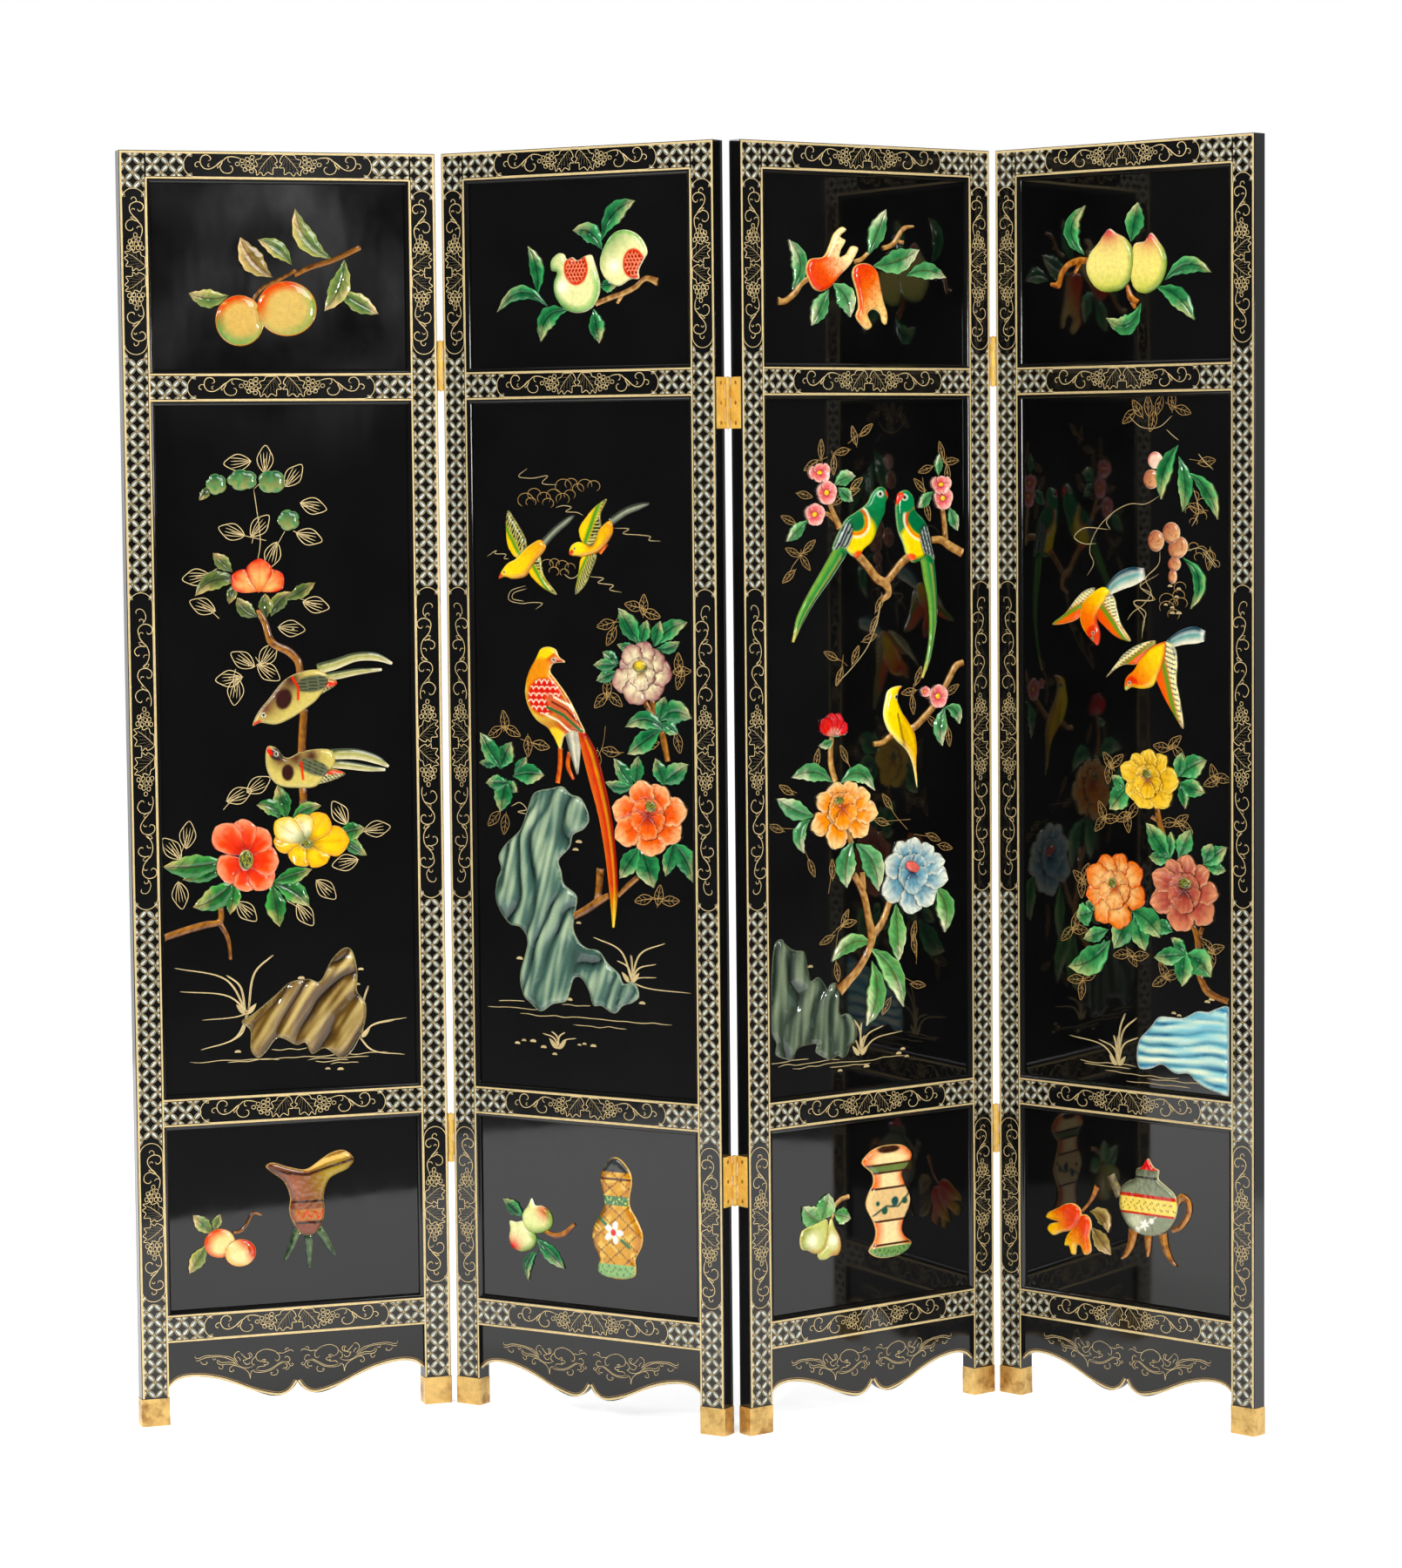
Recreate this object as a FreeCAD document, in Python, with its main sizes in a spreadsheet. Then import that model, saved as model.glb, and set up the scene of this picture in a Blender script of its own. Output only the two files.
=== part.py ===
import FreeCAD, Part
import math
import os
import Sketcher

# A four-leaf black lacquer folding screen, in millimetres, +Z up.
# Every leaf is drawn in a frame of its own: X runs along its width from the left edge,
# Y runs from the front face to the back, and Z runs up from the floor.

SIZES = {
    # a leaf and its frame
    "leaf_width": 462,
    "leaf_height": 1829,
    "leaf_thick": 25,
    "member": 40,
    "leg_clear": 120,
    "low_window": 274,
    "tall_window": 1000,
    # the moulded edge round each window, and the groove behind it
    "bead_wide": 6,
    "bead_deep": 6,
    "bead_flat": 0.5,
    "groove_wide": 8.2,
    "edge_round": 1,
    # the joints of the frame
    "tenon_long": 22,
    "tenon_inset": 5,
    "joint_play": 0.1,
    # the boards and the apron
    "board_thick": 8,
    "board_play": 1,
    "apron_setback": 5,
    "apron_thick": 9,
    "apron_drop": 90,
    "apron_tongue": 5,
    "apron_tongue_thick": 5,
    # the brass foot covers
    "sabot_height": 40,
    "sabot_sheet": 0.8,
    "sabot_round": 1.5,
    "sabot_play": 0.05,
    # the brass hinges
    "hinge_length": 72,
    "outer_hinge_high": 1488,
    "outer_hinge_low": 359,
    "middle_hinge_high": 1428,
    "middle_hinge_low": 328,
    "pin_from_edge": 4,
    "pin_from_face": 2,
    "knuckle_radius": 3.5,
    "knuckle_gap": 0.3,
    "notch_play": 0.7,
    "plate_thick": 1.5,
    "plate_margin": 2.5,
    "pin_radius": 1.5,
    "pin_play": 0.05,
    "pin_end": 0.8,
    "pin_bevel": 0.4,
    # the screws of the hinges
    "screw_radius": 1.5,
    "screw_head": 2.8,
    "screw_length": 15,
    "screw_play": 0.05,
    "pilot_spare": 1,
    "slot_wide": 0.7,
    "slot_deep": 0.6,
    # the carved reliefs
    "leaf_relief": 3,
    "twig_relief": 2.6,
    "petal_relief": 4,
    "rock_relief": 4.6,
    "fruit_relief": 5,
    "relief_margin": 0.4,
    # how far the turn of each joint brings the leaves round in the stance shown, in degrees
    "first_yaw": 18.643,
    "turn_one_two": -50.369,
    "turn_two_three": 69.432,
    "turn_three_four": -80.848,
    # one overrun for every cut
    "overrun": 2,
}

# The five knuckles of a hinge, as shares of its length, and its three screws.
KNUCKLE_SHARES = (0.145, 0.265, 0.18, 0.265, 0.145)
SCREW_SHARES = (0.11, 0.5, 0.89)

# The lower edge of half an apron, from the leg to the notch in the middle:
# shares of half the opening, and of the drop of the apron.
APRON_SHARES = (
    (0.0, 0.744),
    (0.084, 0.615),
    (0.236, 0.594),
    (0.43, 0.689),
    (0.686, 0.917),
    (0.869, 1.0),
    (0.948, 0.928),
    (1.0, 0.789),
)

# The carved reliefs, read from left to right and bottom to top in hundredths of the
# opening's width, each list from the front piece to the back one.
# leaf: root, tip, width, bend as a share of its length, to the left of root to tip
# petal: root, tip, width
# twig: points with the width at each
# fruit: middle, half width and half height, tilt in degrees
# form: points of a closed curve
# The height of each kind of window in the same hundredths is below.
WINDOW_SHARES = {"top": 72.0, "tall": 261.8, "low": 71.7}

RELIEF_SHARES = {
    (1, "top"): (
        ("fruit", (52.6, 24.2), (11.5, 10.3), 0),
        ("fruit", (34.5, 19.7), (9.3, 9.5), 0),
        ("leaf", (30.5, 29), (15.1, 29.8), 7, 0.1),
        ("leaf", (47.3, 35.8), (35.1, 50.7), 9, 0.1),
        ("leaf", (54.9, 40.4), (41.8, 49.8), 6.5, -0.1),
        ("leaf", (70.1, 42.8), (56.3, 61.5), 8, 0.15),
        ("leaf", (75.1, 42.8), (67, 23.3), 8, 0.1),
        ("leaf", (72.4, 30.7), (88, 22.2), 7, 0),
        ("twig", ((81.3, 47.2, 2), (70.5, 42.3, 2), (61.3, 39.4, 2), (55.5, 36.5, 1.6))),
        ("twig", ((56.3, 38.6, 1.4), (51.3, 35.7, 1.3), (43, 31.5, 1.3), (38.8, 26.5, 1.2))),
    ),
    (1, "low"): (
        ("fruit", (28.6, 21.9), (6.1, 5.3), 0),
        ("fruit", (20.7, 26.1), (6, 5.6), 0),
        ("leaf", (18, 29.8), (10.5, 37.6), 5.5, 0),
        ("leaf", (18.4, 31), (20.9, 37.3), 3.5, 0),
        ("leaf", (15.6, 25.8), (8.7, 15.4), 6, 0),
        ("twig", ((36.9, 35.9, 1), (33.8, 36.9, 1.3), (30.9, 32.3, 1.3), (28.8, 30.3, 1.3),
                  (25.9, 29.8, 1.3))),
        ("form", (
            (39, 54.4), (41.3, 55.7), (48, 53.6), (54.7, 52.4), (59.7, 55.3), (64.7, 58.2),
            (69.7, 58.8), (73.4, 55.3), (71.3, 51.9), (63.8, 48.2), (61.4, 41.9), (61.6, 37.3),
            (61.2, 33.2), (57.6, 27.5), (52.6, 27.5), (48.8, 33.2), (47.8, 37.3), (48.3, 41.9),
            (45.9, 48.2), (41.3, 51.9))),
        ("twig", ((51, 29.8, 3.2), (48.8, 24, 2.6), (45.9, 17.8, 1))),
        ("twig", ((55.2, 27.8, 3.4), (55.3, 21, 2.4), (55.3, 14.4, 1))),
        ("twig", ((58.8, 29.8, 3.2), (62.2, 24, 2.6), (65.3, 18.6, 1))),
    ),
    (1, "tall"): (
        ("fruit", (33.4, 89.3), (2.8, 3.8), 0),
        ("petal", (33.4, 91), (21.6, 102.2), 12),
        ("petal", (33.4, 91), (31.7, 105), 11),
        ("petal", (33.4, 91), (41.6, 100.6), 11),
        ("petal", (33.4, 89), (46, 88.5), 12),
        ("petal", (33.4, 88), (43, 79), 11),
        ("petal", (33.4, 88), (33.6, 77.3), 11),
        ("petal", (33.4, 89), (22.3, 84.5), 12),
        ("fruit", (57, 94.5), (2.5, 1.7), 0),
        ("petal", (57, 95), (44.6, 103.4), 10),
        ("petal", (57, 95), (54, 106), 10),
        ("petal", (57, 95), (64.4, 105.8), 11),
        ("petal", (57, 95), (73.5, 95.5), 12),
        ("petal", (57, 95), (64.5, 87), 11),
        ("petal", (57, 95), (52.5, 86.6), 10),
        ("petal", (57, 95), (44, 96), 9),
        ("form", (
            (42.5, 132), (45.5, 131.6), (49.5, 127.5), (56.3, 129.9), (67.2, 129.7), (68.5, 125),
            (63.8, 119.7), (60.9, 116.3), (54.7, 115.9), (46.3, 117.2), (42.8, 121.3), (41.6, 126.3))),
        ("form", ((53, 122), (60, 124), (72.6, 120.7), (66, 118), (58, 117.2))),
        ("twig", ((66, 128.4, 4), (77.2, 128, 4), (85.5, 125.4, 3), (89.3, 123, 1))),
        ("twig", ((67, 124.6, 3), (73, 124, 3), (81.3, 122.6, 2.4), (88, 121.8, 1))),
        ("form", (
            (36.9, 140), (38.8, 144.7), (43, 149.7), (49.7, 157.2), (56.3, 160), (63, 160.4),
            (66.5, 157.6), (62.2, 149.6), (58, 146.3), (51.3, 142.2), (45.5, 140.2), (39.7, 141))),
        ("form", ((57, 157.4), (63, 158.4), (69.9, 155.5), (64, 151.5), (58, 149.4))),
        ("twig", ((62, 160.8, 4), (68.8, 162.4, 4), (77.2, 165, 3.4), (85.5, 164.8, 3), (91.3, 162.2, 1))),
        ("twig", ((63, 157.4, 3), (69.7, 158.2, 3), (78, 159.5, 2.4), (87.2, 160, 1))),
        ("leaf", (26, 89.7), (1.2, 88), 9, 0.05),
        ("leaf", (26, 86.3), (8.8, 82.8), 6, 0),
        ("leaf", (29, 82.5), (12.6, 72.2), 9, 0.1),
        ("leaf", (29.4, 82.5), (26.8, 68.8), 6, 0),
        ("leaf", (43.5, 80.5), (58.8, 84.9), 6, 0),
        ("leaf", (43.5, 80), (57.6, 70.7), 8, 0.1),
        ("leaf", (43.1, 80), (45.9, 63.4), 8, 0),
        ("leaf", (68.8, 97.5), (79.6, 99.9), 7, 0),
        ("leaf", (70.1, 96.4), (80.2, 89.3), 5, 0),
        ("leaf", (47, 104), (37.6, 110), 6, -0.2),
        ("leaf", (49.5, 104), (45.9, 117.4), 7, 0),
        ("leaf", (51.3, 104), (62.8, 109), 5.5, 0.1),
        ("twig", ((54.9, 105, 3), (55.9, 111, 3), (55.7, 117, 3))),
        ("twig", ((55.5, 128.8, 3), (56, 137, 3), (56.8, 145.8, 3))),
        ("twig", ((0.5, 60.9, 2.6), (10.5, 63.8, 2.8), (18, 65.5, 2.8), (23, 66.5, 2.6), (23.4, 72, 2.2))),
        ("twig", ((23, 65.8, 2), (25.9, 59.7, 1.6), (26.8, 51.8, 1.2))),
        ("twig", ((55.5, 159.5, 3), (54.7, 163.8, 3), (51.3, 167.6, 3), (44.7, 171.3, 3), (42.4, 178, 2.6),
                  (39.7, 183.8, 2.2))),
        ("petal", (40, 190), (40.5, 203), 10),
        ("petal", (40, 190.6), (29.8, 197), 9),
        ("petal", (40, 190.6), (49.2, 197), 9),
        ("leaf", (39.6, 181), (31.5, 188.5), 6, 0.1),
        ("leaf", (42.8, 180.6), (42.3, 189.8), 5.6, 0),
        ("leaf", (44.5, 181), (52.5, 190.2), 6, 0.1),
        ("leaf", (50.5, 187), (61.8, 193.5), 5, 0),
        ("leaf", (33, 194), (15.5, 189.3), 7, -0.2),
        ("leaf", (31, 194), (28.4, 186.1), 4, 0),
        ("leaf", (30, 198), (22.6, 205.3), 5.5, 0),
        ("fruit", (24.5, 231), (4, 4), 0),
        ("leaf", (22.6, 230.6), (17.8, 225), 3.4, 0),
        ("fruit", (34.5, 232.5), (5.8, 4), 0),
        ("fruit", (45.7, 231.7), (5.4, 4.5), 0),
        ("fruit", (52, 217.2), (4.3, 4), 0),
        ("form", (
            (34, 16.8), (36.8, 13.8), (39.7, 15.9), (44.7, 21.3), (51.8, 18), (55.1, 18.8),
            (57.6, 14.3), (62.6, 16.3), (68.8, 12.2), (72.2, 13.4), (76.8, 20.5), (78.8, 26.3),
            (78.8, 33), (75.7, 37.5), (75.9, 45.1), (73.4, 53.8), (70.9, 54.4), (65.9, 50.1),
            (60.9, 41.8), (57.2, 43), (49.7, 42.2), (43.8, 37.6), (35.1, 30.9), (30.5, 28),
            (33.8, 24.7))),
    ),
    (2, "top"): (
        ("form", (
            (40.8, 36.4), (38.4, 37.2), (38.2, 40.6), (41.4, 43.4), (44, 43), (45.2, 41.2),
            (47.6, 41.8), (50, 40.6), (53, 42), (56.3, 42.3), (57.6, 39.6), (58.8, 36), (60, 30),
            (57.5, 24), (54, 21.7), (49.5, 21.1), (45.5, 22), (42, 24.5), (39.6, 28.5), (39.4, 32.6))),
        ("form", (
            (60, 40), (62, 45.5), (66, 50), (71, 51.2), (76, 49.6), (79.3, 46.4), (80.8, 42.5),
            (79, 39.6), (77, 36), (77, 33), (73.5, 32.9), (68, 30.5), (63, 32.8), (60.6, 36))),
        ("leaf", (31.9, 28.3), (28.2, 46.5), 6.5, -0.1),
        ("leaf", (36.5, 23.8), (13.8, 22.3), 5.5, -0.28),
        ("leaf", (45.5, 22.3), (33.4, 10.8), 8, -0.25),
        ("leaf", (57, 22.4), (59.5, 9.7), 7, 0),
        ("leaf", (61, 44), (48.3, 51.7), 7.5, -0.2),
        ("leaf", (61, 48), (75.8, 61.7), 8, 0.15),
        ("leaf", (59.7, 31), (67.5, 31), 5.4, 0),
        ("twig", ((85.3, 31.6, 3), (80, 33, 2), (75.5, 30, 2), (70, 27.8, 2), (65, 26.5, 2), (58, 24.3, 2))),
        ("twig", ((70, 28, 2), (67.5, 24.3, 1.2))),
    ),
    (2, "low"): (
        ("form", (
            (24.3, 40.5), (25.8, 38), (29, 38), (32.5, 36), (33.8, 32.5), (32.5, 29.5), (29, 27.6),
            (25, 27.2), (21.5, 29), (20, 32), (20.5, 35), (22.5, 37.5))),
        ("form", (
            (14.1, 31), (17, 30.8), (20, 31.4), (24, 29), (26.3, 25), (25, 21.8), (22, 20), (18.5, 19.5),
            (15, 21), (13.8, 24.5), (14.3, 28))),
        ("leaf", (20.6, 33), (11.4, 39.4), 5.5, 0),
        ("leaf", (26, 25.5), (39.2, 14.7), 6, 0),
        ("leaf", (27, 20.5), (22.5, 8.8), 4.2, -0.2),
        ("twig", ((29.5, 28.6, 1.6), (35, 27, 2), (39.5, 28.5, 2), (43.8, 32.2, 1.2))),
        ("form", (
            (54.3, 17.5), (55, 20), (52, 26.5), (52.3, 31.5), (54.5, 35.5), (57.3, 40.5), (57, 44.6),
            (55.8, 50), (56.5, 53.5), (58.5, 56.5), (60.5, 58.7), (63, 59.2), (66, 57.6), (69.3, 53.5),
            (69.8, 50), (68.8, 45), (68.8, 41), (72, 36), (74.3, 31), (74, 26.5), (71, 20.8), (71.2, 18),
            (70.6, 14.6), (62.5, 12.8), (54.6, 14.8))),
    ),
    (2, "tall"): (
        ("form", (
            (12.8, 194.2), (14.4, 197.6), (17, 200.2), (20.6, 201.8), (26, 206.4), (32, 209),
            (34.4, 206.6), (31, 202), (27.6, 198), (25, 195.2), (19, 194.2), (15.4, 195))),
        ("form", (
            (21, 202.2), (17.4, 206), (16.4, 212), (17.2, 220), (20, 217), (25.4, 208.6),
            (25.4, 205.6))),
        ("form", (
            (25, 200.4), (29, 204.6), (31.4, 203.6), (33, 196), (39, 188.4), (33.4, 190.6),
            (27.4, 195.4))),
        ("twig", ((33, 207.4, 3.4), (39, 212.6, 3), (44, 216, 2.6), (47.4, 218.2, 1))),
        ("form", (
            (45, 203.4), (45.6, 206.6), (48.4, 208.2), (51.6, 207.8), (55, 207), (59, 213.6),
            (63.4, 216.2), (64.4, 212.4), (61.6, 207.6), (57, 204), (51, 202.6), (47.6, 203))),
        ("form", (
            (51.4, 207.4), (49.4, 213), (53, 218), (57.4, 222), (61.8, 224.2), (59, 218.6),
            (59.4, 212), (58, 206.8))),
        ("form", (
            (50.4, 202.4), (49, 197), (47.4, 188.6), (51.6, 192), (55, 198), (57, 203.6))),
        ("twig", ((63.4, 215.6, 3.2), (70, 219.4, 3), (76, 221.4, 2.6), (81, 222.6, 1))),
        ("twig", ((61.6, 207.4, 1.4), (58.6, 204, 1.2))),
        ("fruit", (80, 110), (2.6, 2.2), 0),
        ("petal", (78.5, 108), (79.5, 101), 11),
        ("petal", (79, 106), (74.5, 119.6), 12),
        ("petal", (79, 106), (86, 118), 12),
        ("petal", (79, 106), (96, 109.7), 12),
        ("petal", (79, 106), (93.3, 98.7), 12),
        ("petal", (79, 106), (81, 91.2), 14),
        ("petal", (79, 106), (64.5, 97), 12),
        ("petal", (79, 106), (63, 109), 12),
        ("fruit", (76, 162), (3.6, 2.4), 0),
        ("petal", (76.5, 161), (77.5, 154.5), 12),
        ("petal", (76.5, 160), (70, 169.6), 10),
        ("petal", (76.5, 160), (78.6, 171.6), 10),
        ("petal", (76.5, 160), (86.2, 166.8), 10),
        ("petal", (76.5, 160), (90, 159.6), 11),
        ("petal", (76.5, 160), (84.5, 150.3), 11),
        ("petal", (76.5, 160), (72, 147.8), 12),
        ("petal", (76.5, 160), (63.8, 154.8), 10),
        ("petal", (76.5, 160), (67, 163.5), 8),
        ("form", (
            (29.6, 165), (31.5, 168), (35, 168.8), (38.3, 167.7), (39.6, 165.2), (42.3, 163.2),
            (37, 162.4), (35.6, 159.6), (38, 156.6), (42, 152), (45.5, 147), (48.5, 141.5), (50.9, 136.6),
            (46, 137.2), (41.6, 135), (39.8, 130.4), (37, 134.6), (34.4, 138), (29.5, 140.8), (26, 145),
            (24.2, 151), (25.4, 157.8))),
        ("twig", ((49, 137.5, 3), (52.5, 130, 6), (56, 119, 6.5), (59.5, 106, 5.8), (61.8, 92, 5),
                  (63, 78, 3.8), (62.8, 64, 0.8))),
        ("twig", ((45, 138.5, 7), (46.4, 130, 5), (47.4, 121, 0.8))),
        ("twig", ((39.8, 130.8, 2), (39.6, 124, 2), (38.4, 117.5, 2))),
        ("twig", ((43.8, 129.5, 1.6), (43.2, 124, 2), (45.6, 119, 1.2))),
        ("leaf", (72.5, 117.5), (60, 118.6), 5, 0.1),
        ("leaf", (72.5, 116.5), (64, 127.5), 6, 0),
        ("leaf", (73.5, 117.5), (74.6, 128.6), 6, 0),
        ("leaf", (86, 118), (82.4, 128), 6, 0),
        ("leaf", (84.5, 118.5), (96.6, 126.3), 8, 0),
        ("leaf", (75, 95), (66, 82.6), 8, 0),
        ("leaf", (75, 96), (81, 79.7), 11, 0),
        ("leaf", (90, 97), (86.3, 84.2), 6, 0),
        ("leaf", (89, 97), (98.3, 82.4), 9, 0.1),
        ("leaf", (13, 122), (3.5, 135.7), 7, 0),
        ("leaf", (12, 122), (17.5, 132.4), 8, 0),
        ("leaf", (12, 124), (3, 124.2), 4, 0),
        ("leaf", (18, 119.5), (32.5, 120.2), 8, 0.05),
        ("leaf", (18.6, 119), (24.6, 127), 5, 0),
        ("leaf", (16, 117), (5.9, 116.6), 6, 0),
        ("leaf", (15, 118.5), (12.4, 105.8), 8, 0),
        ("leaf", (14.5, 117.5), (20, 113.4), 5, 0),
        ("leaf", (76, 170), (66.7, 183.7), 8, 0),
        ("leaf", (76, 169.5), (79.2, 179.4), 6, 0),
        ("leaf", (75, 169.6), (66, 170.2), 4, 0.1),
        ("leaf", (82, 169.4), (85, 179), 6, 0),
        ("leaf", (82, 169.4), (97, 178.8), 7, 0.1),
        ("leaf", (83, 168.8), (93.5, 171.6), 4.6, -0.1),
        ("leaf", (66, 162.4), (55.3, 162.3), 5, 0),
        ("leaf", (66.4, 163), (59.6, 167.4), 5, 0),
        ("leaf", (65.5, 160), (56.6, 156.4), 5, 0),
        ("leaf", (84, 142), (86.6, 151), 6, 0),
        ("leaf", (84, 142), (98.3, 143.2), 9, 0.2),
        ("leaf", (85, 141.5), (92.5, 137.4), 5, 0),
        ("leaf", (87, 138), (69.2, 139.4), 7, -0.2),
        ("leaf", (85, 139), (70, 129.2), 8, 0),
        ("twig", ((76.6, 150.4, 2.2), (79, 147, 2.4), (81.6, 142, 2.6))),
        ("twig", ((81, 150.6, 2.4), (81.5, 146, 2.2), (81.8, 142, 2.2))),
        ("twig", ((85, 138, 2.6), (86, 134, 2.8), (87.6, 127, 2.2))),
        ("twig", ((74, 83.5, 2), (70, 80.4, 2.2), (65, 76, 1.6))),
        ("twig", ((45.2, 67.4, 2.6), (51, 70.3, 3), (56, 73.4, 3), (61, 76, 2.2))),
        ("twig", ((55.6, 73, 3), (56.6, 79, 3), (57.3, 86, 3.6))),
        ("form", (
            (29.5, 30.4), (25, 33.3), (21.6, 36.5), (20.5, 44), (23, 52), (24, 57), (21, 62), (16, 63),
            (11.5, 68), (9.5, 74), (10.5, 80), (12.3, 84), (11.3, 88.5), (14.5, 93.5), (21, 99),
            (25.5, 109), (28, 113.5), (36, 115.5), (40.5, 116.2), (44, 113.5), (48.5, 112.2),
            (51.8, 107), (52.2, 103.5), (49.6, 100.3), (45, 98), (43.6, 93.6), (38.4, 88), (39.6, 84),
            (40.5, 79.6), (46.4, 75), (45.6, 69), (44.8, 62.5), (47.5, 57.5), (51, 55.5), (56, 54.8),
            (60, 50.3), (65, 46.5), (67, 43), (71.6, 43.6), (73.8, 38.5), (70.8, 36), (66.6, 34.6),
            (63, 31.5), (57, 34), (53.6, 34), (51.5, 39.5), (48, 44.2), (45, 44), (42.8, 39),
            (41.2, 35), (35, 33.4))),
    ),
}
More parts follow.
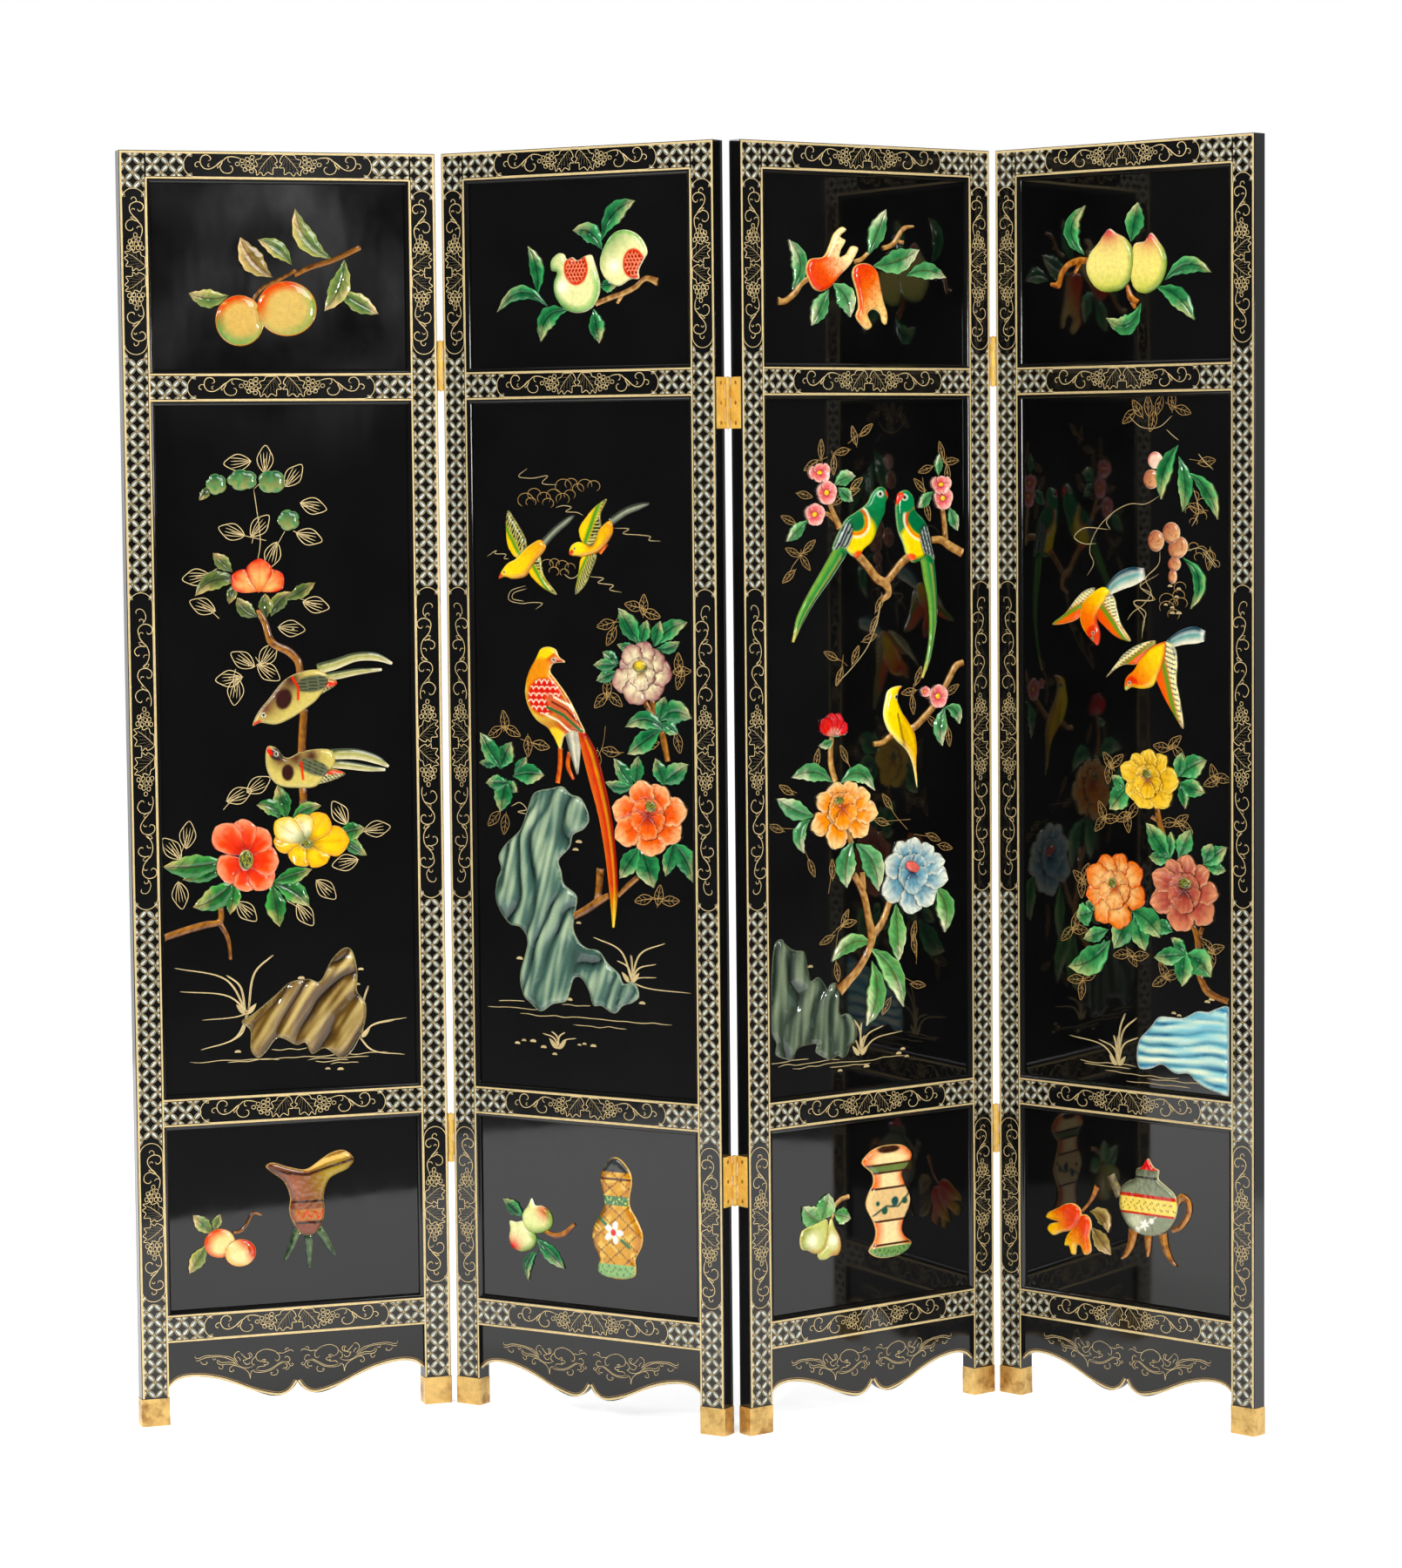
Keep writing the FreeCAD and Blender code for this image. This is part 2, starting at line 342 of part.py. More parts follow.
RELIEF_SHARES.update({
    (3, "top"): (
        ("form", (
            (20.9, 36.2), (23, 39.6), (29.7, 40.9), (32.4, 45), (34.7, 49.4), (38.8, 52), (40.6, 51),
            (37.7, 48.4), (40.2, 47), (37.8, 43.2), (37.2, 40.9), (40.4, 41.9), (43, 44.9), (46.2, 44.4),
            (44.4, 40.7), (42.2, 37.8), (37.2, 33.8), (33, 29.8), (28.8, 28), (25.3, 28.6), (22.8, 31.4))),
        ("form", (
            (43.3, 34.8), (44.7, 37.6), (48, 38.7), (52.2, 38.3), (55.5, 35.7), (56.8, 30.7), (58.4, 24.8),
            (60.2, 20), (59.6, 16), (57.8, 17), (56.8, 20), (53.4, 21.6), (50.6, 19.8), (52.7, 15.4),
            (50.5, 14), (46.6, 16.6), (44.9, 19.2), (46.2, 22.4), (45.5, 27.6))),
        ("leaf", (14.5, 28.3), (12.8, 46.7), 8, -0.25),
        ("leaf", (32, 28.8), (23.6, 15.3), 8, 0),
        ("leaf", (34, 31), (42, 18.6), 9, 0.15),
        ("leaf", (51.2, 41.8), (59.8, 59), 8, 0),
        ("leaf", (53.4, 37.8), (76, 44.3), 9, -0.06),
        ("leaf", (69.7, 34.4), (89.3, 34), 6.6, 0.12),
        ("twig", ((7.8, 24.2, 3), (10.5, 24, 2.4), (15.5, 27, 2.4), (18.8, 30.7, 2.4), (22.4, 32.6, 2))),
        ("twig", ((44, 39, 1.8), (48, 40.3, 1.8), (50.8, 42.4, 1.6))),
        ("twig", ((58, 44.4, 1.8), (63, 46, 2), (66.3, 49.8, 2), (68.8, 52.2, 1.8), (73.4, 53, 0.9))),
        ("twig", ((64.5, 47.4, 1.2), (68.4, 46.9, 1.4))),
    ),
    (3, "low"): (
        ("form", (
            (14.7, 28.2), (15.9, 31.9), (20.1, 33.4), (25.5, 34.8), (27.7, 35.2), (28.4, 32), (28, 27.3),
            (25.5, 23.8), (22.2, 22.6), (18.6, 24.2), (15.8, 25))),
        ("form", (
            (30.1, 35.2), (31.3, 32.3), (33.8, 28.2), (34.6, 24), (33, 21), (30.1, 20.8), (27.2, 19.8),
            (24.2, 20.3), (23.2, 22.2), (27, 26), (28.4, 32))),
        ("leaf", (25.6, 34.4), (16.2, 41.3), 8.5, 0.1),
        ("leaf", (25, 35), (28.6, 44.9), 9, -0.05),
        ("leaf", (31.2, 37), (39.2, 34.2), 6.5, 0),
        ("twig", ((27.6, 35.6, 1.4), (31.3, 39.4, 1.8), (34.7, 41.9, 1.8), (38.6, 42.6, 1.8))),
        ("twig", ((30.3, 35, 1.4), (31.2, 39, 1.6))),
        ("form", (
            (48.2, 20.6), (49.4, 19.2), (53, 17.5), (59.7, 17), (66.3, 18.3), (69.6, 21.3), (66.3, 24.2),
            (64.7, 27.3), (65.5, 30.7), (67.8, 34.8), (69, 38.4), (65.9, 45.3), (64.8, 49), (67.2, 51),
            (69.9, 55.4), (66.3, 59), (59.7, 60.2), (52.2, 59.7), (48, 57.8), (45.1, 54.6), (50.1, 50),
            (50.7, 46.5), (48, 42), (47, 38.2), (50.9, 30.7), (51.8, 27.3), (50.9, 24))),
    ),
    (3, "tall"): (
        ("fruit", (35, 110.6), (2.8, 1.5), 0),
        ("petal", (35, 112), (34.5, 101.2), 12),
        ("petal", (36, 107), (24.2, 112.4), 9),
        ("petal", (36, 107), (32.4, 117.6), 10),
        ("petal", (36, 107), (42.8, 117.2), 10),
        ("petal", (38, 107), (49.8, 112.8), 10),
        ("petal", (38, 107), (53.8, 105), 10),
        ("petal", (38, 107), (48.6, 97.2), 11),
        ("petal", (36, 107), (32.6, 92.2), 11),
        ("petal", (36, 107), (21.6, 100), 10),
        ("fruit", (71, 83.5), (4, 2.1), -22),
        ("petal", (71, 86), (69, 76), 12),
        ("petal", (71, 82), (57, 85.6), 11),
        ("petal", (71, 82), (63.2, 93.2), 9),
        ("petal", (71, 82), (71.6, 94.8), 10),
        ("petal", (71, 82), (81, 91), 10),
        ("petal", (71, 82), (87, 85), 9),
        ("petal", (71, 82), (88.6, 77.6), 11),
        ("petal", (71, 80), (81, 68.6), 12),
        ("petal", (71, 80), (70.4, 65.2), 13),
        ("petal", (71, 80), (56, 73.4), 12),
        ("fruit", (26.8, 233.2), (5.3, 3.2), 15),
        ("fruit", (30.1, 225.8), (4.6, 4.4), 0),
        ("fruit", (24.3, 217.8), (4.6, 4), 0),
        ("fruit", (86.3, 228.2), (5, 3.2), 0),
        ("fruit", (87.3, 223), (4.6, 4.2), 0),
        ("fruit", (84.3, 147.8), (4.6, 4.4), 0),
        ("fruit", (77.8, 149.8), (2.2, 2), 0),
        ("form", (
            (60.1, 224.2), (58.7, 226.8), (56, 227.7), (52.2, 225.3), (50.1, 221.9), (44.7, 218.6),
            (39.7, 216), (37.2, 213), (32.8, 204.4), (38.6, 205.2), (41.3, 202.5), (45.5, 201.4),
            (48, 204.4), (52.2, 207.3), (55.5, 213.2), (58.4, 218.2), (58.9, 221.8))),
        ("form", (
            (64.2, 222.6), (65.6, 225.4), (69.7, 226.2), (72.4, 224), (73.4, 219), (78, 214.8),
            (80.3, 210.6), (81.3, 205.7), (83, 199.6), (79.4, 201.6), (75.5, 199.4), (71.8, 199),
            (68.8, 202.3), (67.6, 205.7), (65.1, 210.7), (64, 216.5))),
        ("form", (
            (66.4, 152.3), (65, 150.8), (64, 147.6), (66, 143), (68.6, 139.9), (72.4, 134.6),
            (73.6, 129), (73.2, 122), (73.8, 113.4), (71.4, 123), (68.6, 127.8), (64.4, 131.2),
            (60.5, 134.7), (58.2, 138.4), (57.2, 142.2), (58.2, 147.2), (59.4, 150.6), (62.2, 152.1))),
        ("twig", ((38, 205.6, 6.5), (30, 195.5, 5.6), (22, 186, 4.4), (17, 178.6, 3.6), (13.6, 170.6, 0.8))),
        ("twig", ((79, 202, 6.5), (80.6, 193, 6.2), (81.8, 185.5, 4.8), (82.2, 177.2, 3.8),
                  (81.2, 168.8, 2.6), (79.6, 162, 2.2), (76.6, 155, 0.8))),
        ("leaf", (21, 215.7), (10.9, 208), 5.5, 0),
        ("leaf", (34, 228.5), (44, 231.8), 6, 0.1),
        ("leaf", (35.6, 227.6), (42.6, 222.4), 5, 0),
        ("leaf", (85.2, 231.5), (85.6, 239.7), 4.2, 0),
        ("leaf", (82.4, 225.6), (74.9, 219.5), 5, 0),
        ("leaf", (90.6, 219.6), (94.4, 210.6), 5, 0),
        ("leaf", (88, 143.6), (86.2, 128.8), 6.5, -0.12),
        ("leaf", (88, 143.4), (94.9, 136.8), 5.5, 0.25),
        ("twig", ((31.4, 222, 2), (33.8, 217.3, 2.4), (36.4, 212.6, 3))),
        ("twig", ((28, 218.3, 1.6), (31, 217.6, 1.8), (34, 215.6, 2))),
        ("twig", ((44.4, 203, 3.4), (49.7, 198.2, 3.4), (54.6, 193.2, 3.6), (59, 191, 3.8), (60, 187.4, 3),
                  (56.2, 184.8, 1.8))),
        ("twig", ((58.8, 191.6, 3.2), (63, 195.6, 3), (67, 199.2, 3.2), (70.6, 201.4, 3.4))),
        ("twig", ((81.4, 207.3, 2.6), (86.3, 207.2, 3), (90.5, 205, 3.4), (97, 202, 3.4))),
        ("twig", ((87, 219.6, 2.2), (88, 214, 2.4), (88.6, 207.4, 2.6))),
        ("twig", ((52, 131, 2), (56.3, 131.3, 2.2), (61.3, 133.8, 2.6), (67.2, 134.7, 2.8), (73, 136.8, 2.8),
                  (78, 140.5, 2.8), (83, 144.6, 2.8))),
        ("twig", ((87, 149.6, 2.6), (90.5, 155, 2.8), (93.8, 159.2, 2.8), (97.2, 160.2, 2.4))),
        ("petal", (32.6, 134.6), (27, 141.4), 7),
        ("petal", (32.6, 134.6), (31.2, 143.6), 7),
        ("petal", (32.6, 134.6), (35, 143.4), 7),
        ("petal", (33.4, 135), (38.6, 139.6), 6),
        ("leaf", (32.4, 133.8), (25.6, 131.6), 3.4, 0.1),
        ("leaf", (31.6, 134.2), (38.2, 135.2), 3.2, 0.2),
        ("twig", ((33.5, 118, 2.6), (31.5, 124, 2.6), (31.3, 130, 2.4), (31.9, 134.6, 2))),
        ("leaf", (32.2, 117.6), (12.4, 120.3), 7, -0.15),
        ("leaf", (35.8, 117), (52.5, 113.5), 7, 0.3),
        ("leaf", (23.4, 105.3), (5, 113), 7.5, 0.05),
        ("leaf", (21.4, 104.6), (18, 91.8), 6, -0.3),
        ("leaf", (41.5, 95), (38.4, 77.6), 9.5, -0.1),
        ("leaf", (43, 94), (53.9, 75.2), 10, 0.15),
        ("twig", ((38.8, 101.6, 2.4), (40, 97.4, 2.6), (41, 94, 2.6))),
        ("twig", ((42, 82.4, 3), (44.7, 78.8, 3), (47.2, 73.6, 3), (49, 66.3, 3.2), (50.8, 58, 4),
                  (49.2, 53.2, 3.2), (44, 46.4, 3.4), (39.7, 42.8, 3.6), (34.6, 38.8, 4.6))),
        ("twig", ((46.4, 83, 2.6), (46.8, 76.4, 2.8))),
        ("twig", ((51.4, 58.4, 3.4), (56.4, 64, 3), (60, 71.4, 3))),
        ("leaf", (51.7, 55.4), (31, 50.2), 7, -0.18),
        ("leaf", (50, 54), (66, 30.2), 9.5, 0.12),
        ("leaf", (50.8, 49), (47.8, 24.6), 9.5, 0.15),
        ("leaf", (62.8, 70), (63.8, 47.6), 8.5, 0),
        ("leaf", (82.5, 75.5), (87, 57.2), 9.5, 0.15),
        ("form", (
            (1.9, 26), (1.9, 42), (2.6, 53), (4.3, 59.3), (6.8, 60.5), (9, 58.4), (13, 55.9),
            (17.6, 55), (19, 51.3), (20.9, 43.8), (24.3, 44.9), (27.2, 42.6), (28.9, 39.6), (30.4, 41.6),
            (33, 42), (34.6, 37), (34.9, 30), (38.6, 30), (41.8, 27.2), (43.3, 22.6), (42, 18.8),
            (39.7, 17.8), (38.2, 14.6), (35.9, 13.4), (33.6, 14.5), (30.5, 13.2), (26.3, 14.7),
            (23, 17), (23.6, 19.6), (18.8, 19.7), (14.3, 18.8), (11.4, 14.8), (8.6, 15.4),
            (3.8, 17.6), (4.2, 21.8))),
    ),
    (4, "top"): (
        ("form", (
            (43.3, 50.7), (46.3, 49), (50.5, 47), (53.8, 43.2), (54.7, 38.2), (53.4, 32.3), (49.7, 28.4),
            (44.7, 27.2), (38.8, 27.8), (34.3, 31.5), (32.3, 36.5), (33.8, 41.5), (38, 45.7), (40.9, 49))),
        ("form", (
            (62.6, 48.4), (65.9, 45.3), (68.8, 41.5), (69.9, 37.3), (68.8, 32.3), (65.5, 28.2),
            (60.1, 26.1), (55.5, 27.5), (53.4, 31.5), (54, 38), (54.9, 44.6), (59.7, 45.5))),
        ("leaf", (31.5, 41.3), (32, 59.8), 7.5, 0.35),
        ("leaf", (53.4, 45.5), (56.8, 59.8), 8.5, 0),
        ("leaf", (69, 30.7), (90.3, 32.8), 6.5, 0.2),
        ("leaf", (65, 28.4), (82.5, 15.8), 7.5, 0.12),
        ("leaf", (58, 22.6), (41.8, 17.6), 7.5, 0.33),
        ("twig", ((15.4, 31, 1.4), (18.8, 30.6, 3), (20.6, 34.8, 2.6), (23.8, 38, 2.4), (28.8, 39.4, 2.6),
                  (33, 39.2, 2.6))),
        ("twig", ((29.7, 39.2, 2), (26.8, 34.9, 1.4))),
        ("twig", ((51.4, 29.4, 1.6), (53.2, 25, 2.8), (56.6, 22.9, 2.2))),
        ("twig", ((53.6, 23.4, 2), (55.4, 20.7, 1.4))),
    ),
    (4, "low"): (
        ("form", (
            (25.1, 35.7), (28, 34.2), (28.8, 32), (27.2, 28.2), (23.8, 25.3), (19.3, 24), (14.7, 22.4),
            (12.2, 24.7), (13.4, 26.6), (17.4, 27.8), (11.6, 28.9), (12.2, 30.6), (17.2, 33.2),
            (21.3, 35.3))),
        ("form", (
            (29.3, 32), (32.2, 31.5), (33.6, 28.6), (32.6, 24), (33.5, 18.6), (32.2, 17), (30, 16.6),
            (28.4, 19.6), (26.6, 19.9), (25.7, 16.1), (23.9, 16.1), (22.8, 19), (20.6, 19.1),
            (21.8, 23.2), (25, 26.6))),
        ("leaf", (32.8, 33.5), (41.8, 26.5), 7, 0.25),
        ("leaf", (33.5, 27.6), (43, 18), 7, 0),
        ("twig", ((29.2, 33.4, 1.1), (33, 37.3, 1.3), (35.1, 40.7, 2), (36.5, 43.6, 2.8))),
        ("form", (
            (48, 44.8), (51.3, 47.3), (54.4, 48.8), (55, 52.2), (57.6, 53.4), (60.5, 56.8), (63.2, 53.8),
            (65.7, 52.7), (65.5, 49.6), (68.8, 47.3), (73, 44.4), (74.4, 40.7), (73.4, 35.7), (70.5, 31.5),
            (66.3, 28.6), (59.7, 27.3), (54.7, 28.2), (50.5, 30.7), (47.2, 36.5), (47, 40.4))),
        ("twig", ((43, 48.6, 4), (45, 45, 4), (47.4, 41.2, 4.6))),
        ("twig", ((74, 41.2, 2.8), (76.4, 43.7, 3), (79, 42.6, 2.8), (79.8, 39.4, 2.6), (78.2, 35.4, 2.4),
                  (75, 32, 2.2), (71.8, 30.6, 1.8))),
        ("twig", ((53.6, 29, 4.4), (52.5, 23.5, 3.4), (50, 19, 2), (48, 17.3, 0.8))),
        ("twig", ((60.5, 28, 3.6), (60.5, 22.5, 2.6), (60.4, 19.4, 0.8))),
        ("twig", ((67.4, 29, 4), (68.8, 23.4, 3.2), (71.4, 19.2, 2), (73.8, 17.3, 0.8))),
    ),
    (4, "tall"): (
        ("fruit", (60.3, 119.8), (2.2, 1.8), 0),
        ("petal", (61, 120), (63, 111.6), 13),
        ("petal", (61, 117.5), (48.2, 122), 9),
        ("petal", (61, 117.5), (53.8, 127), 8),
        ("petal", (61, 117.5), (61.3, 129.3), 9),
        ("petal", (61, 117.5), (69.2, 127.2), 8),
        ("petal", (61, 117.5), (75.4, 117.8), 11),
        ("petal", (61, 117.5), (71, 108.2), 11),
        ("petal", (61, 117.5), (58, 106.6), 12),
        ("petal", (61, 117.5), (51, 112), 10),
        ("fruit", (44, 77.8), (2, 2), 0),
        ("petal", (44.5, 80), (48, 69), 12),
        ("petal", (45.5, 76.5), (32, 82), 11),
        ("petal", (45.5, 76.5), (39.2, 88.2), 10),
        ("petal", (45.5, 76.5), (48.6, 89.5), 9),
        ("petal", (45.5, 76.5), (58, 84.2), 11),
        ("petal", (45.5, 76.5), (59.7, 71.6), 11),
        ("petal", (45.5, 74), (48.4, 60.4), 12),
        ("petal", (45.5, 74), (37, 62.8), 10),
        ("petal", (45.5, 76.5), (32, 72), 11),
        ("fruit", (78, 79.7), (3.2, 2), 0),
        ("petal", (78, 82), (78, 71.4), 14),
        ("petal", (78, 77), (63, 82.4), 10),
        ("petal", (78, 77), (70, 88), 9),
        ("petal", (78, 77), (79, 90.7), 10),
        ("petal", (78, 77), (88.8, 86), 9),
        ("petal", (78, 77), (93.5, 76.6), 10),
        ("petal", (78, 75), (91, 66.6), 12),
        ("petal", (78, 75), (75, 61.4), 13),
        ("petal", (78, 76), (62.2, 71), 11),
        ("form", (
            (37.2, 167.3), (35.2, 168.4), (31.2, 172.2), (28.9, 177.2), (30.1, 183), (33.8, 186.5),
            (39.7, 189.3), (43, 188), (41, 184), (38, 180), (37, 176.6), (38.4, 171.3))),
        ("form", (
            (36, 188.9), (31.3, 188), (26.3, 184.1), (22, 179.4), (15.4, 174.9), (23, 175.5),
            (28.4, 177.6), (31.6, 183))),
        ("form", (
            (35, 184.8), (41.3, 188), (44.9, 185.5), (46.4, 180.5), (48.2, 175.5), (52.7, 169.3),
            (46.3, 170.5), (41.3, 173.8), (36.5, 178.4))),
        ("form", (
            (50.3, 150.7), (50.5, 155.3), (54.4, 158.6), (57.6, 163), (63.4, 167.8), (69.6, 169),
            (68, 160), (64.9, 155.3), (63, 152.7), (58, 151.5), (53, 151.9))),
        ("form", (
            (64.7, 169.5), (56.3, 168), (49.7, 164.5), (45.4, 160), (41.2, 155.4), (46, 158.8),
            (50, 160.4), (56.3, 161))),
        ("form", (
            (66.4, 168.6), (70, 169.3), (73.5, 166.8), (74.4, 161.3), (74, 154.7), (75.6, 148),
            (77.1, 137.2), (73, 142.2), (68.8, 148), (65.4, 154), (63.6, 160), (64, 165))),
        ("twig", ((41.6, 187.6, 3.4), (48, 191.6, 6.6), (54, 193.6, 7), (59.4, 194.6, 4))),
        ("twig", ((70.4, 168.6, 3.4), (77, 171.2, 5.6), (83, 172.2, 6.4), (87, 171.8, 4))),
        ("leaf", (50, 114), (44, 118.4), 5, 0),
        ("leaf", (52, 115), (43, 105.7), 9.5, 0),
        ("leaf", (74.8, 119), (76.6, 128.4), 5.6, 0),
        ("leaf", (75.6, 119.4), (88, 126), 9, 0.05),
        ("leaf", (75.4, 117), (87.3, 113.8), 7, 0),
        ("leaf", (76, 117.6), (78.4, 107.6), 5, 0),
        ("leaf", (71, 88.4), (60.2, 101.4), 8.5, 0),
        ("leaf", (71, 88.4), (71.6, 98.6), 5, 0),
        ("leaf", (72, 88.6), (61.4, 88.8), 6, 0),
        ("leaf", (75, 88.6), (80.6, 99.9), 7.4, 0),
        ("leaf", (86.6, 88), (90.6, 95.2), 6, 0),
        ("leaf", (86, 87), (97.4, 94.2), 7, 0),
        ("leaf", (87.4, 87), (96.9, 85.4), 5, 0),
        ("leaf", (34.6, 66), (27, 64), 9, 0),
        ("leaf", (36, 67), (31.6, 70), 6, 0),
        ("leaf", (42, 60), (30.2, 55.6), 6, 0),
        ("leaf", (42.8, 56), (23, 44.6), 11, 0.12),
        ("leaf", (40, 56), (38.4, 46.8), 5, 0),
        ("leaf", (53, 67.4), (45, 53), 10, 0),
        ("leaf", (53, 68), (66.6, 58.6), 10, 0.1),
        ("leaf", (54.4, 67), (59.6, 53.2), 9, 0),
        ("leaf", (78.6, 53), (63.8, 51), 7, 0),
        ("leaf", (78.6, 54), (71.8, 58.9), 5, 0),
        ("leaf", (78, 55), (76.8, 41.1), 9, 0),
        ("leaf", (78, 53), (90, 45.4), 11, 0.12),
        ("leaf", (72.4, 61.2), (63.6, 64.2), 6, 0),
        ("twig", ((64.6, 109, 2.4), (65.9, 103, 2.6), (68.4, 95, 3))),
        ("twig", ((66, 102, 1.4), (62.6, 103.7, 1.6))),
        ("twig", ((98, 36.9, 2.4), (93.8, 37.9, 2.4), (88.4, 40, 3.2), (85.6, 43.8, 3), (83.6, 49, 2.6))),
        ("twig", ((83.8, 52, 2.4), (83.8, 59, 3), (81.4, 65, 2.2))),
        ("twig", ((84, 59, 2.4), (86, 63.8, 2))),
        ("leaf", (75, 242.2), (67.3, 222.2), 7.5, -0.12),
        ("leaf", (75.4, 238), (77.3, 217.6), 6.5, 0.1),
        ("leaf", (80, 232), (93.2, 214.8), 6.5, 0.12),
        ("leaf", (77.3, 200.6), (80.8, 181.7), 6, 0.3),
        ("fruit", (64.4, 236.7), (3.4, 3.2), 0),
        ("fruit", (62.6, 229.7), (3.8, 3.6), 0),
        ("fruit", (71.8, 209.8), (4.1, 4), 0),
        ("fruit", (64.7, 206.8), (3.8, 4), 0),
        ("fruit", (74.9, 204.4), (4.7, 4), 25),
        ("fruit", (73.2, 198.2), (3, 2.6), 0),
        ("fruit", (72.4, 193.6), (2, 2.6), 0),
        ("form", (
            (98.1, 1.8), (93.8, 2.4), (86.3, 4.3), (82.6, 6.3), (79.7, 8.4), (73.4, 8), (67.2, 10.8),
            (61.3, 8.7), (56.4, 8.8), (55.7, 16.3), (57.2, 20), (61.3, 23.8), (65.9, 28.6), (71.3, 29),
            (77.2, 29.2), (83.8, 32.2), (88.8, 32.4), (92.2, 33.8), (98.1, 34.8))),
    ),
})

# The relief height of each kind of piece.
RELIEF_SIZES = {
    "leaf": "leaf_relief",
    "petal": "petal_relief",
    "twig": "twig_relief",
    "fruit": "fruit_relief",
    "form": "rock_relief",
}
# The half width of a leaf and of a petal at even steps from root to tip, as shares of half its width.
LEAF_HALF_SHARES = (0.62, 1.0, 0.7)
PETAL_HALF_SHARES = (0.55, 0.9, 0.95)

doc = FreeCAD.newDocument("FoldingScreen")
sheet = doc.addObject("Spreadsheet::Sheet", "Sizes")
for row, (word, value) in enumerate(SIZES.items(), start=1):
    sheet.set("A%d" % row, word)
    sheet.set("B%d" % row, str(value))
    sheet.setAlias("B%d" % row, word)
doc.recompute()


class Size(float):
    """A number that remembers how it is worked out from the sheet."""

    def __new__(cls, value, text):
        item = float.__new__(cls, value)
        item.text = text
        return item

    def __add__(self, other):
        return Size(float(self) + float(other), "(%s + %s)" % (self.text, text_of(other)))

    def __radd__(self, other):
        return Size(float(other) + float(self), "(%s + %s)" % (text_of(other), self.text))

    def __sub__(self, other):
        return Size(float(self) - float(other), "(%s - %s)" % (self.text, text_of(other)))

    def __rsub__(self, other):
        return Size(float(other) - float(self), "(%s - %s)" % (text_of(other), self.text))

    def __mul__(self, other):
        return Size(float(self) * float(other), "(%s * %s)" % (self.text, text_of(other)))

    def __rmul__(self, other):
        return Size(float(other) * float(self), "(%s * %s)" % (text_of(other), self.text))

    def __truediv__(self, other):
        return Size(float(self) / float(other), "(%s / %s)" % (self.text, text_of(other)))

    def __neg__(self):
        return Size(-float(self), "(0 - %s)" % self.text)


def text_of(number):
    return getattr(number, "text", None) or repr(float(number))


def size(word):
    """The value of a cell of the sheet, with its name kept."""
    return Size(float(sheet.get(word)), "Sizes." + word)


def bind(item, prop, value):
    """Ties a property to the sheet, or sets it where the value is a plain number."""
    if isinstance(value, Size):
        item.setExpression(prop, value.text)
    elif prop.startswith("Placement.Base."):
        base = item.Placement.Base
        setattr(base, prop[-1], float(value))
        item.Placement = FreeCAD.Placement(base, item.Placement.Rotation)
    else:
        setattr(item, prop, float(value))


def smaller(first, second):
    """The smaller of two sizes, tied to both."""
    return Size(min(first, second), "min(%s; %s)" % (text_of(first), text_of(second)))


LEAVES = (1, 2, 3, 4)
NEAR_SHARE = 0.00001
WIDTH = size("leaf_width")
HEIGHT = size("leaf_height")
THICK = size("leaf_thick")
MEMBER = size("member")
BEAD = size("bead_wide")
SETBACK = size("bead_deep")
LIP = SETBACK + size("groove_wide")
OVERRUN = size("overrun")
OPENING = WIDTH - MEMBER * 2
SIGHT = MEMBER + BEAD

# The windows of a leaf, each from the arris of the lower rail to that of the upper one.
LOW_FLOOR = size("leg_clear") + MEMBER
LOW_TOP = LOW_FLOOR + size("low_window")
TALL_FLOOR = LOW_TOP + MEMBER
TALL_TOP = TALL_FLOOR + size("tall_window")
TOP_FLOOR = TALL_TOP + MEMBER
TOP_TOP = HEIGHT - MEMBER
WINDOWS = {
    "low": (LOW_FLOOR, LOW_TOP),
    "tall": (TALL_FLOOR, TALL_TOP),
    "top": (TOP_FLOOR, TOP_TOP),
}

# The hinges: the joint between leaf 2 and leaf 3 folds the other way, with its barrels at the back.
PIN_OUT = size("pin_from_edge")
FRONT_PIN = -size("pin_from_face")
BACK_PIN = THICK + size("pin_from_face")
HINGE_LONG = size("hinge_length")
OUTER_HINGES = ((size("outer_hinge_high"), "next"), (size("outer_hinge_low"), "last"))
MIDDLE_HINGES = ((size("middle_hinge_high"), "last"), (size("middle_hinge_low"), "next"))
# For each joint: the depth of its pins, and for each hinge its foot and the leaf with three knuckles.
JOINTS = {
    1: (FRONT_PIN, OUTER_HINGES),
    2: (BACK_PIN, MIDDLE_HINGES),
    3: (FRONT_PIN, OUTER_HINGES),
}
TURNS = {1: size("turn_one_two"), 2: size("turn_two_three"), 3: size("turn_three_four")}
PLATE = size("plate_thick")
PLATE_FAR = THICK - size("plate_margin")
SCREW_DEPTH = size("screw_length") - PLATE

subparts = []


def finish(item, name, leaf):
    """Names a sub-part and notes the leaf that it stands on."""
    item.Label = name
    subparts.append((item, leaf))
    return item


def new_body(name):
    return doc.addObject("PartDesign::Body", name)


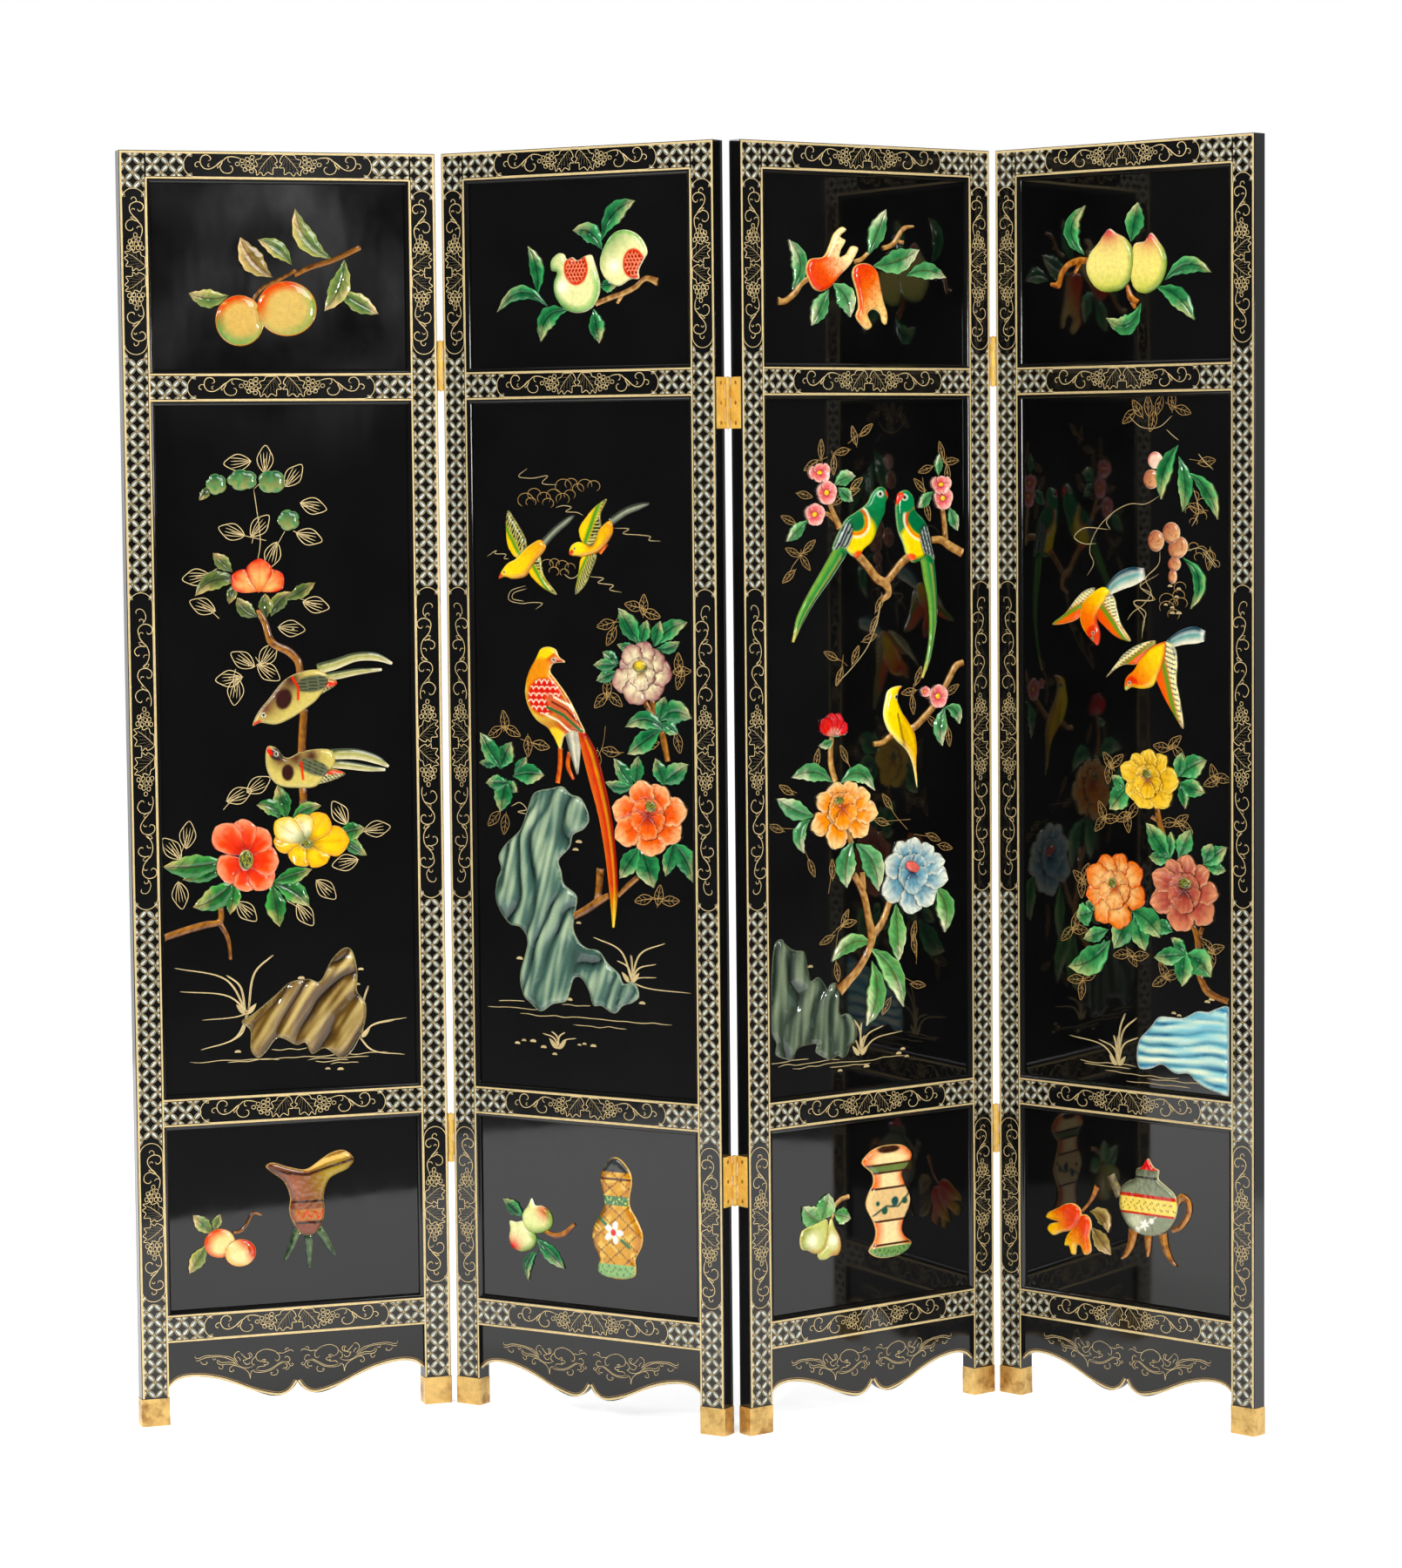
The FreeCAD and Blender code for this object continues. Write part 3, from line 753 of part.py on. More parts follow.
def front_sketch(body, name, depth, loops):
    """Closed outlines of (x, z) in the plane of the leaf, at a depth behind its face."""
    plane = [item for item in body.Origin.OriginFeatures if item.Role == "XZ_Plane"][0]
    item = body.newObject("Sketcher::SketchObject", name)
    item.AttachmentSupport = [(plane, "")]
    item.MapMode = "FlatFace"
    bind(item, "AttachmentOffset.Base.z", -depth)
    for loop in loops:
        first = item.GeometryCount
        ends = [FreeCAD.Vector(x, z, 0) for x, z in loop]
        for at, end in enumerate(ends):
            item.addGeometry(Part.LineSegment(end, ends[(at + 1) % len(ends)]), False)
        for at in range(len(ends)):
            following = first + (at + 1) % len(ends)
            item.addConstraint(Sketcher.Constraint("Coincident", first + at, 2, following, 1))
        for at, (x, z) in enumerate(loop):
            for kind, place in (("DistanceX", x), ("DistanceY", z)):
                number = item.addConstraint(
                    Sketcher.Constraint(kind, -1, 1, first + at, 1, float(place)))
                if isinstance(place, Size):
                    item.setExpression("Constraints[%d]" % number, place.text)
    return item


def pad(body, name, start, end, loops):
    """Wood between two depths of the leaf, with the given outlines."""
    outline = front_sketch(body, name + "_outline", end, loops)
    item = body.newObject("PartDesign::Pad", name)
    item.Profile = outline
    bind(item, "Length", end - start)
    doc.recompute()
    return item


def block(body, kind, name, corner, sizes):
    """A box added to a body or cut from it."""
    item = body.newObject("PartDesign::%sBox" % kind, name)
    for prop, value in zip(("Length", "Width", "Height"), sizes):
        bind(item, prop, value)
    for axis, value in zip("xyz", corner):
        bind(item, "Placement.Base." + axis, value)
    return item


def rectangle(x0, x1, z0, z1):
    return ((x0, z0), (x1, z0), (x1, z1), (x0, z1))


def round_edges(body, name, radius, wanted):
    """Rounds the edges of the body's tip whose middles the test picks."""
    doc.recompute()
    base = body.Tip
    picked = []
    for number, edge in enumerate(base.Shape.Edges, start=1):
        middle = edge.valueAt((edge.FirstParameter + edge.LastParameter) / 2)
        if wanted(middle, edge):
            picked.append("Edge%d" % number)
    item = body.newObject("PartDesign::Fillet", name)
    item.Base = (base, picked)
    bind(item, "Radius", radius)
    doc.recompute()
    return item


def near(first, second):
    return abs(float(first) - float(second)) < NEAR_SHARE * THICK


def hinge_places(joint):
    """The foot of each hinge of a joint, with the leaf that has three of its knuckles."""
    return JOINTS[joint][1]


def screw_depth_place(joint):
    """How far behind the front face the screws of a joint stand: the middle of the flat plate."""
    pin = JOINTS[joint][0]
    if joint == 2:
        return (THICK - PLATE_FAR + pin - size("knuckle_radius")) / 2
    return (PLATE_FAR + pin + size("knuckle_radius")) / 2


def stile(leaf, side):
    """An upright of the frame: its post, the beads and lips beside the three windows, and its mortises."""
    def across(place):
        return place if side == "left" else WIDTH - place

    body = new_body("leaf_%d_%s_stile" % (leaf, side))
    name = "%s_%d" % (side, leaf)
    foot = size("sabot_sheet")
    pad(body, "post_" + name, 0, THICK, [rectangle(across(0), across(MEMBER), foot, HEIGHT)])
    beads = []
    for floor, top in WINDOWS.values():
        beads.append((
            (across(MEMBER), floor),
            (across(SIGHT), floor + BEAD),
            (across(SIGHT), top - BEAD),
            (across(MEMBER), top)))
    pad(body, "bead_" + name, 0, SETBACK, beads)
    pad(body, "lip_" + name, LIP, THICK, beads)
    round_edges(body, "bead_round_" + name, smaller(BEAD, SETBACK) - size("bead_flat"),
                lambda at, edge: near(at.x, across(SIGHT)) and near(at.y, 0))

    def outer(at, edge):
        if near(at.x, across(0)) and (near(at.y, 0) or near(at.y, THICK)):
            return True
        return near(at.z, HEIGHT) and not near(at.x, across(MEMBER)) and (
            near(at.y, 0) or near(at.y, THICK) or near(at.x, across(0)))

    round_edges(body, "arris_" + name, size("edge_round"), outer)
    play = size("joint_play")
    for at, rail in enumerate(RAIL_FEET):
        deep = size("tenon_long") + play
        start = MEMBER - deep if side == "left" else WIDTH - MEMBER
        block(body, "Subtractive", "mortise_%s_%d" % (name, at),
              (start, SETBACK, rail + size("tenon_inset") - play),
              (deep, LIP - SETBACK, MEMBER - size("tenon_inset") * 2 + play * 2))
    joint = leaf if side == "right" else leaf - 1
    if joint in JOINTS:
        pilot_holes(body, name, joint, side)
    doc.recompute()
    finish(body, "leaf_%d_%s_stile" % (leaf, side), leaf)


def pilot_holes(body, name, joint, side):
    """The holes in a leaf's edge for the screws of its hinges."""
    deep = SCREW_DEPTH + size("pilot_spare")
    start = WIDTH - deep if side == "right" else -OVERRUN
    for hinge, (foot, _) in enumerate(hinge_places(joint)):
        for at, share in enumerate(SCREW_SHARES):
            item = body.newObject("PartDesign::SubtractiveCylinder", "pilot_%s_%d_%d" % (name, hinge, at))
            item.Placement = FreeCAD.Placement(FreeCAD.Vector(), ALONG_X)
            bind(item, "Radius", size("screw_radius") + size("screw_play"))
            bind(item, "Height", deep + OVERRUN)
            bind(item, "Placement.Base.x", start)
            bind(item, "Placement.Base.y", screw_depth_place(joint))
            bind(item, "Placement.Base.z", foot + HINGE_LONG * share)


def rail_bead(lower, upper):
    """The bead along a rail, mitred to those of the stiles: from its arris to its far edge."""
    return ((MEMBER, lower), (WIDTH - MEMBER, lower), (WIDTH - SIGHT, upper), (SIGHT, upper))


def rail(leaf, name, feet, beads):
    """One or two rails of a leaf with their beads, lips and tenons."""
    body = new_body("leaf_%d_%s" % (leaf, name))
    mark = "%s_%d" % (name, leaf)
    pad(body, "bar_" + mark, 0, THICK,
        [rectangle(MEMBER, WIDTH - MEMBER, foot, foot + MEMBER) for foot in feet])
    pad(body, "bead_" + mark, 0, SETBACK, beads)
    pad(body, "lip_" + mark, LIP, THICK, beads)
    far_edges = [loop[2][1] for loop in beads]
    round_edges(body, "bead_round_" + mark, smaller(BEAD, SETBACK) - size("bead_flat"),
                lambda at, edge: near(at.y, 0) and any(near(at.z, far) for far in far_edges))
    if name == "top_rail":
        round_edges(body, "arris_" + mark, size("edge_round"),
                    lambda at, edge: near(at.z, HEIGHT) and (near(at.y, 0) or near(at.y, THICK)))
    play = size("joint_play")
    long = size("tenon_long")
    for foot_at, foot in enumerate(feet):
        for end_at, start in enumerate((MEMBER - long, WIDTH - MEMBER)):
            block(body, "Additive", "tenon_%s_%d_%d" % (mark, foot_at, end_at),
                  (start, SETBACK + play, foot + size("tenon_inset")),
                  (long, LIP - SETBACK - play * 2, MEMBER - size("tenon_inset") * 2))
    if name == "bottom_rail":
        block(body, "Subtractive", "apron_groove_%d" % leaf,
              (MEMBER, APRON_TONGUE - play, feet[0] - OVERRUN),
              (OPENING, size("apron_tongue_thick") + play * 2, size("apron_tongue") + play + OVERRUN))
    doc.recompute()
    finish(body, "leaf_%d_%s" % (leaf, name), leaf)


def board(leaf, name, window):
    """A board held in the grooves round a window."""
    floor, top = WINDOWS[window]
    play = size("board_play")
    body = new_body("leaf_%d_%s" % (leaf, name))
    block(body, "Additive", "%s_wood_%d" % (name, leaf),
          (MEMBER + play, SETBACK, floor + play),
          (OPENING - play * 2, size("board_thick"), top - floor - play * 2))
    doc.recompute()
    finish(body, "leaf_%d_%s" % (leaf, name), leaf)


def spline(points):
    curve = Part.BSplineCurve()
    curve.interpolate(Points=points)
    return curve.toShape()


def apron(leaf):
    """The scalloped board between the legs, with a tongue in the rail above."""
    top = size("leg_clear")
    drop = size("apron_drop")
    setback = size("apron_setback")
    half = []
    for along, down in APRON_SHARES:
        half.append(FreeCAD.Vector(MEMBER + OPENING * along / 2, setback, top - drop * down))
    other = [FreeCAD.Vector(WIDTH - point.x, point.y, point.z) for point in reversed(half)]
    left = FreeCAD.Vector(MEMBER, setback, top)
    right = FreeCAD.Vector(WIDTH - MEMBER, setback, top)
    outline = Part.Wire([
        Part.makeLine(left, half[0]),
        spline(half),
        spline(other),
        Part.makeLine(other[-1], right),
        Part.makeLine(right, left)])
    wood = Part.Face(outline).extrude(FreeCAD.Vector(0, size("apron_thick"), 0))
    tongue = Part.makeBox(
        OPENING, size("apron_tongue_thick"), size("apron_tongue"), FreeCAD.Vector(MEMBER, APRON_TONGUE, top))
    item = doc.addObject("Part::Feature", "leaf_%d_apron" % leaf)
    item.Shape = wood.fuse(tongue).removeSplitter()
    finish(item, "leaf_%d_apron" % leaf, leaf)


def sabots(leaf):
    """The two brass covers on the feet of a leaf."""
    body = new_body("leaf_%d_sabots" % leaf)
    play = size("sabot_play")
    skin = size("sabot_sheet") + play
    tall = size("sabot_height")
    starts = {"left": 0, "right": WIDTH - MEMBER}
    for side, start in starts.items():
        block(body, "Additive", "sabot_%s_%d" % (side, leaf),
              (start - skin, -skin, 0), (MEMBER + skin * 2, THICK + skin * 2, tall))
    round_edges(body, "sabot_round_%d" % leaf, size("sabot_round"),
                lambda at, edge: not near(at.z, tall))
    for side, start in starts.items():
        block(body, "Subtractive", "sabot_hollow_%s_%d" % (side, leaf),
              (start - play, -play, size("sabot_sheet")), (MEMBER + play * 2, THICK + play * 2, tall))
    doc.recompute()
    finish(body, "leaf_%d_sabots" % leaf, leaf)


def primitive(kind, name, corner, turn=None, **sizes):
    """A Part primitive with its sizes and its place tied to the sheet."""
    item = doc.addObject("Part::" + kind, name)
    if turn is not None:
        item.Placement = FreeCAD.Placement(FreeCAD.Vector(), turn)
    for prop, value in sizes.items():
        bind(item, prop, value)
    for axis, value in zip("xyz", corner):
        bind(item, "Placement.Base." + axis, value)
    return item


def joined(kind, name, items):
    """Several objects fused or kept side by side."""
    item = doc.addObject("Part::" + kind, name)
    if kind == "MultiFuse":
        item.Shapes = items
    else:
        item.Links = items
    return item


def cut(name, base, tool):
    item = doc.addObject("Part::Cut", name)
    item.Base = base
    item.Tool = tool
    return item


def knuckle_span(foot, index):
    """The foot and the length of one knuckle's share of a hinge."""
    start = foot + HINGE_LONG * sum(KNUCKLE_SHARES[:index])
    return start, HINGE_LONG * KNUCKLE_SHARES[index]


def hinge_plate(name, joint, role, hinge):
    """One plate of a hinge with its own knuckles, its notches, its bore and its screw holes."""
    foot, three_on = hinge_places(joint)[hinge]
    pin_y = JOINTS[joint][0]
    before = role == "before"
    pin_x = WIDTH + PIN_OUT if before else -PIN_OUT
    plate_x = WIDTH if before else -PLATE
    own = (0, 2, 4) if (three_on == "next") != before else (1, 3)
    gap = size("knuckle_gap")
    radius = size("knuckle_radius")
    start_y = THICK - PLATE_FAR if joint == 2 else pin_y
    long_y = pin_y - start_y if joint == 2 else PLATE_FAR - pin_y
    brass = [primitive("Box", name + "_leaf", (plate_x, start_y, foot),
                       Length=PLATE, Width=long_y, Height=HINGE_LONG)]
    tools = [primitive("Cylinder", name + "_bore", (pin_x, pin_y, foot - OVERRUN),
                       Radius=size("pin_radius") + size("pin_play"), Height=HINGE_LONG + OVERRUN * 2)]
    for index in range(len(KNUCKLE_SHARES)):
        start, long = knuckle_span(foot, index)
        if index in own:
            brass.append(primitive("Cylinder", "%s_knuckle_%d" % (name, index),
                                   (pin_x, pin_y, start + gap / 2), Radius=radius, Height=long - gap))
        else:
            tools.append(primitive("Cylinder", "%s_notch_%d" % (name, index),
                                   (pin_x, pin_y, start - gap / 2),
                                   Radius=radius + size("notch_play"), Height=long + gap))
    play = size("screw_play")
    face_x = WIDTH + PLATE if before else -PLATE
    for at, share in enumerate(SCREW_SHARES):
        place = (face_x, screw_depth_place(joint), foot + HINGE_LONG * share)
        turn = AGAINST_X if before else ALONG_X
        tools.append(primitive("Cone", "%s_sink_%d" % (name, at), place, turn,
                               Radius1=size("screw_head") + play, Radius2=size("screw_radius") + play,
                               Height=PLATE))
    plate = joined("MultiFuse", name + "_brass", brass)
    return cut(name, plate, joined("MultiFuse", name + "_tools", tools))


def hinge_plates(leaf, joint, role):
    """The two plates that a leaf carries at one of its joints."""
    other = joint + 1 if role == "before" else joint
    name = "leaf_%d_hinge_plates_to_leaf_%d" % (leaf, other)
    pair = [hinge_plate("%s_%s" % (name, word), joint, role, hinge)
            for hinge, word in enumerate(("high", "low"))]
    finish(joined("Compound", name, pair), name, leaf)


def hinge_pins(leaf, joints):
    """The pins of the hinges at a leaf's joints, with bevelled ends."""
    pins = []
    radius = size("pin_radius")
    end = size("pin_end")
    for joint in joints:
        pin_x = WIDTH + PIN_OUT if joint == leaf else -PIN_OUT
        pin_y = JOINTS[joint][0]
        for hinge, (foot, _) in enumerate(hinge_places(joint)):
            name = "pin_%d_%d_%d" % (leaf, joint, hinge)
            shaft = primitive("Cylinder", name + "_shaft", (pin_x, pin_y, foot),
                              Radius=radius, Height=HINGE_LONG)
            top = primitive("Cone", name + "_top", (pin_x, pin_y, foot + HINGE_LONG),
                            Radius1=radius, Radius2=radius - size("pin_bevel"), Height=end)
            low = primitive("Cone", name + "_low", (pin_x, pin_y, foot - end),
                            Radius1=radius - size("pin_bevel"), Radius2=radius, Height=end)
            pins.append(joined("MultiFuse", name, [shaft, top, low]))
    name = "leaf_%d_hinge_pins" % leaf
    finish(joined("Compound", name, pins), name, leaf)


def screw(name, place, turn):
    """A countersunk wood screw with a slot, its head's face at the place given."""
    head = primitive("Cone", name + "_head", (0, 0, 0), None,
                     Radius1=size("screw_head"), Radius2=size("screw_radius"), Height=PLATE)
    shank = primitive("Cylinder", name + "_shank", (0, 0, PLATE), None,
                      Radius=size("screw_radius"), Height=SCREW_DEPTH)
    wide = size("slot_wide")
    slot = primitive("Box", name + "_slot", (-size("screw_head"), -wide / 2, -OVERRUN), None,
                     Length=size("screw_head") * 2, Width=wide, Height=size("slot_deep") + OVERRUN)
    item = cut(name, joined("MultiFuse", name + "_metal", [head, shank]), slot)
    item.Placement = FreeCAD.Placement(FreeCAD.Vector(), turn)
    for axis, value in zip("xyz", place):
        bind(item, "Placement.Base." + axis, value)
    return item


def hinge_screws(leaf):
    """All the screws in the two long edges of a leaf."""
    screws = []
    for joint in (leaf - 1, leaf):
        if joint not in JOINTS:
            continue
        before = joint == leaf
        face_x = WIDTH + PLATE if before else -PLATE
        for hinge, (foot, _) in enumerate(hinge_places(joint)):
            for at, share in enumerate(SCREW_SHARES):
                place = (face_x, screw_depth_place(joint), foot + HINGE_LONG * share)
                screws.append(screw("screw_%d_%d_%d_%d" % (leaf, joint, hinge, at), place,
                                    AGAINST_X if before else ALONG_X))
    name = "leaf_%d_hinge_screws" % leaf
    finish(joined("Compound", name, screws), name, leaf)


def window_point(window, across, up):
    """A point on the face of a board, from hundredths of the opening's width."""
    floor, top = WINDOWS[window]
    return FreeCAD.Vector(
        MEMBER + OPENING * across / 100, SETBACK, floor + (top - floor) * up / WINDOW_SHARES[window])


def window_curve(window, points, closed=False):
    """Edges of a smooth curve through share points, spaced along it as in the shares to keep its form."""
    ends = points + points[:1] if closed else points
    along = [0.0]
    for first, second in zip(ends, ends[1:]):
        along.append(along[-1] + math.dist(first, second))
    curve = Part.BSplineCurve()
    curve.interpolate(
        Points=[window_point(window, *point) for point in points],
        Parameters=along,
        PeriodicFlag=closed)
    stops = along[:-1:CURVE_RUN] + along[-1:]
    return [curve.toShape(first, second) for first, second in zip(stops, stops[1:])]


def leaf_outline(window, root, tip, width, bend):
    """A leaf: its bent midrib with a half width on each side."""
    return ribbon_outline(window, midrib(root, tip, width, bend, LEAF_HALF_SHARES), True)


def midrib(root, tip, width, bend, half_shares):
    """Points along a bent line from root to tip, with the width at each."""
    run = (tip[0] - root[0], tip[1] - root[1])
    points = [(root[0], root[1], 0)]
    steps = len(half_shares) + 1
    for step, share in enumerate(half_shares, start=1):
        along = step / steps
        aside = 4 * bend * along * (1 - along)
        points.append((
            root[0] + run[0] * along - run[1] * aside,
            root[1] + run[1] * along + run[0] * aside,
            width * share))
    points.append((tip[0], tip[1], 0))
    return points


def ribbon_sides(points):
    """The two sides of a band through points that carry its width."""
    left = []
    right = []
    for at, (across, up, width) in enumerate(points):
        first = points[max(at - 1, 0)]
        second = points[min(at + 1, len(points) - 1)]
        run = (second[0] - first[0], second[1] - first[1])
        long = math.hypot(*run)
        aside = (-run[1] / long * width / 2, run[0] / long * width / 2)
        left.append((across + aside[0], up + aside[1]))
        right.append((across - aside[0], up - aside[1]))
    return left, right


def ribbon_outline(window, points, pointed):
    left, right = ribbon_sides(points)
    right.reverse()
    up_side = window_curve(window, left)
    down_side = window_curve(window, right)
    if pointed:
        return Part.Wire(up_side + down_side)
    ends = [window_point(window, *point) for point in (left[0], left[-1], right[0], right[-1])]
    caps = [Part.makeLine(ends[1], ends[2]), Part.makeLine(ends[3], ends[0])]
    return Part.Wire(up_side + caps[:1] + down_side + caps[1:])


def petal_outline(window, root, tip, width):
    """A petal: pointed at its root and full at its outer end."""
    left, right = ribbon_sides(midrib(root, tip, width, 0, PETAL_HALF_SHARES))
    return Part.Wire(window_curve(window, left + right[-2::-1]))


def fruit_outline(window, middle, halves, tilt):
    """An ellipse, tilted to the left."""
    turn = math.radians(tilt)
    points = []
    for step in range(FRUIT_STEPS):
        angle = 2 * math.pi * step / FRUIT_STEPS
        across = halves[0] * math.cos(angle)
        up = halves[1] * math.sin(angle)
        points.append((
            middle[0] + across * math.cos(turn) - up * math.sin(turn),
            middle[1] + across * math.sin(turn) + up * math.cos(turn)))
    return Part.Wire(window_curve(window, points, closed=True))


def form_outline(window, points):
    """A free form: a smooth closed curve."""
    return Part.Wire(window_curve(window, list(points), closed=True))


def twig_outline(window, points):
    return ribbon_outline(window, points, False)


OUTLINES = {
    "leaf": leaf_outline,
    "petal": petal_outline,
    "twig": twig_outline,
    "fruit": fruit_outline,
    "form": form_outline,
}


def relief_solids(leaf, window):
    """The carved pieces on one board, side by side, none passing under another."""
    floor, top = WINDOWS[window]
    edge = BEAD + size("relief_margin")
    corner = FreeCAD.Vector(MEMBER + edge, SETBACK, floor + edge)
    frame = Part.makePlane(OPENING - edge * 2, top - floor - edge * 2, corner, FreeCAD.Vector(0, -1, 0),
                           FreeCAD.Vector(1, 0, 0))
    least = OPENING * OPENING * LEAST_SHARE
    laid = []
    solids = []
    for kind, *shape in RELIEF_SHARES[(leaf, window)]:
        face = Part.Face(OUTLINES[kind](window, *shape))
        pieces = [face]
        if not frame.BoundBox.isInside(face.BoundBox):
            pieces = face.common(frame).Faces
        for other in laid:
            if not other.BoundBox.intersect(face.BoundBox):
                continue
            pieces = [part for piece in pieces for part in piece.cut(other).Faces]
        pieces = [piece for piece in pieces if piece.Area > least]
        height = size(RELIEF_SIZES[kind])
        for piece in pieces:
            laid.append(piece)
            solids.append(piece.extrude(FreeCAD.Vector(0, -height, 0)))
    return solids


def reliefs(leaf, name, windows):
    solids = []
    for window in windows:
        solids += relief_solids(leaf, window)
    item = doc.addObject("Part::Feature", "leaf_%d_%s" % (leaf, name))
    item.Shape = Part.makeCompound(solids)
    finish(item, "leaf_%d_%s" % (leaf, name), leaf)


ALONG_X = FreeCAD.Rotation(FreeCAD.Vector(0, 1, 0), 90)
AGAINST_X = FreeCAD.Rotation(FreeCAD.Vector(0, 1, 0), -90)
FRUIT_STEPS = 12
CURVE_RUN = 6
LEAST_SHARE = 0.00002
APRON_TONGUE = size("apron_setback") + (size("apron_thick") - size("apron_tongue_thick")) / 2
RAIL_FEET = (size("leg_clear"), LOW_TOP, TALL_TOP, TOP_TOP)

for leaf in LEAVES:
    stile(leaf, "left")
    stile(leaf, "right")
    rail(leaf, "bottom_rail", [RAIL_FEET[0]], [rail_bead(LOW_FLOOR, LOW_FLOOR + BEAD)])
    rail(leaf, "middle_rails", [RAIL_FEET[1], RAIL_FEET[2]], [
        rail_bead(LOW_TOP, LOW_TOP - BEAD),
        rail_bead(TALL_FLOOR, TALL_FLOOR + BEAD),
        rail_bead(TALL_TOP, TALL_TOP - BEAD),
        rail_bead(TOP_FLOOR, TOP_FLOOR + BEAD)])
    rail(leaf, "top_rail", [RAIL_FEET[3]], [rail_bead(TOP_TOP, TOP_TOP - BEAD)])
    board(leaf, "bottom_board", "low")
    board(leaf, "middle_board", "tall")
    board(leaf, "top_board", "top")
    apron(leaf)
    sabots(leaf)
    reliefs(leaf, "garden_relief", ["tall"])
    reliefs(leaf, "fruit_reliefs", ["low", "top"])
    if leaf in JOINTS:
        hinge_plates(leaf, leaf, "before")
    if leaf - 1 in JOINTS:
        hinge_plates(leaf, leaf - 1, "after")
    hinge_screws(leaf)
hinge_pins(2, (1, 2))
hinge_pins(3, (3,))
doc.recompute()


def leaf_placements():
    """Where each leaf stands: every leaf turns about the pins that it shares with the last one."""
    yaw = float(size("first_yaw"))
    corner = FreeCAD.Vector()
    placements = {1: FreeCAD.Placement(corner, FreeCAD.Rotation(FreeCAD.Vector(0, 0, 1), yaw))}
    pins = {}
    for joint, turn in TURNS.items():
        pin_y = JOINTS[joint][0]
        pin = placements[joint].multVec(FreeCAD.Vector(WIDTH + PIN_OUT, pin_y, 0))
        yaw += float(turn)
        rotation = FreeCAD.Rotation(FreeCAD.Vector(0, 0, 1), yaw)
        corner = pin - rotation.multVec(FreeCAD.Vector(-PIN_OUT, pin_y, 0))
        placements[joint + 1] = FreeCAD.Placement(corner, rotation)
        pins[joint] = pin
    return placements, pins


placements, pins = leaf_placements()
for item, leaf in subparts:
    item.Placement = placements[leaf]
doc.recompute()

# The origin is on the floor, under the middle of the whole screen.
around = FreeCAD.BoundBox()
for item, leaf in subparts:
    around.add(item.Shape.optimalBoundingBox(False))
shift = FreeCAD.Vector(-around.Center.x, -around.Center.y, 0)
for item, leaf in subparts:
    item.Placement = FreeCAD.Placement(placements[leaf].Base + shift, placements[leaf].Rotation)
doc.recompute()

for item in doc.Objects:
    if "Invalid" in item.State or "Error" in item.State:
        raise RuntimeError("%s did not build" % item.Label)
for item, leaf in subparts:
    if item.Shape.isNull() or not item.Shape.isValid() or not item.Shape.Solids:
        raise RuntimeError("%s has no sound shape" % item.Label)

os.makedirs("parts", exist_ok=True)
for item, leaf in subparts:
    item.Shape.exportStep("parts/%s.step" % item.Label)
for joint, pin in pins.items():
    print("joint", joint, "pins at", [round(value, 3) for value in pin + shift])
for leaf in LEAVES:
    print("leaf", leaf, "stands at", [round(value, 3) for value in placements[leaf].Base + shift],
          "turned", round(math.degrees(placements[leaf].Rotation.Angle), 3))
print("size", [round(value, 3) for value in (around.XLength, around.YLength, around.ZMin, around.ZMax)])
print("sub-parts", len(subparts))
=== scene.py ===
"""A four-leaf black lacquer screen: gilt frames, painted boards, carved reliefs and brass, in metres."""

import math
import random

import bpy
import numpy as np
from mathutils import Matrix, Vector
from mathutils import noise as mathutils_noise
from mathutils.geometry import delaunay_2d_cdt


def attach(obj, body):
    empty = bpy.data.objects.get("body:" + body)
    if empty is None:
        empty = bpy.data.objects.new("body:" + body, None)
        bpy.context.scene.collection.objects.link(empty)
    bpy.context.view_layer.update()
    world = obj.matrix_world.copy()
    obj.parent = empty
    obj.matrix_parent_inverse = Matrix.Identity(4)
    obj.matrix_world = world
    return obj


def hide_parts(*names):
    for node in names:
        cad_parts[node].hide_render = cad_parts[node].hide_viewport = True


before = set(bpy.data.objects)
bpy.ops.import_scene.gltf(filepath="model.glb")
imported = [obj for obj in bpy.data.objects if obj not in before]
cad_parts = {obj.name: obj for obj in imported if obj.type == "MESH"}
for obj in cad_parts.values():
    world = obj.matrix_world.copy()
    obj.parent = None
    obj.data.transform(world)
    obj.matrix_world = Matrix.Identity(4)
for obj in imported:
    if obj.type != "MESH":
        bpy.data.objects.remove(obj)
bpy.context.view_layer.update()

MM = 0.001
LEAVES = (1, 2, 3, 4)
# Where each leaf stands: its front lower left corner in millimetres, and its turn in degrees.
LEAF_AT = {
    1: (-798.593, -39.961, 18.643),
    2: (-351.951, 106.708, -31.726),
    3: (78.292, -134.291, 37.706),
    4: (452.481, 147.861, -43.142),
}
# A leaf in millimetres: its size, the width of its members, and the opening between its stiles.
WIDTH, HEIGHT, MEMBER, OPENING = 462.0, 1829.0, 40.0, 382.0
# The height of its legs, how far in from its edge the boards come into sight, and how far they lie behind the
# face of its frame.
LEG, SIGHT, BOARD_FACE = 120.0, 46.0, 6.0
# The foot and the top of each opening, and its height in hundredths of the opening's width.
WINDOWS = {"low": (160.0, 434.0), "tall": (474.0, 1474.0), "top": (1514.0, 1789.0)}
WINDOW_SHARES = {"top": 72.0, "tall": 261.8, "low": 71.7}
# The lower edge of each rail.
RAILS = (120.0, 434.0, 1474.0, 1789.0)
UNIT = OPENING / 100


def leaf_matrix(leaf):
    """From a leaf's own place to the room."""
    x, y, turn = LEAF_AT[leaf]
    return Matrix.Translation((x * MM, y * MM, 0)) @ Matrix.Rotation(math.radians(turn), 4, "Z")


def srgb(red, green, blue):
    """A colour as a screen shows it, made linear."""
    def linear(value):
        value /= 255
        return value / 12.92 if value <= 0.04045 else ((value + 0.055) / 1.055) ** 2.4
    return np.array((linear(red), linear(green), linear(blue)))


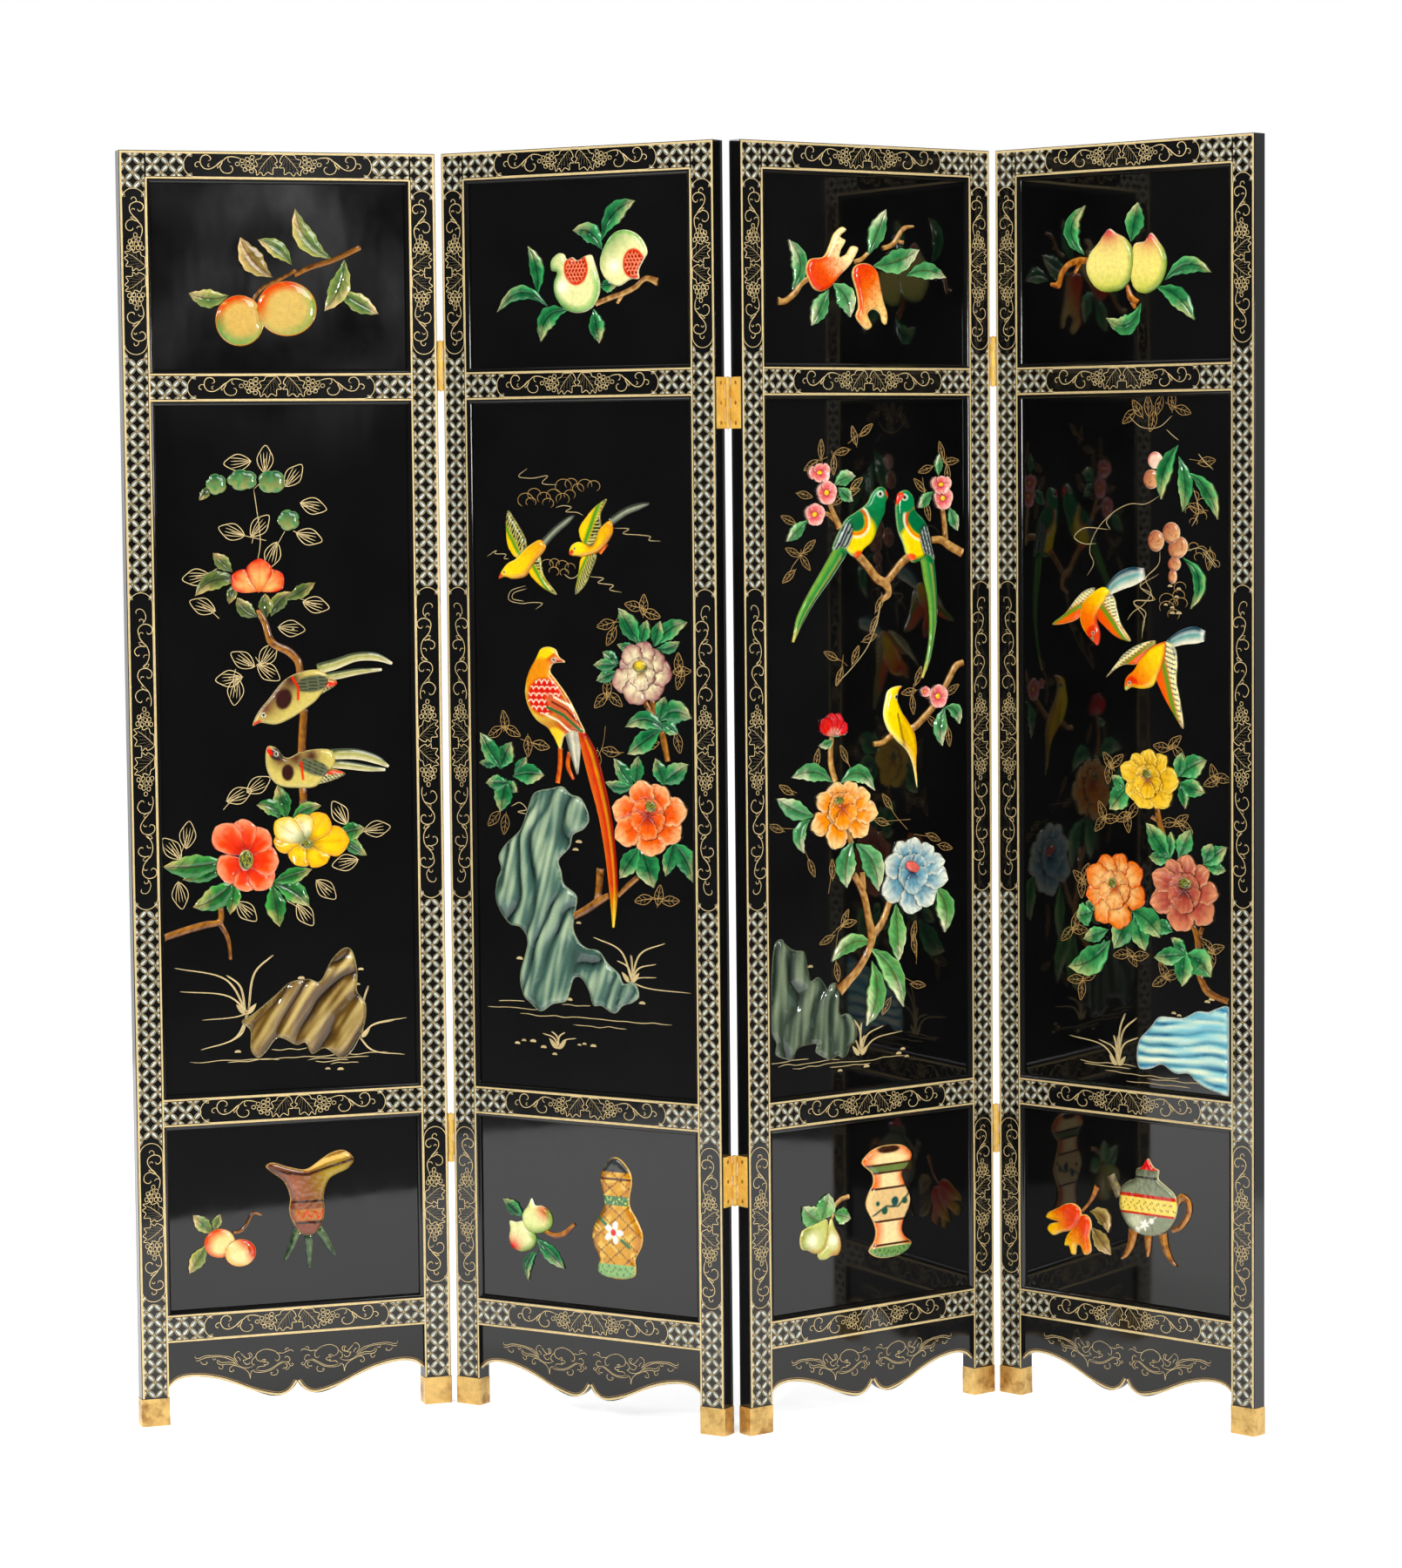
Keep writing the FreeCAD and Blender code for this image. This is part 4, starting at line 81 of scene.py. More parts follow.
class Mesh:
    """Vertices and faces on a leaf in its own millimetres, with a colour for each vertex."""

    def __init__(self):
        self.points = []
        self.faces = []
        self.colours = []
        self.count = 0

    def add(self, points, faces, colours):
        points = np.asarray(points, float)
        colours = np.asarray(colours, float)
        if colours.ndim == 1:
            colours = np.tile(colours, (len(points), 1))
        self.points.append(points)
        self.colours.append(colours)
        self.faces += [tuple(index + self.count for index in face) for face in faces]
        self.count += len(points)

    def piece(self, name, leaf, material, slot, smooth=True, nodes=()):
        """The finished object, riding on its leaf."""
        data = bpy.data.meshes.new(name)
        points = np.concatenate(self.points)
        matrix = np.array(leaf_matrix(leaf))
        world = points * MM @ matrix[:3, :3].T + matrix[:3, 3]
        data.from_pydata(world.tolist(), [], self.faces)
        layer = data.color_attributes.new("Paint", "FLOAT_COLOR", "POINT")
        colours = np.concatenate(self.colours)
        layer.data.foreach_set("color", np.column_stack((colours, np.ones(len(colours)))).ravel())
        data.materials.append(material)
        if smooth:
            data.shade_smooth()
        data.validate()
        piece = bpy.data.objects.new(name, data)
        bpy.context.scene.collection.objects.link(piece)
        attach(piece, "leaf_%d" % leaf)
        if nodes:
            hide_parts(*nodes)


# ---- materials

# The colour sockets of a mix node, by number because its float and vector sockets have the same names.
FIRST_COLOUR, SECOND_COLOUR, MIXED = 6, 7, 2


def new_material(name):
    material = bpy.data.materials.new(name)
    material.use_nodes = True
    return material, material.node_tree, material.node_tree.nodes["Principled BSDF"]


def node(tree, kind, **inputs):
    """A shader node with some of its settings or inputs set."""
    item = tree.nodes.new("ShaderNode" + kind)
    for key, value in inputs.items():
        if key in ("operation", "blend_type", "data_type", "attribute_name"):
            setattr(item, key, value)
        else:
            item.inputs[key.replace("_", " ")].default_value = value
    return item


def wire(tree, source, socket, target, into):
    tree.links.new(source.outputs[socket], target.inputs[into])


def noise(tree, scale, detail=4.0, roughness=0.55, stretch=(1, 1, 1)):
    """Noise in metres of the object's own space."""
    place = node(tree, "TexCoord")
    mapping = node(tree, "Mapping", Scale=stretch)
    item = node(tree, "TexNoise", Scale=scale, Detail=detail, Roughness=roughness)
    wire(tree, place, "Object", mapping, "Vector")
    wire(tree, mapping, "Vector", item, "Vector")
    return item


def ramp(tree, source, socket, stops):
    """Colours or values along a range, each stop a place and its colour or value."""
    item = node(tree, "ValToRGB")
    elements = item.color_ramp.elements
    while len(elements) < len(stops):
        elements.new(0.5)
    for element, (place, value) in zip(elements, stops):
        element.position = place
        element.color = (*value, 1) if len(np.atleast_1d(value)) == 3 else (value, value, value, 1)
    wire(tree, source, socket, item, "Fac")
    return item


def bump(tree, shader, height, socket, strength, distance):
    item = node(tree, "Bump", Strength=strength, Distance=distance)
    wire(tree, height, socket, item, "Height")
    wire(tree, item, "Normal", shader, "Normal")


def multiplied(tree, source, socket, tone, factor):
    """A colour darkened or lightened by a ramp, as the node whose output MIXED has the result."""
    mix = node(tree, "Mix", data_type="RGBA", blend_type="MULTIPLY")
    mix.inputs[0].default_value = factor
    wire(tree, source, socket, mix, FIRST_COLOUR)
    wire(tree, tone, "Color", mix, SECOND_COLOUR)
    return mix


def lacquer(name, base, wave, low, high):
    """Black gloss lacquer, brushed on by hand: slow waves, hairlines, faint dust and places of wear."""
    material, tree, shader = new_material(name)
    shader.inputs["IOR"].default_value = 1.5
    cloud = noise(tree, 9, 3)
    tone = ramp(tree, cloud, "Fac", ((0.3, base * 0.8), (0.75, base * 1.5)))
    wire(tree, tone, "Color", shader, "Base Color")
    rub = noise(tree, 22, 6, 0.6)
    gloss = ramp(tree, rub, "Fac", ((0.35, low), (0.8, high)))
    wire(tree, gloss, "Color", shader, "Roughness")
    slow = noise(tree, 14, 2, 0.4, (1, 1, 0.35))
    fine = noise(tree, 420, 2, 0.5)
    both = node(tree, "Math", operation="MULTIPLY_ADD")
    both.inputs[1].default_value = 0.012
    wire(tree, fine, "Fac", both, 0)
    wire(tree, slow, "Fac", both, 2)
    bump(tree, shader, both, "Value", wave, 0.004)
    return material


def painted(name, metal, rough, grain):
    """Gilding or coloured paint on lacquer, its colour from the mesh, with wear and unevenness."""
    material, tree, shader = new_material(name)
    paint = node(tree, "Attribute", attribute_name="Paint")
    wear = noise(tree, 160, 5, 0.65)
    tone = ramp(tree, wear, "Fac", ((0.28, 1 - grain), (0.6, 1.0), (0.85, 1.0 + grain * 0.5)))
    mix = multiplied(tree, paint, "Color", tone, 1)
    wire(tree, mix, MIXED, shader, "Base Color")
    shader.inputs["Metallic"].default_value = metal
    gloss = ramp(tree, wear, "Fac", ((0.3, rough + 0.12), (0.7, rough - 0.08)))
    wire(tree, gloss, "Color", shader, "Roughness")
    bump(tree, shader, wear, "Fac", 0.25, 0.0002)
    return material


def stone_paint():
    """Painted and varnished soapstone: brush streaks, painted shade in the hollows and slightly lighter
    ridges.
    """
    material, tree, shader = new_material("painted_stone")
    paint = node(tree, "Attribute", attribute_name="Paint")
    streak = noise(tree, 260, 6, 0.62, (1, 1, 1.8))
    tone = ramp(tree, streak, "Fac", ((0.25, 0.85), (0.55, 1.0), (0.85, 1.06)))
    rich = node(tree, "HueSaturation", Saturation=1.1)
    deep = node(tree, "Gamma", Gamma=1.12)
    wire(tree, paint, "Color", rich, "Color")
    wire(tree, rich, "Color", deep, "Color")
    streaked = multiplied(tree, deep, "Color", tone, 1)
    # Darker in the hollows as painted shade, a little lighter on the ridges.
    relief_geometry = node(tree, "NewGeometry")
    edges = ramp(tree, relief_geometry, "Pointiness", ((0.44, 0.45), (0.5, 1.0), (0.57, 1.04)))
    hollow_shaded = multiplied(tree, streaked, MIXED, edges, 0.85)
    wire(tree, hollow_shaded, MIXED, shader, "Base Color")
    gloss = ramp(tree, streak, "Fac", ((0.3, 0.16), (0.75, 0.3)))
    wire(tree, gloss, "Color", shader, "Roughness")
    shader.inputs["Specular IOR Level"].default_value = 0.15
    shader.inputs["Coat Weight"].default_value = 0.9
    shader.inputs["Coat Roughness"].default_value = 0.04
    bump(tree, shader, streak, "Fac", 0.12, 0.0003)
    return material


def aged_brass(name, shine, dark, scale, metal=0.85):
    """Sheet brass gone brown in places, with scratches and finger marks."""
    material, tree, shader = new_material(name)
    shader.inputs["Metallic"].default_value = metal
    patches = noise(tree, scale, 6, 0.65)
    tone = ramp(tree, patches, "Fac", ((0.33, dark), (0.5, shine * 0.8), (0.66, shine)))
    wire(tree, tone, "Color", shader, "Base Color")
    scratch = noise(tree, 300, 4, 0.7, (1, 1, 0.15))
    gloss = ramp(tree, scratch, "Fac", ((0.3, 0.24), (0.75, 0.46)))
    wire(tree, gloss, "Color", shader, "Roughness")
    bump(tree, shader, patches, "Fac", 0.5, 0.0012)
    return material


LACQUER = lacquer("black_lacquer", 0.003, 0.05, 0.05, 0.12)
BOARD_LACQUER = lacquer("black_board_lacquer", 0.002, 0.035, 0.03, 0.07)
GILT = painted("gilt_lines", 0.35, 0.42, 0.22)
PEARL = painted("pearl_lozenges", 0.1, 0.3, 0.14)
STONE = stone_paint()
BRASS = aged_brass("aged_brass", srgb(226, 186, 112), srgb(150, 108, 56), 38)
HINGE_BRASS = aged_brass("hinge_brass", srgb(240, 196, 92), srgb(214, 160, 64), 60, 0.25)
SCREW_BRASS = aged_brass("screw_brass", srgb(196, 150, 80), srgb(110, 76, 40), 200)
GOLD = srgb(221, 196, 140)
DEEP_GOLD = srgb(196, 156, 88)
SILVER = srgb(206, 216, 212)


# ---- curves and flat paint

# How far the sides of a painted line stand before its face, how much further its middle does, and the share
# of its width that a tapered line keeps at its ends.
PAINT_LIFT, RIDGE, END_SHARE = 0.05, 0.08, 0.25


def smooth(points, per, closed=False):
    """A rounded line through the points, with a number of steps from each to the next."""
    points = [np.asarray(point, float) for point in points]
    count = len(points)
    if count < 3:
        return np.array(points)
    out = []
    last = count if closed else count - 1
    for at in range(last):
        if closed:
            p0, p1, p2, p3 = (points[(at + k) % count] for k in (-1, 0, 1, 2))
        else:
            p1, p2 = points[at], points[at + 1]
            p0 = points[at - 1] if at else 2 * p1 - p2
            p3 = points[at + 2] if at + 2 < count else 2 * p2 - p1
        t1 = max(np.linalg.norm(p1 - p0), 1e-6) ** 0.5
        t2 = t1 + max(np.linalg.norm(p2 - p1), 1e-6) ** 0.5
        t3 = t2 + max(np.linalg.norm(p3 - p2), 1e-6) ** 0.5
        for step in range(per):
            t = t1 + (t2 - t1) * step / per
            a1 = (t1 - t) / t1 * p0 + t / t1 * p1
            a2 = (t2 - t) / (t2 - t1) * p1 + (t - t1) / (t2 - t1) * p2
            a3 = (t3 - t) / (t3 - t2) * p2 + (t - t2) / (t3 - t2) * p3
            b1 = (t2 - t) / t2 * a1 + t / t2 * a2
            b2 = (t3 - t) / (t3 - t1) * a2 + (t - t1) / (t3 - t1) * a3
            out.append((t2 - t) / (t2 - t1) * b1 + (t - t1) / (t2 - t1) * b2)
    if not closed:
        out.append(points[-1])
    return np.array(out)


def stroke(mesh, line, width, depth, colour, taper=0.0, closed=False):
    """A painted line of (x, z) on a face at a depth, with a faintly raised middle."""
    line = np.asarray(line, float)
    count = len(line)
    if closed:
        run = np.roll(line, -1, 0) - np.roll(line, 1, 0)
    else:
        run = np.gradient(line, axis=0)
    run /= np.maximum(np.linalg.norm(run, axis=1), 1e-9)[:, None]
    aside = np.column_stack((-run[:, 1], run[:, 0]))
    share = np.ones(count)
    if taper:
        along = np.linspace(0, 1, count)
        share = np.minimum(1, np.minimum(along, 1 - along) / taper + END_SHARE)
    half = (width / 2 * share)[:, None]
    points = []
    for side, lift in ((-1, 0.0), (0, RIDGE), (1, 0.0)):
        flat = line + aside * half * side
        points.append(np.column_stack((flat[:, 0], np.full(count, depth - PAINT_LIFT - lift), flat[:, 1])))
    faces = []
    last = count if closed else count - 1
    for row in range(2):
        for at in range(last):
            after = (at + 1) % count
            faces.append((row * count + at, row * count + after, (row + 1) * count + after,
                          (row + 1) * count + at))
    mesh.add(np.concatenate(points), faces, colour)


def patch(mesh, outline, depth, colour):
    """A flat painted shape."""
    outline = np.asarray(outline, float)
    points = np.column_stack((outline[:, 0], np.full(len(outline), depth), outline[:, 1]))
    mesh.add(points, [tuple(range(len(outline)))], colour)


def clipped(outline, low, high):
    """A convex outline cut to a rectangle."""
    shape = [tuple(point) for point in outline]
    for axis in (0, 1):
        for limit, keep in ((low[axis], 1), (high[axis], -1)):
            cut = []
            for at, point in enumerate(shape):
                before = shape[at - 1]
                inside = (point[axis] - limit) * keep >= 0
                was = (before[axis] - limit) * keep >= 0
                if inside != was:
                    share = (limit - before[axis]) / (point[axis] - before[axis])
                    cut.append((before[0] + (point[0] - before[0]) * share,
                                before[1] + (point[1] - before[1]) * share))
                if inside:
                    cut.append(point)
            shape = cut
            if len(shape) < 3:
                return []
    return shape


# ---- the gilt lattice and scrolls of the frame

# The lattice: the spacing of its circles, how far from a stile's edges it stops, the bulge of an outline and
# of the least part that is painted, the width of its line, and a lozenge's share of the run and its width.
CELL, LATTICE_EDGE = 11.4, 3.8
LENS_BULGE, LEAST_BULGE, LENS_LINE = 3.35, 2.6, 0.6
LOZENGE_SHARE, LOZENGE_WIDTH = 0.36, 3.2
LATTICE_COLUMNS, LATTICE_MIDDLE = 2, 976.5
LENS_STEPS, DAB_STEPS, END_STEPS = 6, 5, 14
# How far outlines and lozenges stand before the frame's face.
LENS_LIFT, LOZENGE_LIFT = 0.08, 0.06
# The feet and tops of the cartouches on a stile, the sides of those on a rail, and the radius of their ends.
STILE_CARTOUCHES = ((1539.7, 1776.6), (748.7, 1204.4), (180.6, 413.4))
RAIL_CARTOUCHE = (91.8, 369.0)
END_RADIUS = 18.0
CARTOUCHE_INSET = 2.0
LONG_CARTOUCHE = 400.0


def lens(first, second, bulge):
    """The pointed oval between two meeting points of the lattice circles."""
    first, second = np.asarray(first, float), np.asarray(second, float)
    run = second - first
    aside = np.array((-run[1], run[0])) / np.linalg.norm(run)
    along = np.linspace(0, 1, LENS_STEPS + 1)
    bow = bulge * 4 * along * (1 - along)
    middle = first + run * along[:, None]
    return np.concatenate((middle + aside * bow[:, None], (middle - aside * bow[:, None])[-2:0:-1]))


def in_cartouche(x, z, left, right, foot, top, margin):
    """Whether a place lies in a shape with round ends whose long side may be either way."""
    if right - left > top - foot:
        left, right, foot, top, x, z = foot, top, left, right, z, x
    middle = (left + right) / 2
    half = (right - left) / 2 + margin
    z = min(max(z, foot + END_RADIUS), top - END_RADIUS) - z
    return math.hypot(x - middle, z) < half


def lattice(gilt, pearl, left, right, foot, top, start, holes):
    """Interlocked gilt circles with a pale lozenge in each crossing, between two gilt lines."""
    low, high = (left + LATTICE_EDGE, foot), (right - LATTICE_EDGE, top)
    rng = random.Random(int(left * 7 + foot * 13))
    across = (left + right) / 2
    first = int((foot - start) // CELL) - 2
    last = int((top - start) // CELL) + 2
    for row in range(first, last + 1):
        for column in range(-LATTICE_COLUMNS, LATTICE_COLUMNS + 1):
            if (row + column) % 2:
                continue
            x, z = across + column * CELL, start + row * CELL
            for step in (-1, 1):
                ends = ((x, z), (x + step * CELL, z + CELL))
                middle = ((ends[0][0] + ends[1][0]) / 2, (ends[0][1] + ends[1][1]) / 2)
                if any(in_cartouche(*middle, *hole, 1.0) for hole in holes):
                    continue
                shape = clipped(lens(*ends, LENS_BULGE), low, high)
                if len(shape) < 3 or len(clipped(lens(*ends, LEAST_BULGE), low, high)) < 3:
                    continue
                outline_ring(gilt, np.array(shape), LENS_LINE, GOLD * rng.uniform(0.72, 1.0))
                run = np.array((ends[1][0] - ends[0][0], ends[1][1] - ends[0][1]))
                turn = 1 if rng.random() < 0.5 else -1
                head = np.array(middle) - run * LOZENGE_SHARE * turn
                tail = np.array(middle) + run * LOZENGE_SHARE * turn
                lozenge = clipped(drop_shape(head, tail, LOZENGE_WIDTH), low, high)
                if len(lozenge) >= 3:
                    patch(pearl, lozenge, -LOZENGE_LIFT, SILVER * rng.uniform(0.8, 1.02))


def outline_ring(mesh, shape, width, colour):
    """A thin painted line round a flat convex shape, kept inside it by the distance to its sides."""
    run = np.roll(shape, -1, 0) - np.roll(shape, 1, 0)
    run /= np.maximum(np.linalg.norm(run, axis=1), 1e-9)[:, None]
    aside = np.column_stack((-run[:, 1], run[:, 0]))
    turn = np.sign(np.sum(aside * (shape.mean(0) - shape), axis=1))
    turn[turn == 0] = 1
    inner = shape + aside * turn[:, None] * width
    count = len(shape)
    points = np.concatenate((shape, inner))
    points = np.column_stack((points[:, 0], np.full(2 * count, -LENS_LIFT), points[:, 1]))
    faces = [(at, (at + 1) % count, count + (at + 1) % count, count + at) for at in range(count)]
    mesh.add(points, faces, colour)


def drop_shape(head, tail, width):
    """A brush dab, fuller towards its head."""
    head, tail = np.asarray(head, float), np.asarray(tail, float)
    run = tail - head
    aside = np.array((-run[1], run[0])) / max(np.linalg.norm(run), 1e-9)
    along = np.linspace(0, 1, DAB_STEPS + 1)
    full = width / 2 * (np.sin(np.pi * along ** 0.7)) ** 0.8
    middle = head + run * along[:, None]
    return np.concatenate((middle + aside * full[:, None], (middle - aside * full[:, None])[-2:0:-1]))


def capsule(left, right, foot, top, inset):
    """The line of a cartouche with round ends, whose long side may be either way."""
    upright = top - foot > right - left
    if not upright:
        left, right, foot, top = foot, top, left, right
    middle = (left + right) / 2
    radius = (right - left) / 2 - inset
    points = []
    for start, level in ((0.0, top - END_RADIUS), (math.pi, foot + END_RADIUS)):
        for step in range(END_STEPS + 1):
            angle = start + math.pi * step / END_STEPS
            points.append((middle + radius * math.cos(angle), level + radius * math.sin(angle)))
    if not upright:
        points = [(z, x) for x, z in points]
    return np.array(points)


# Scroll strokes, each a width and its points, drawn on a grid of their own that rail_place and long_place
# turn into millimetres.
RAIL_MOTIF = (
    (0.9, ((203, 212), (185, 217), (165, 205), (158, 184), (172, 160), (200, 147), (228, 152), (240, 163))),
    (1.1, ((350, 130), (375, 125), (390, 100), (375, 70), (345, 52), (310, 48), (275, 60), (248, 90),
           (236, 130), (240, 170), (258, 205), (290, 235), (335, 247), (380, 243), (430, 222), (475, 190),
           (520, 150), (560, 125), (575, 120), (610, 90), (650, 72), (700, 68), (760, 75), (820, 92),
           (850, 100))),
    (0.8, ((375, 172), (355, 178), (347, 194), (357, 209), (376, 214))),
    (0.7, ((490, 235), (487, 205), (500, 180), (530, 150), (565, 128))),
    (0.7, ((495, 235), (520, 200), (545, 180), (565, 130))),
    (1.0, ((570, 125), (545, 165), (530, 205), (535, 245), (560, 280), (600, 300), (645, 303), (685, 290),
           (710, 260), (710, 225), (690, 203), (665, 203))),
    (0.8, ((660, 82), (645, 100), (646, 122), (660, 140), (682, 148))),
)
# A vine leaf, its veins and its bunch of grapes, as distances out from the middle of a cartouche and up.
VINE_LEAF = ((7.8, 15.6), (1.8, 5.7), (5.2, 3.1), (1.0, -2.6), (7.8, -3.1), (8.8, -12.4), (16.1, -9.1),
             (22.5, -14.2), (26.4, -9.1), (32.1, -13.5), (33.7, -6.5), (37.3, -2.6), (31.1, 0.0), (33.7, 7.8),
             (26.4, 10.4), (23.8, 15.0), (13.5, 15.8))
VINE_VEINS = (((8, 16), (13, 12), (24, 0), (30, -9)), ((11, 13), (5, 4)), ((12.5, 12), (6.5, -1)),
              ((14, 11), (11, -8)), ((17, 8), (17, -6)), ((20, 5), (23, -9)), ((15, 10), (24, 9)),
              ((21, 4), (31, 3)), ((25, -1), (33, -3)))
# The middles of the grapes.
VINE_GRAPES = ((60.6, 2.1), (53.6, 6.5), (52.2, -0.6), (46, 9), (45.5, 3.1), (45.3, -3.9), (38.8, 11.7),
               (39.2, 5.7), (40.0, -8.0), (38.6, -1.4), (49.5, -5.8))
LONG_MOTIF = (
    (0.9, ((222, 165), (200, 170), (183, 155), (180, 130), (195, 105), (225, 90), (255, 85), (285, 97),
           (305, 115))),
    (0.8, ((288, 140), (270, 138), (266, 122), (276, 108), (292, 106))),
    (1.1, ((375, 80), (395, 68), (390, 45), (370, 32), (345, 32), (322, 50), (310, 80), (312, 110),
           (330, 140), (360, 155), (395, 150), (430, 140), (460, 118), (475, 100))),
    (0.8, ((392, 110), (380, 120), (384, 138), (400, 142))),
    (0.7, ((468, 155), (462, 130), (480, 105), (500, 85))),
    (0.7, ((475, 150), (495, 125), (505, 95))),
    (1.0, ((500, 90), (498, 130), (508, 165), (530, 185), (555, 185), (575, 170), (577, 150), (565, 148))),
    (1.1, ((475, 100), (500, 82), (530, 68), (565, 62), (600, 65), (635, 78), (665, 100), (680, 115))),
    (0.8, ((575, 75), (572, 95), (585, 110), (598, 108))),
    (0.7, ((655, 60), (650, 80), (660, 105), (680, 120))),
    (0.7, ((650, 65), (675, 75), (683, 105))),
    (1.1, ((752, 88), (770, 78), (768, 55), (750, 42), (725, 42), (700, 60), (688, 90), (690, 120),
           (705, 148), (735, 163), (765, 163), (800, 145), (835, 118), (860, 95))),
    (0.8, ((765, 110), (757, 122), (762, 135), (778, 140))),
    (0.7, ((840, 140), (840, 115), (862, 95), (885, 75))),
    (0.7, ((850, 138), (870, 110), (885, 78))),
    (1.0, ((885, 80), (870, 110), (872, 145), (890, 172), (920, 187), (950, 180), (975, 160), (978, 138),
           (960, 130))),
    (1.0, ((860, 95), (890, 72), (925, 58), (965, 50), (1005, 55), (1015, 60))),
    (0.8, ((950, 65), (942, 80), (955, 92), (968, 90))),
)


GRAPE_HALVES, GRAPE_SIDES = (3.1, 2.6), 12
VEIN_LINE, GRAPE_LINE, LEAF_LINE = 0.6, 0.8, 0.9


def rail_place(point):
    return 139 - point[0] / 10, 19 - point[1] / 10


def long_place(point):
    return 233.5 - point[0] / 6, 21 - point[1] / 6


def motif(long):
    """The open strokes of one scroll as distances out from its middle and up."""
    place = long_place if long else rail_place
    strokes = [(width, [place(point) for point in points])
               for width, points in (LONG_MOTIF if long else RAIL_MOTIF)]
    return strokes + [(VEIN_LINE, points) for points in VINE_VEINS]


def scroll(mesh, across, along, upright, turn, long, squeeze, rng):
    """One cartouche's grapevine scroll, mirrored about its middle and squeezed along its length."""

    def place(out, up, side):
        out *= squeeze * side
        return (across + turn * up, along + out) if upright else (across + out, along + up)

    for side in (-1, 1):
        for width, points in motif(long):
            line = smooth([place(out, up, side) for out, up in points], per=5)
            stroke(mesh, line, width, 0.0, GOLD * rng.uniform(0.85, 1.0), 0.12)
        leaf_line = smooth([place(out, up, side) for out, up in VINE_LEAF], closed=True, per=4)
        stroke(mesh, leaf_line, LEAF_LINE, 0.0, GOLD, closed=True)
        for out, up in VINE_GRAPES:
            ring = [place(out + GRAPE_HALVES[0] * math.cos(angle) / squeeze,
                          up + GRAPE_HALVES[1] * math.sin(angle), side)
                    for angle in np.linspace(0, 2 * math.pi, GRAPE_SIDES + 1)[:-1]]
            stroke(mesh, ring, GRAPE_LINE, 0.0, GOLD * rng.uniform(0.85, 1.0), closed=True)


# The strokes on the left half of an apron, on a grid of their own that apron_place turns into millimetres.
APRON_STROKES = (
    ((160, 190), (158, 215), (175, 228), (215, 225), (250, 212), (300, 205), (370, 208), (440, 212),
     (500, 225), (560, 238), (600, 260), (625, 285), (645, 320), (668, 345), (700, 365), (745, 380),
     (785, 382), (825, 372), (862, 352)),
    ((160, 250), (185, 258), (210, 250), (240, 240), (300, 225), (360, 225), (440, 228), (500, 240),
     (555, 262), (600, 285), (625, 320), (650, 355)),
    ((215, 265), (240, 295), (270, 305), (290, 300), (300, 285), (285, 275)),
    ((365, 235), (375, 258), (395, 255), (400, 240)),
    ((420, 255), (415, 280), (430, 310), (470, 325), (530, 322), (590, 330), (630, 345), (690, 370),
     (740, 395), (780, 430), (800, 480), (805, 510), (812, 450), (830, 420), (880, 415)),
    ((425, 262), (450, 290), (490, 300), (550, 298), (600, 310), (640, 328)),
    ((470, 325), (485, 345), (470, 372), (445, 365), (432, 340)),
    ((640, 348), (600, 345), (575, 360), (562, 385), (570, 410), (600, 412), (610, 400), (595, 385)),
    ((690, 190), (660, 185), (635, 200), (620, 235), (640, 280), (665, 310)),
    ((655, 245), (680, 265), (695, 295)),
    ((690, 200), (720, 230), (755, 265), (780, 275), (820, 262), (828, 235), (810, 210), (780, 215)),
    ((775, 215), (800, 235), (800, 265), (770, 280), (740, 290), (725, 290), (735, 315), (760, 340),
     (795, 335), (805, 310)),
    ((862, 352), (835, 345), (825, 320), (835, 290), (865, 262), (885, 255)),
    ((1100, 300), (1120, 325), (1145, 320), (1158, 290), (1150, 255), (1120, 222), (1080, 200), (1030, 185),
     (980, 180), (930, 195), (890, 220), (875, 255), (885, 290), (915, 312), (950, 320)),
    ((915, 312), (940, 320), (960, 300), (990, 305), (960, 330), (1000, 330), (1025, 345), (1000, 365),
     (970, 360), (985, 375), (940, 378), (910, 380), (890, 395), (880, 412)),
    ((830, 420), (870, 440), (930, 448), (1000, 442), (1060, 425), (1110, 395), (1150, 370), (1190, 350),
     (1230, 345), (1260, 345)),
    ((880, 420), (940, 432), (1000, 428), (1050, 412), (1100, 385), (1150, 355), (1200, 330)),
    ((1110, 425), (1130, 435), (1135, 460), (1120, 485), (1090, 492), (1060, 485), (1048, 465),
     (1060, 458), (1080, 470)),
    ((1215, 300), (1230, 285), (1255, 285), (1275, 305), (1280, 330), (1265, 350), (1240, 352)),
    ((1240, 352), (1270, 370), (1285, 395), (1300, 400), (1318, 385), (1310, 370), (1290, 375)),
    ((1195, 430), (1200, 415), (1225, 420), (1245, 400), (1240, 375), (1215, 365)),
    ((1225, 440), (1260, 430), (1280, 400)),
    ((1120, 240), (1160, 235), (1200, 240), (1240, 225), (1280, 212), (1310, 215), (1325, 235)),
    ((1225, 215), (1235, 190), (1255, 185), (1270, 195)),
)
# The lower edge of an apron from a leg to its middle: shares of the half width and of the drop.
APRON_EDGE = ((0.0, 0.744), (0.084, 0.615), (0.236, 0.594), (0.43, 0.689), (0.686, 0.917), (0.869, 1.0),
              (0.948, 0.928), (1.0, 0.789))
APRON_DROP, APRON_FACE = 90.0, 5.0
# The lines of a frame: their widths, how far the edge lines stand in, and where the lower ends of those on a
# stile are, above the brass.
THICK_LINE, THIN_LINE, APRON_LINE, FINE_LINE = 2.9, 2.5, 2.8, 0.75
EDGE_LINE, INNER_LINE = 2.5, 1.5
LINE_FOOT = 41.0
LATTICE_FOOT, LATTICE_TOP = 42.0, HEIGHT - 4.2
CAPSULE_INSET, CAPSULE_LINE = 1.2, 0.9
# How far the two lines of an apron stand in from its lower edge.
APRON_INSETS = (1.8, 5.2)
# How much a scroll is squeezed to fit a long or a short cartouche of a stile, or one of a rail.
LONG_SQUEEZE, SHORT_SQUEEZE, RAIL_SQUEEZE = 1.0, 0.85, 0.985


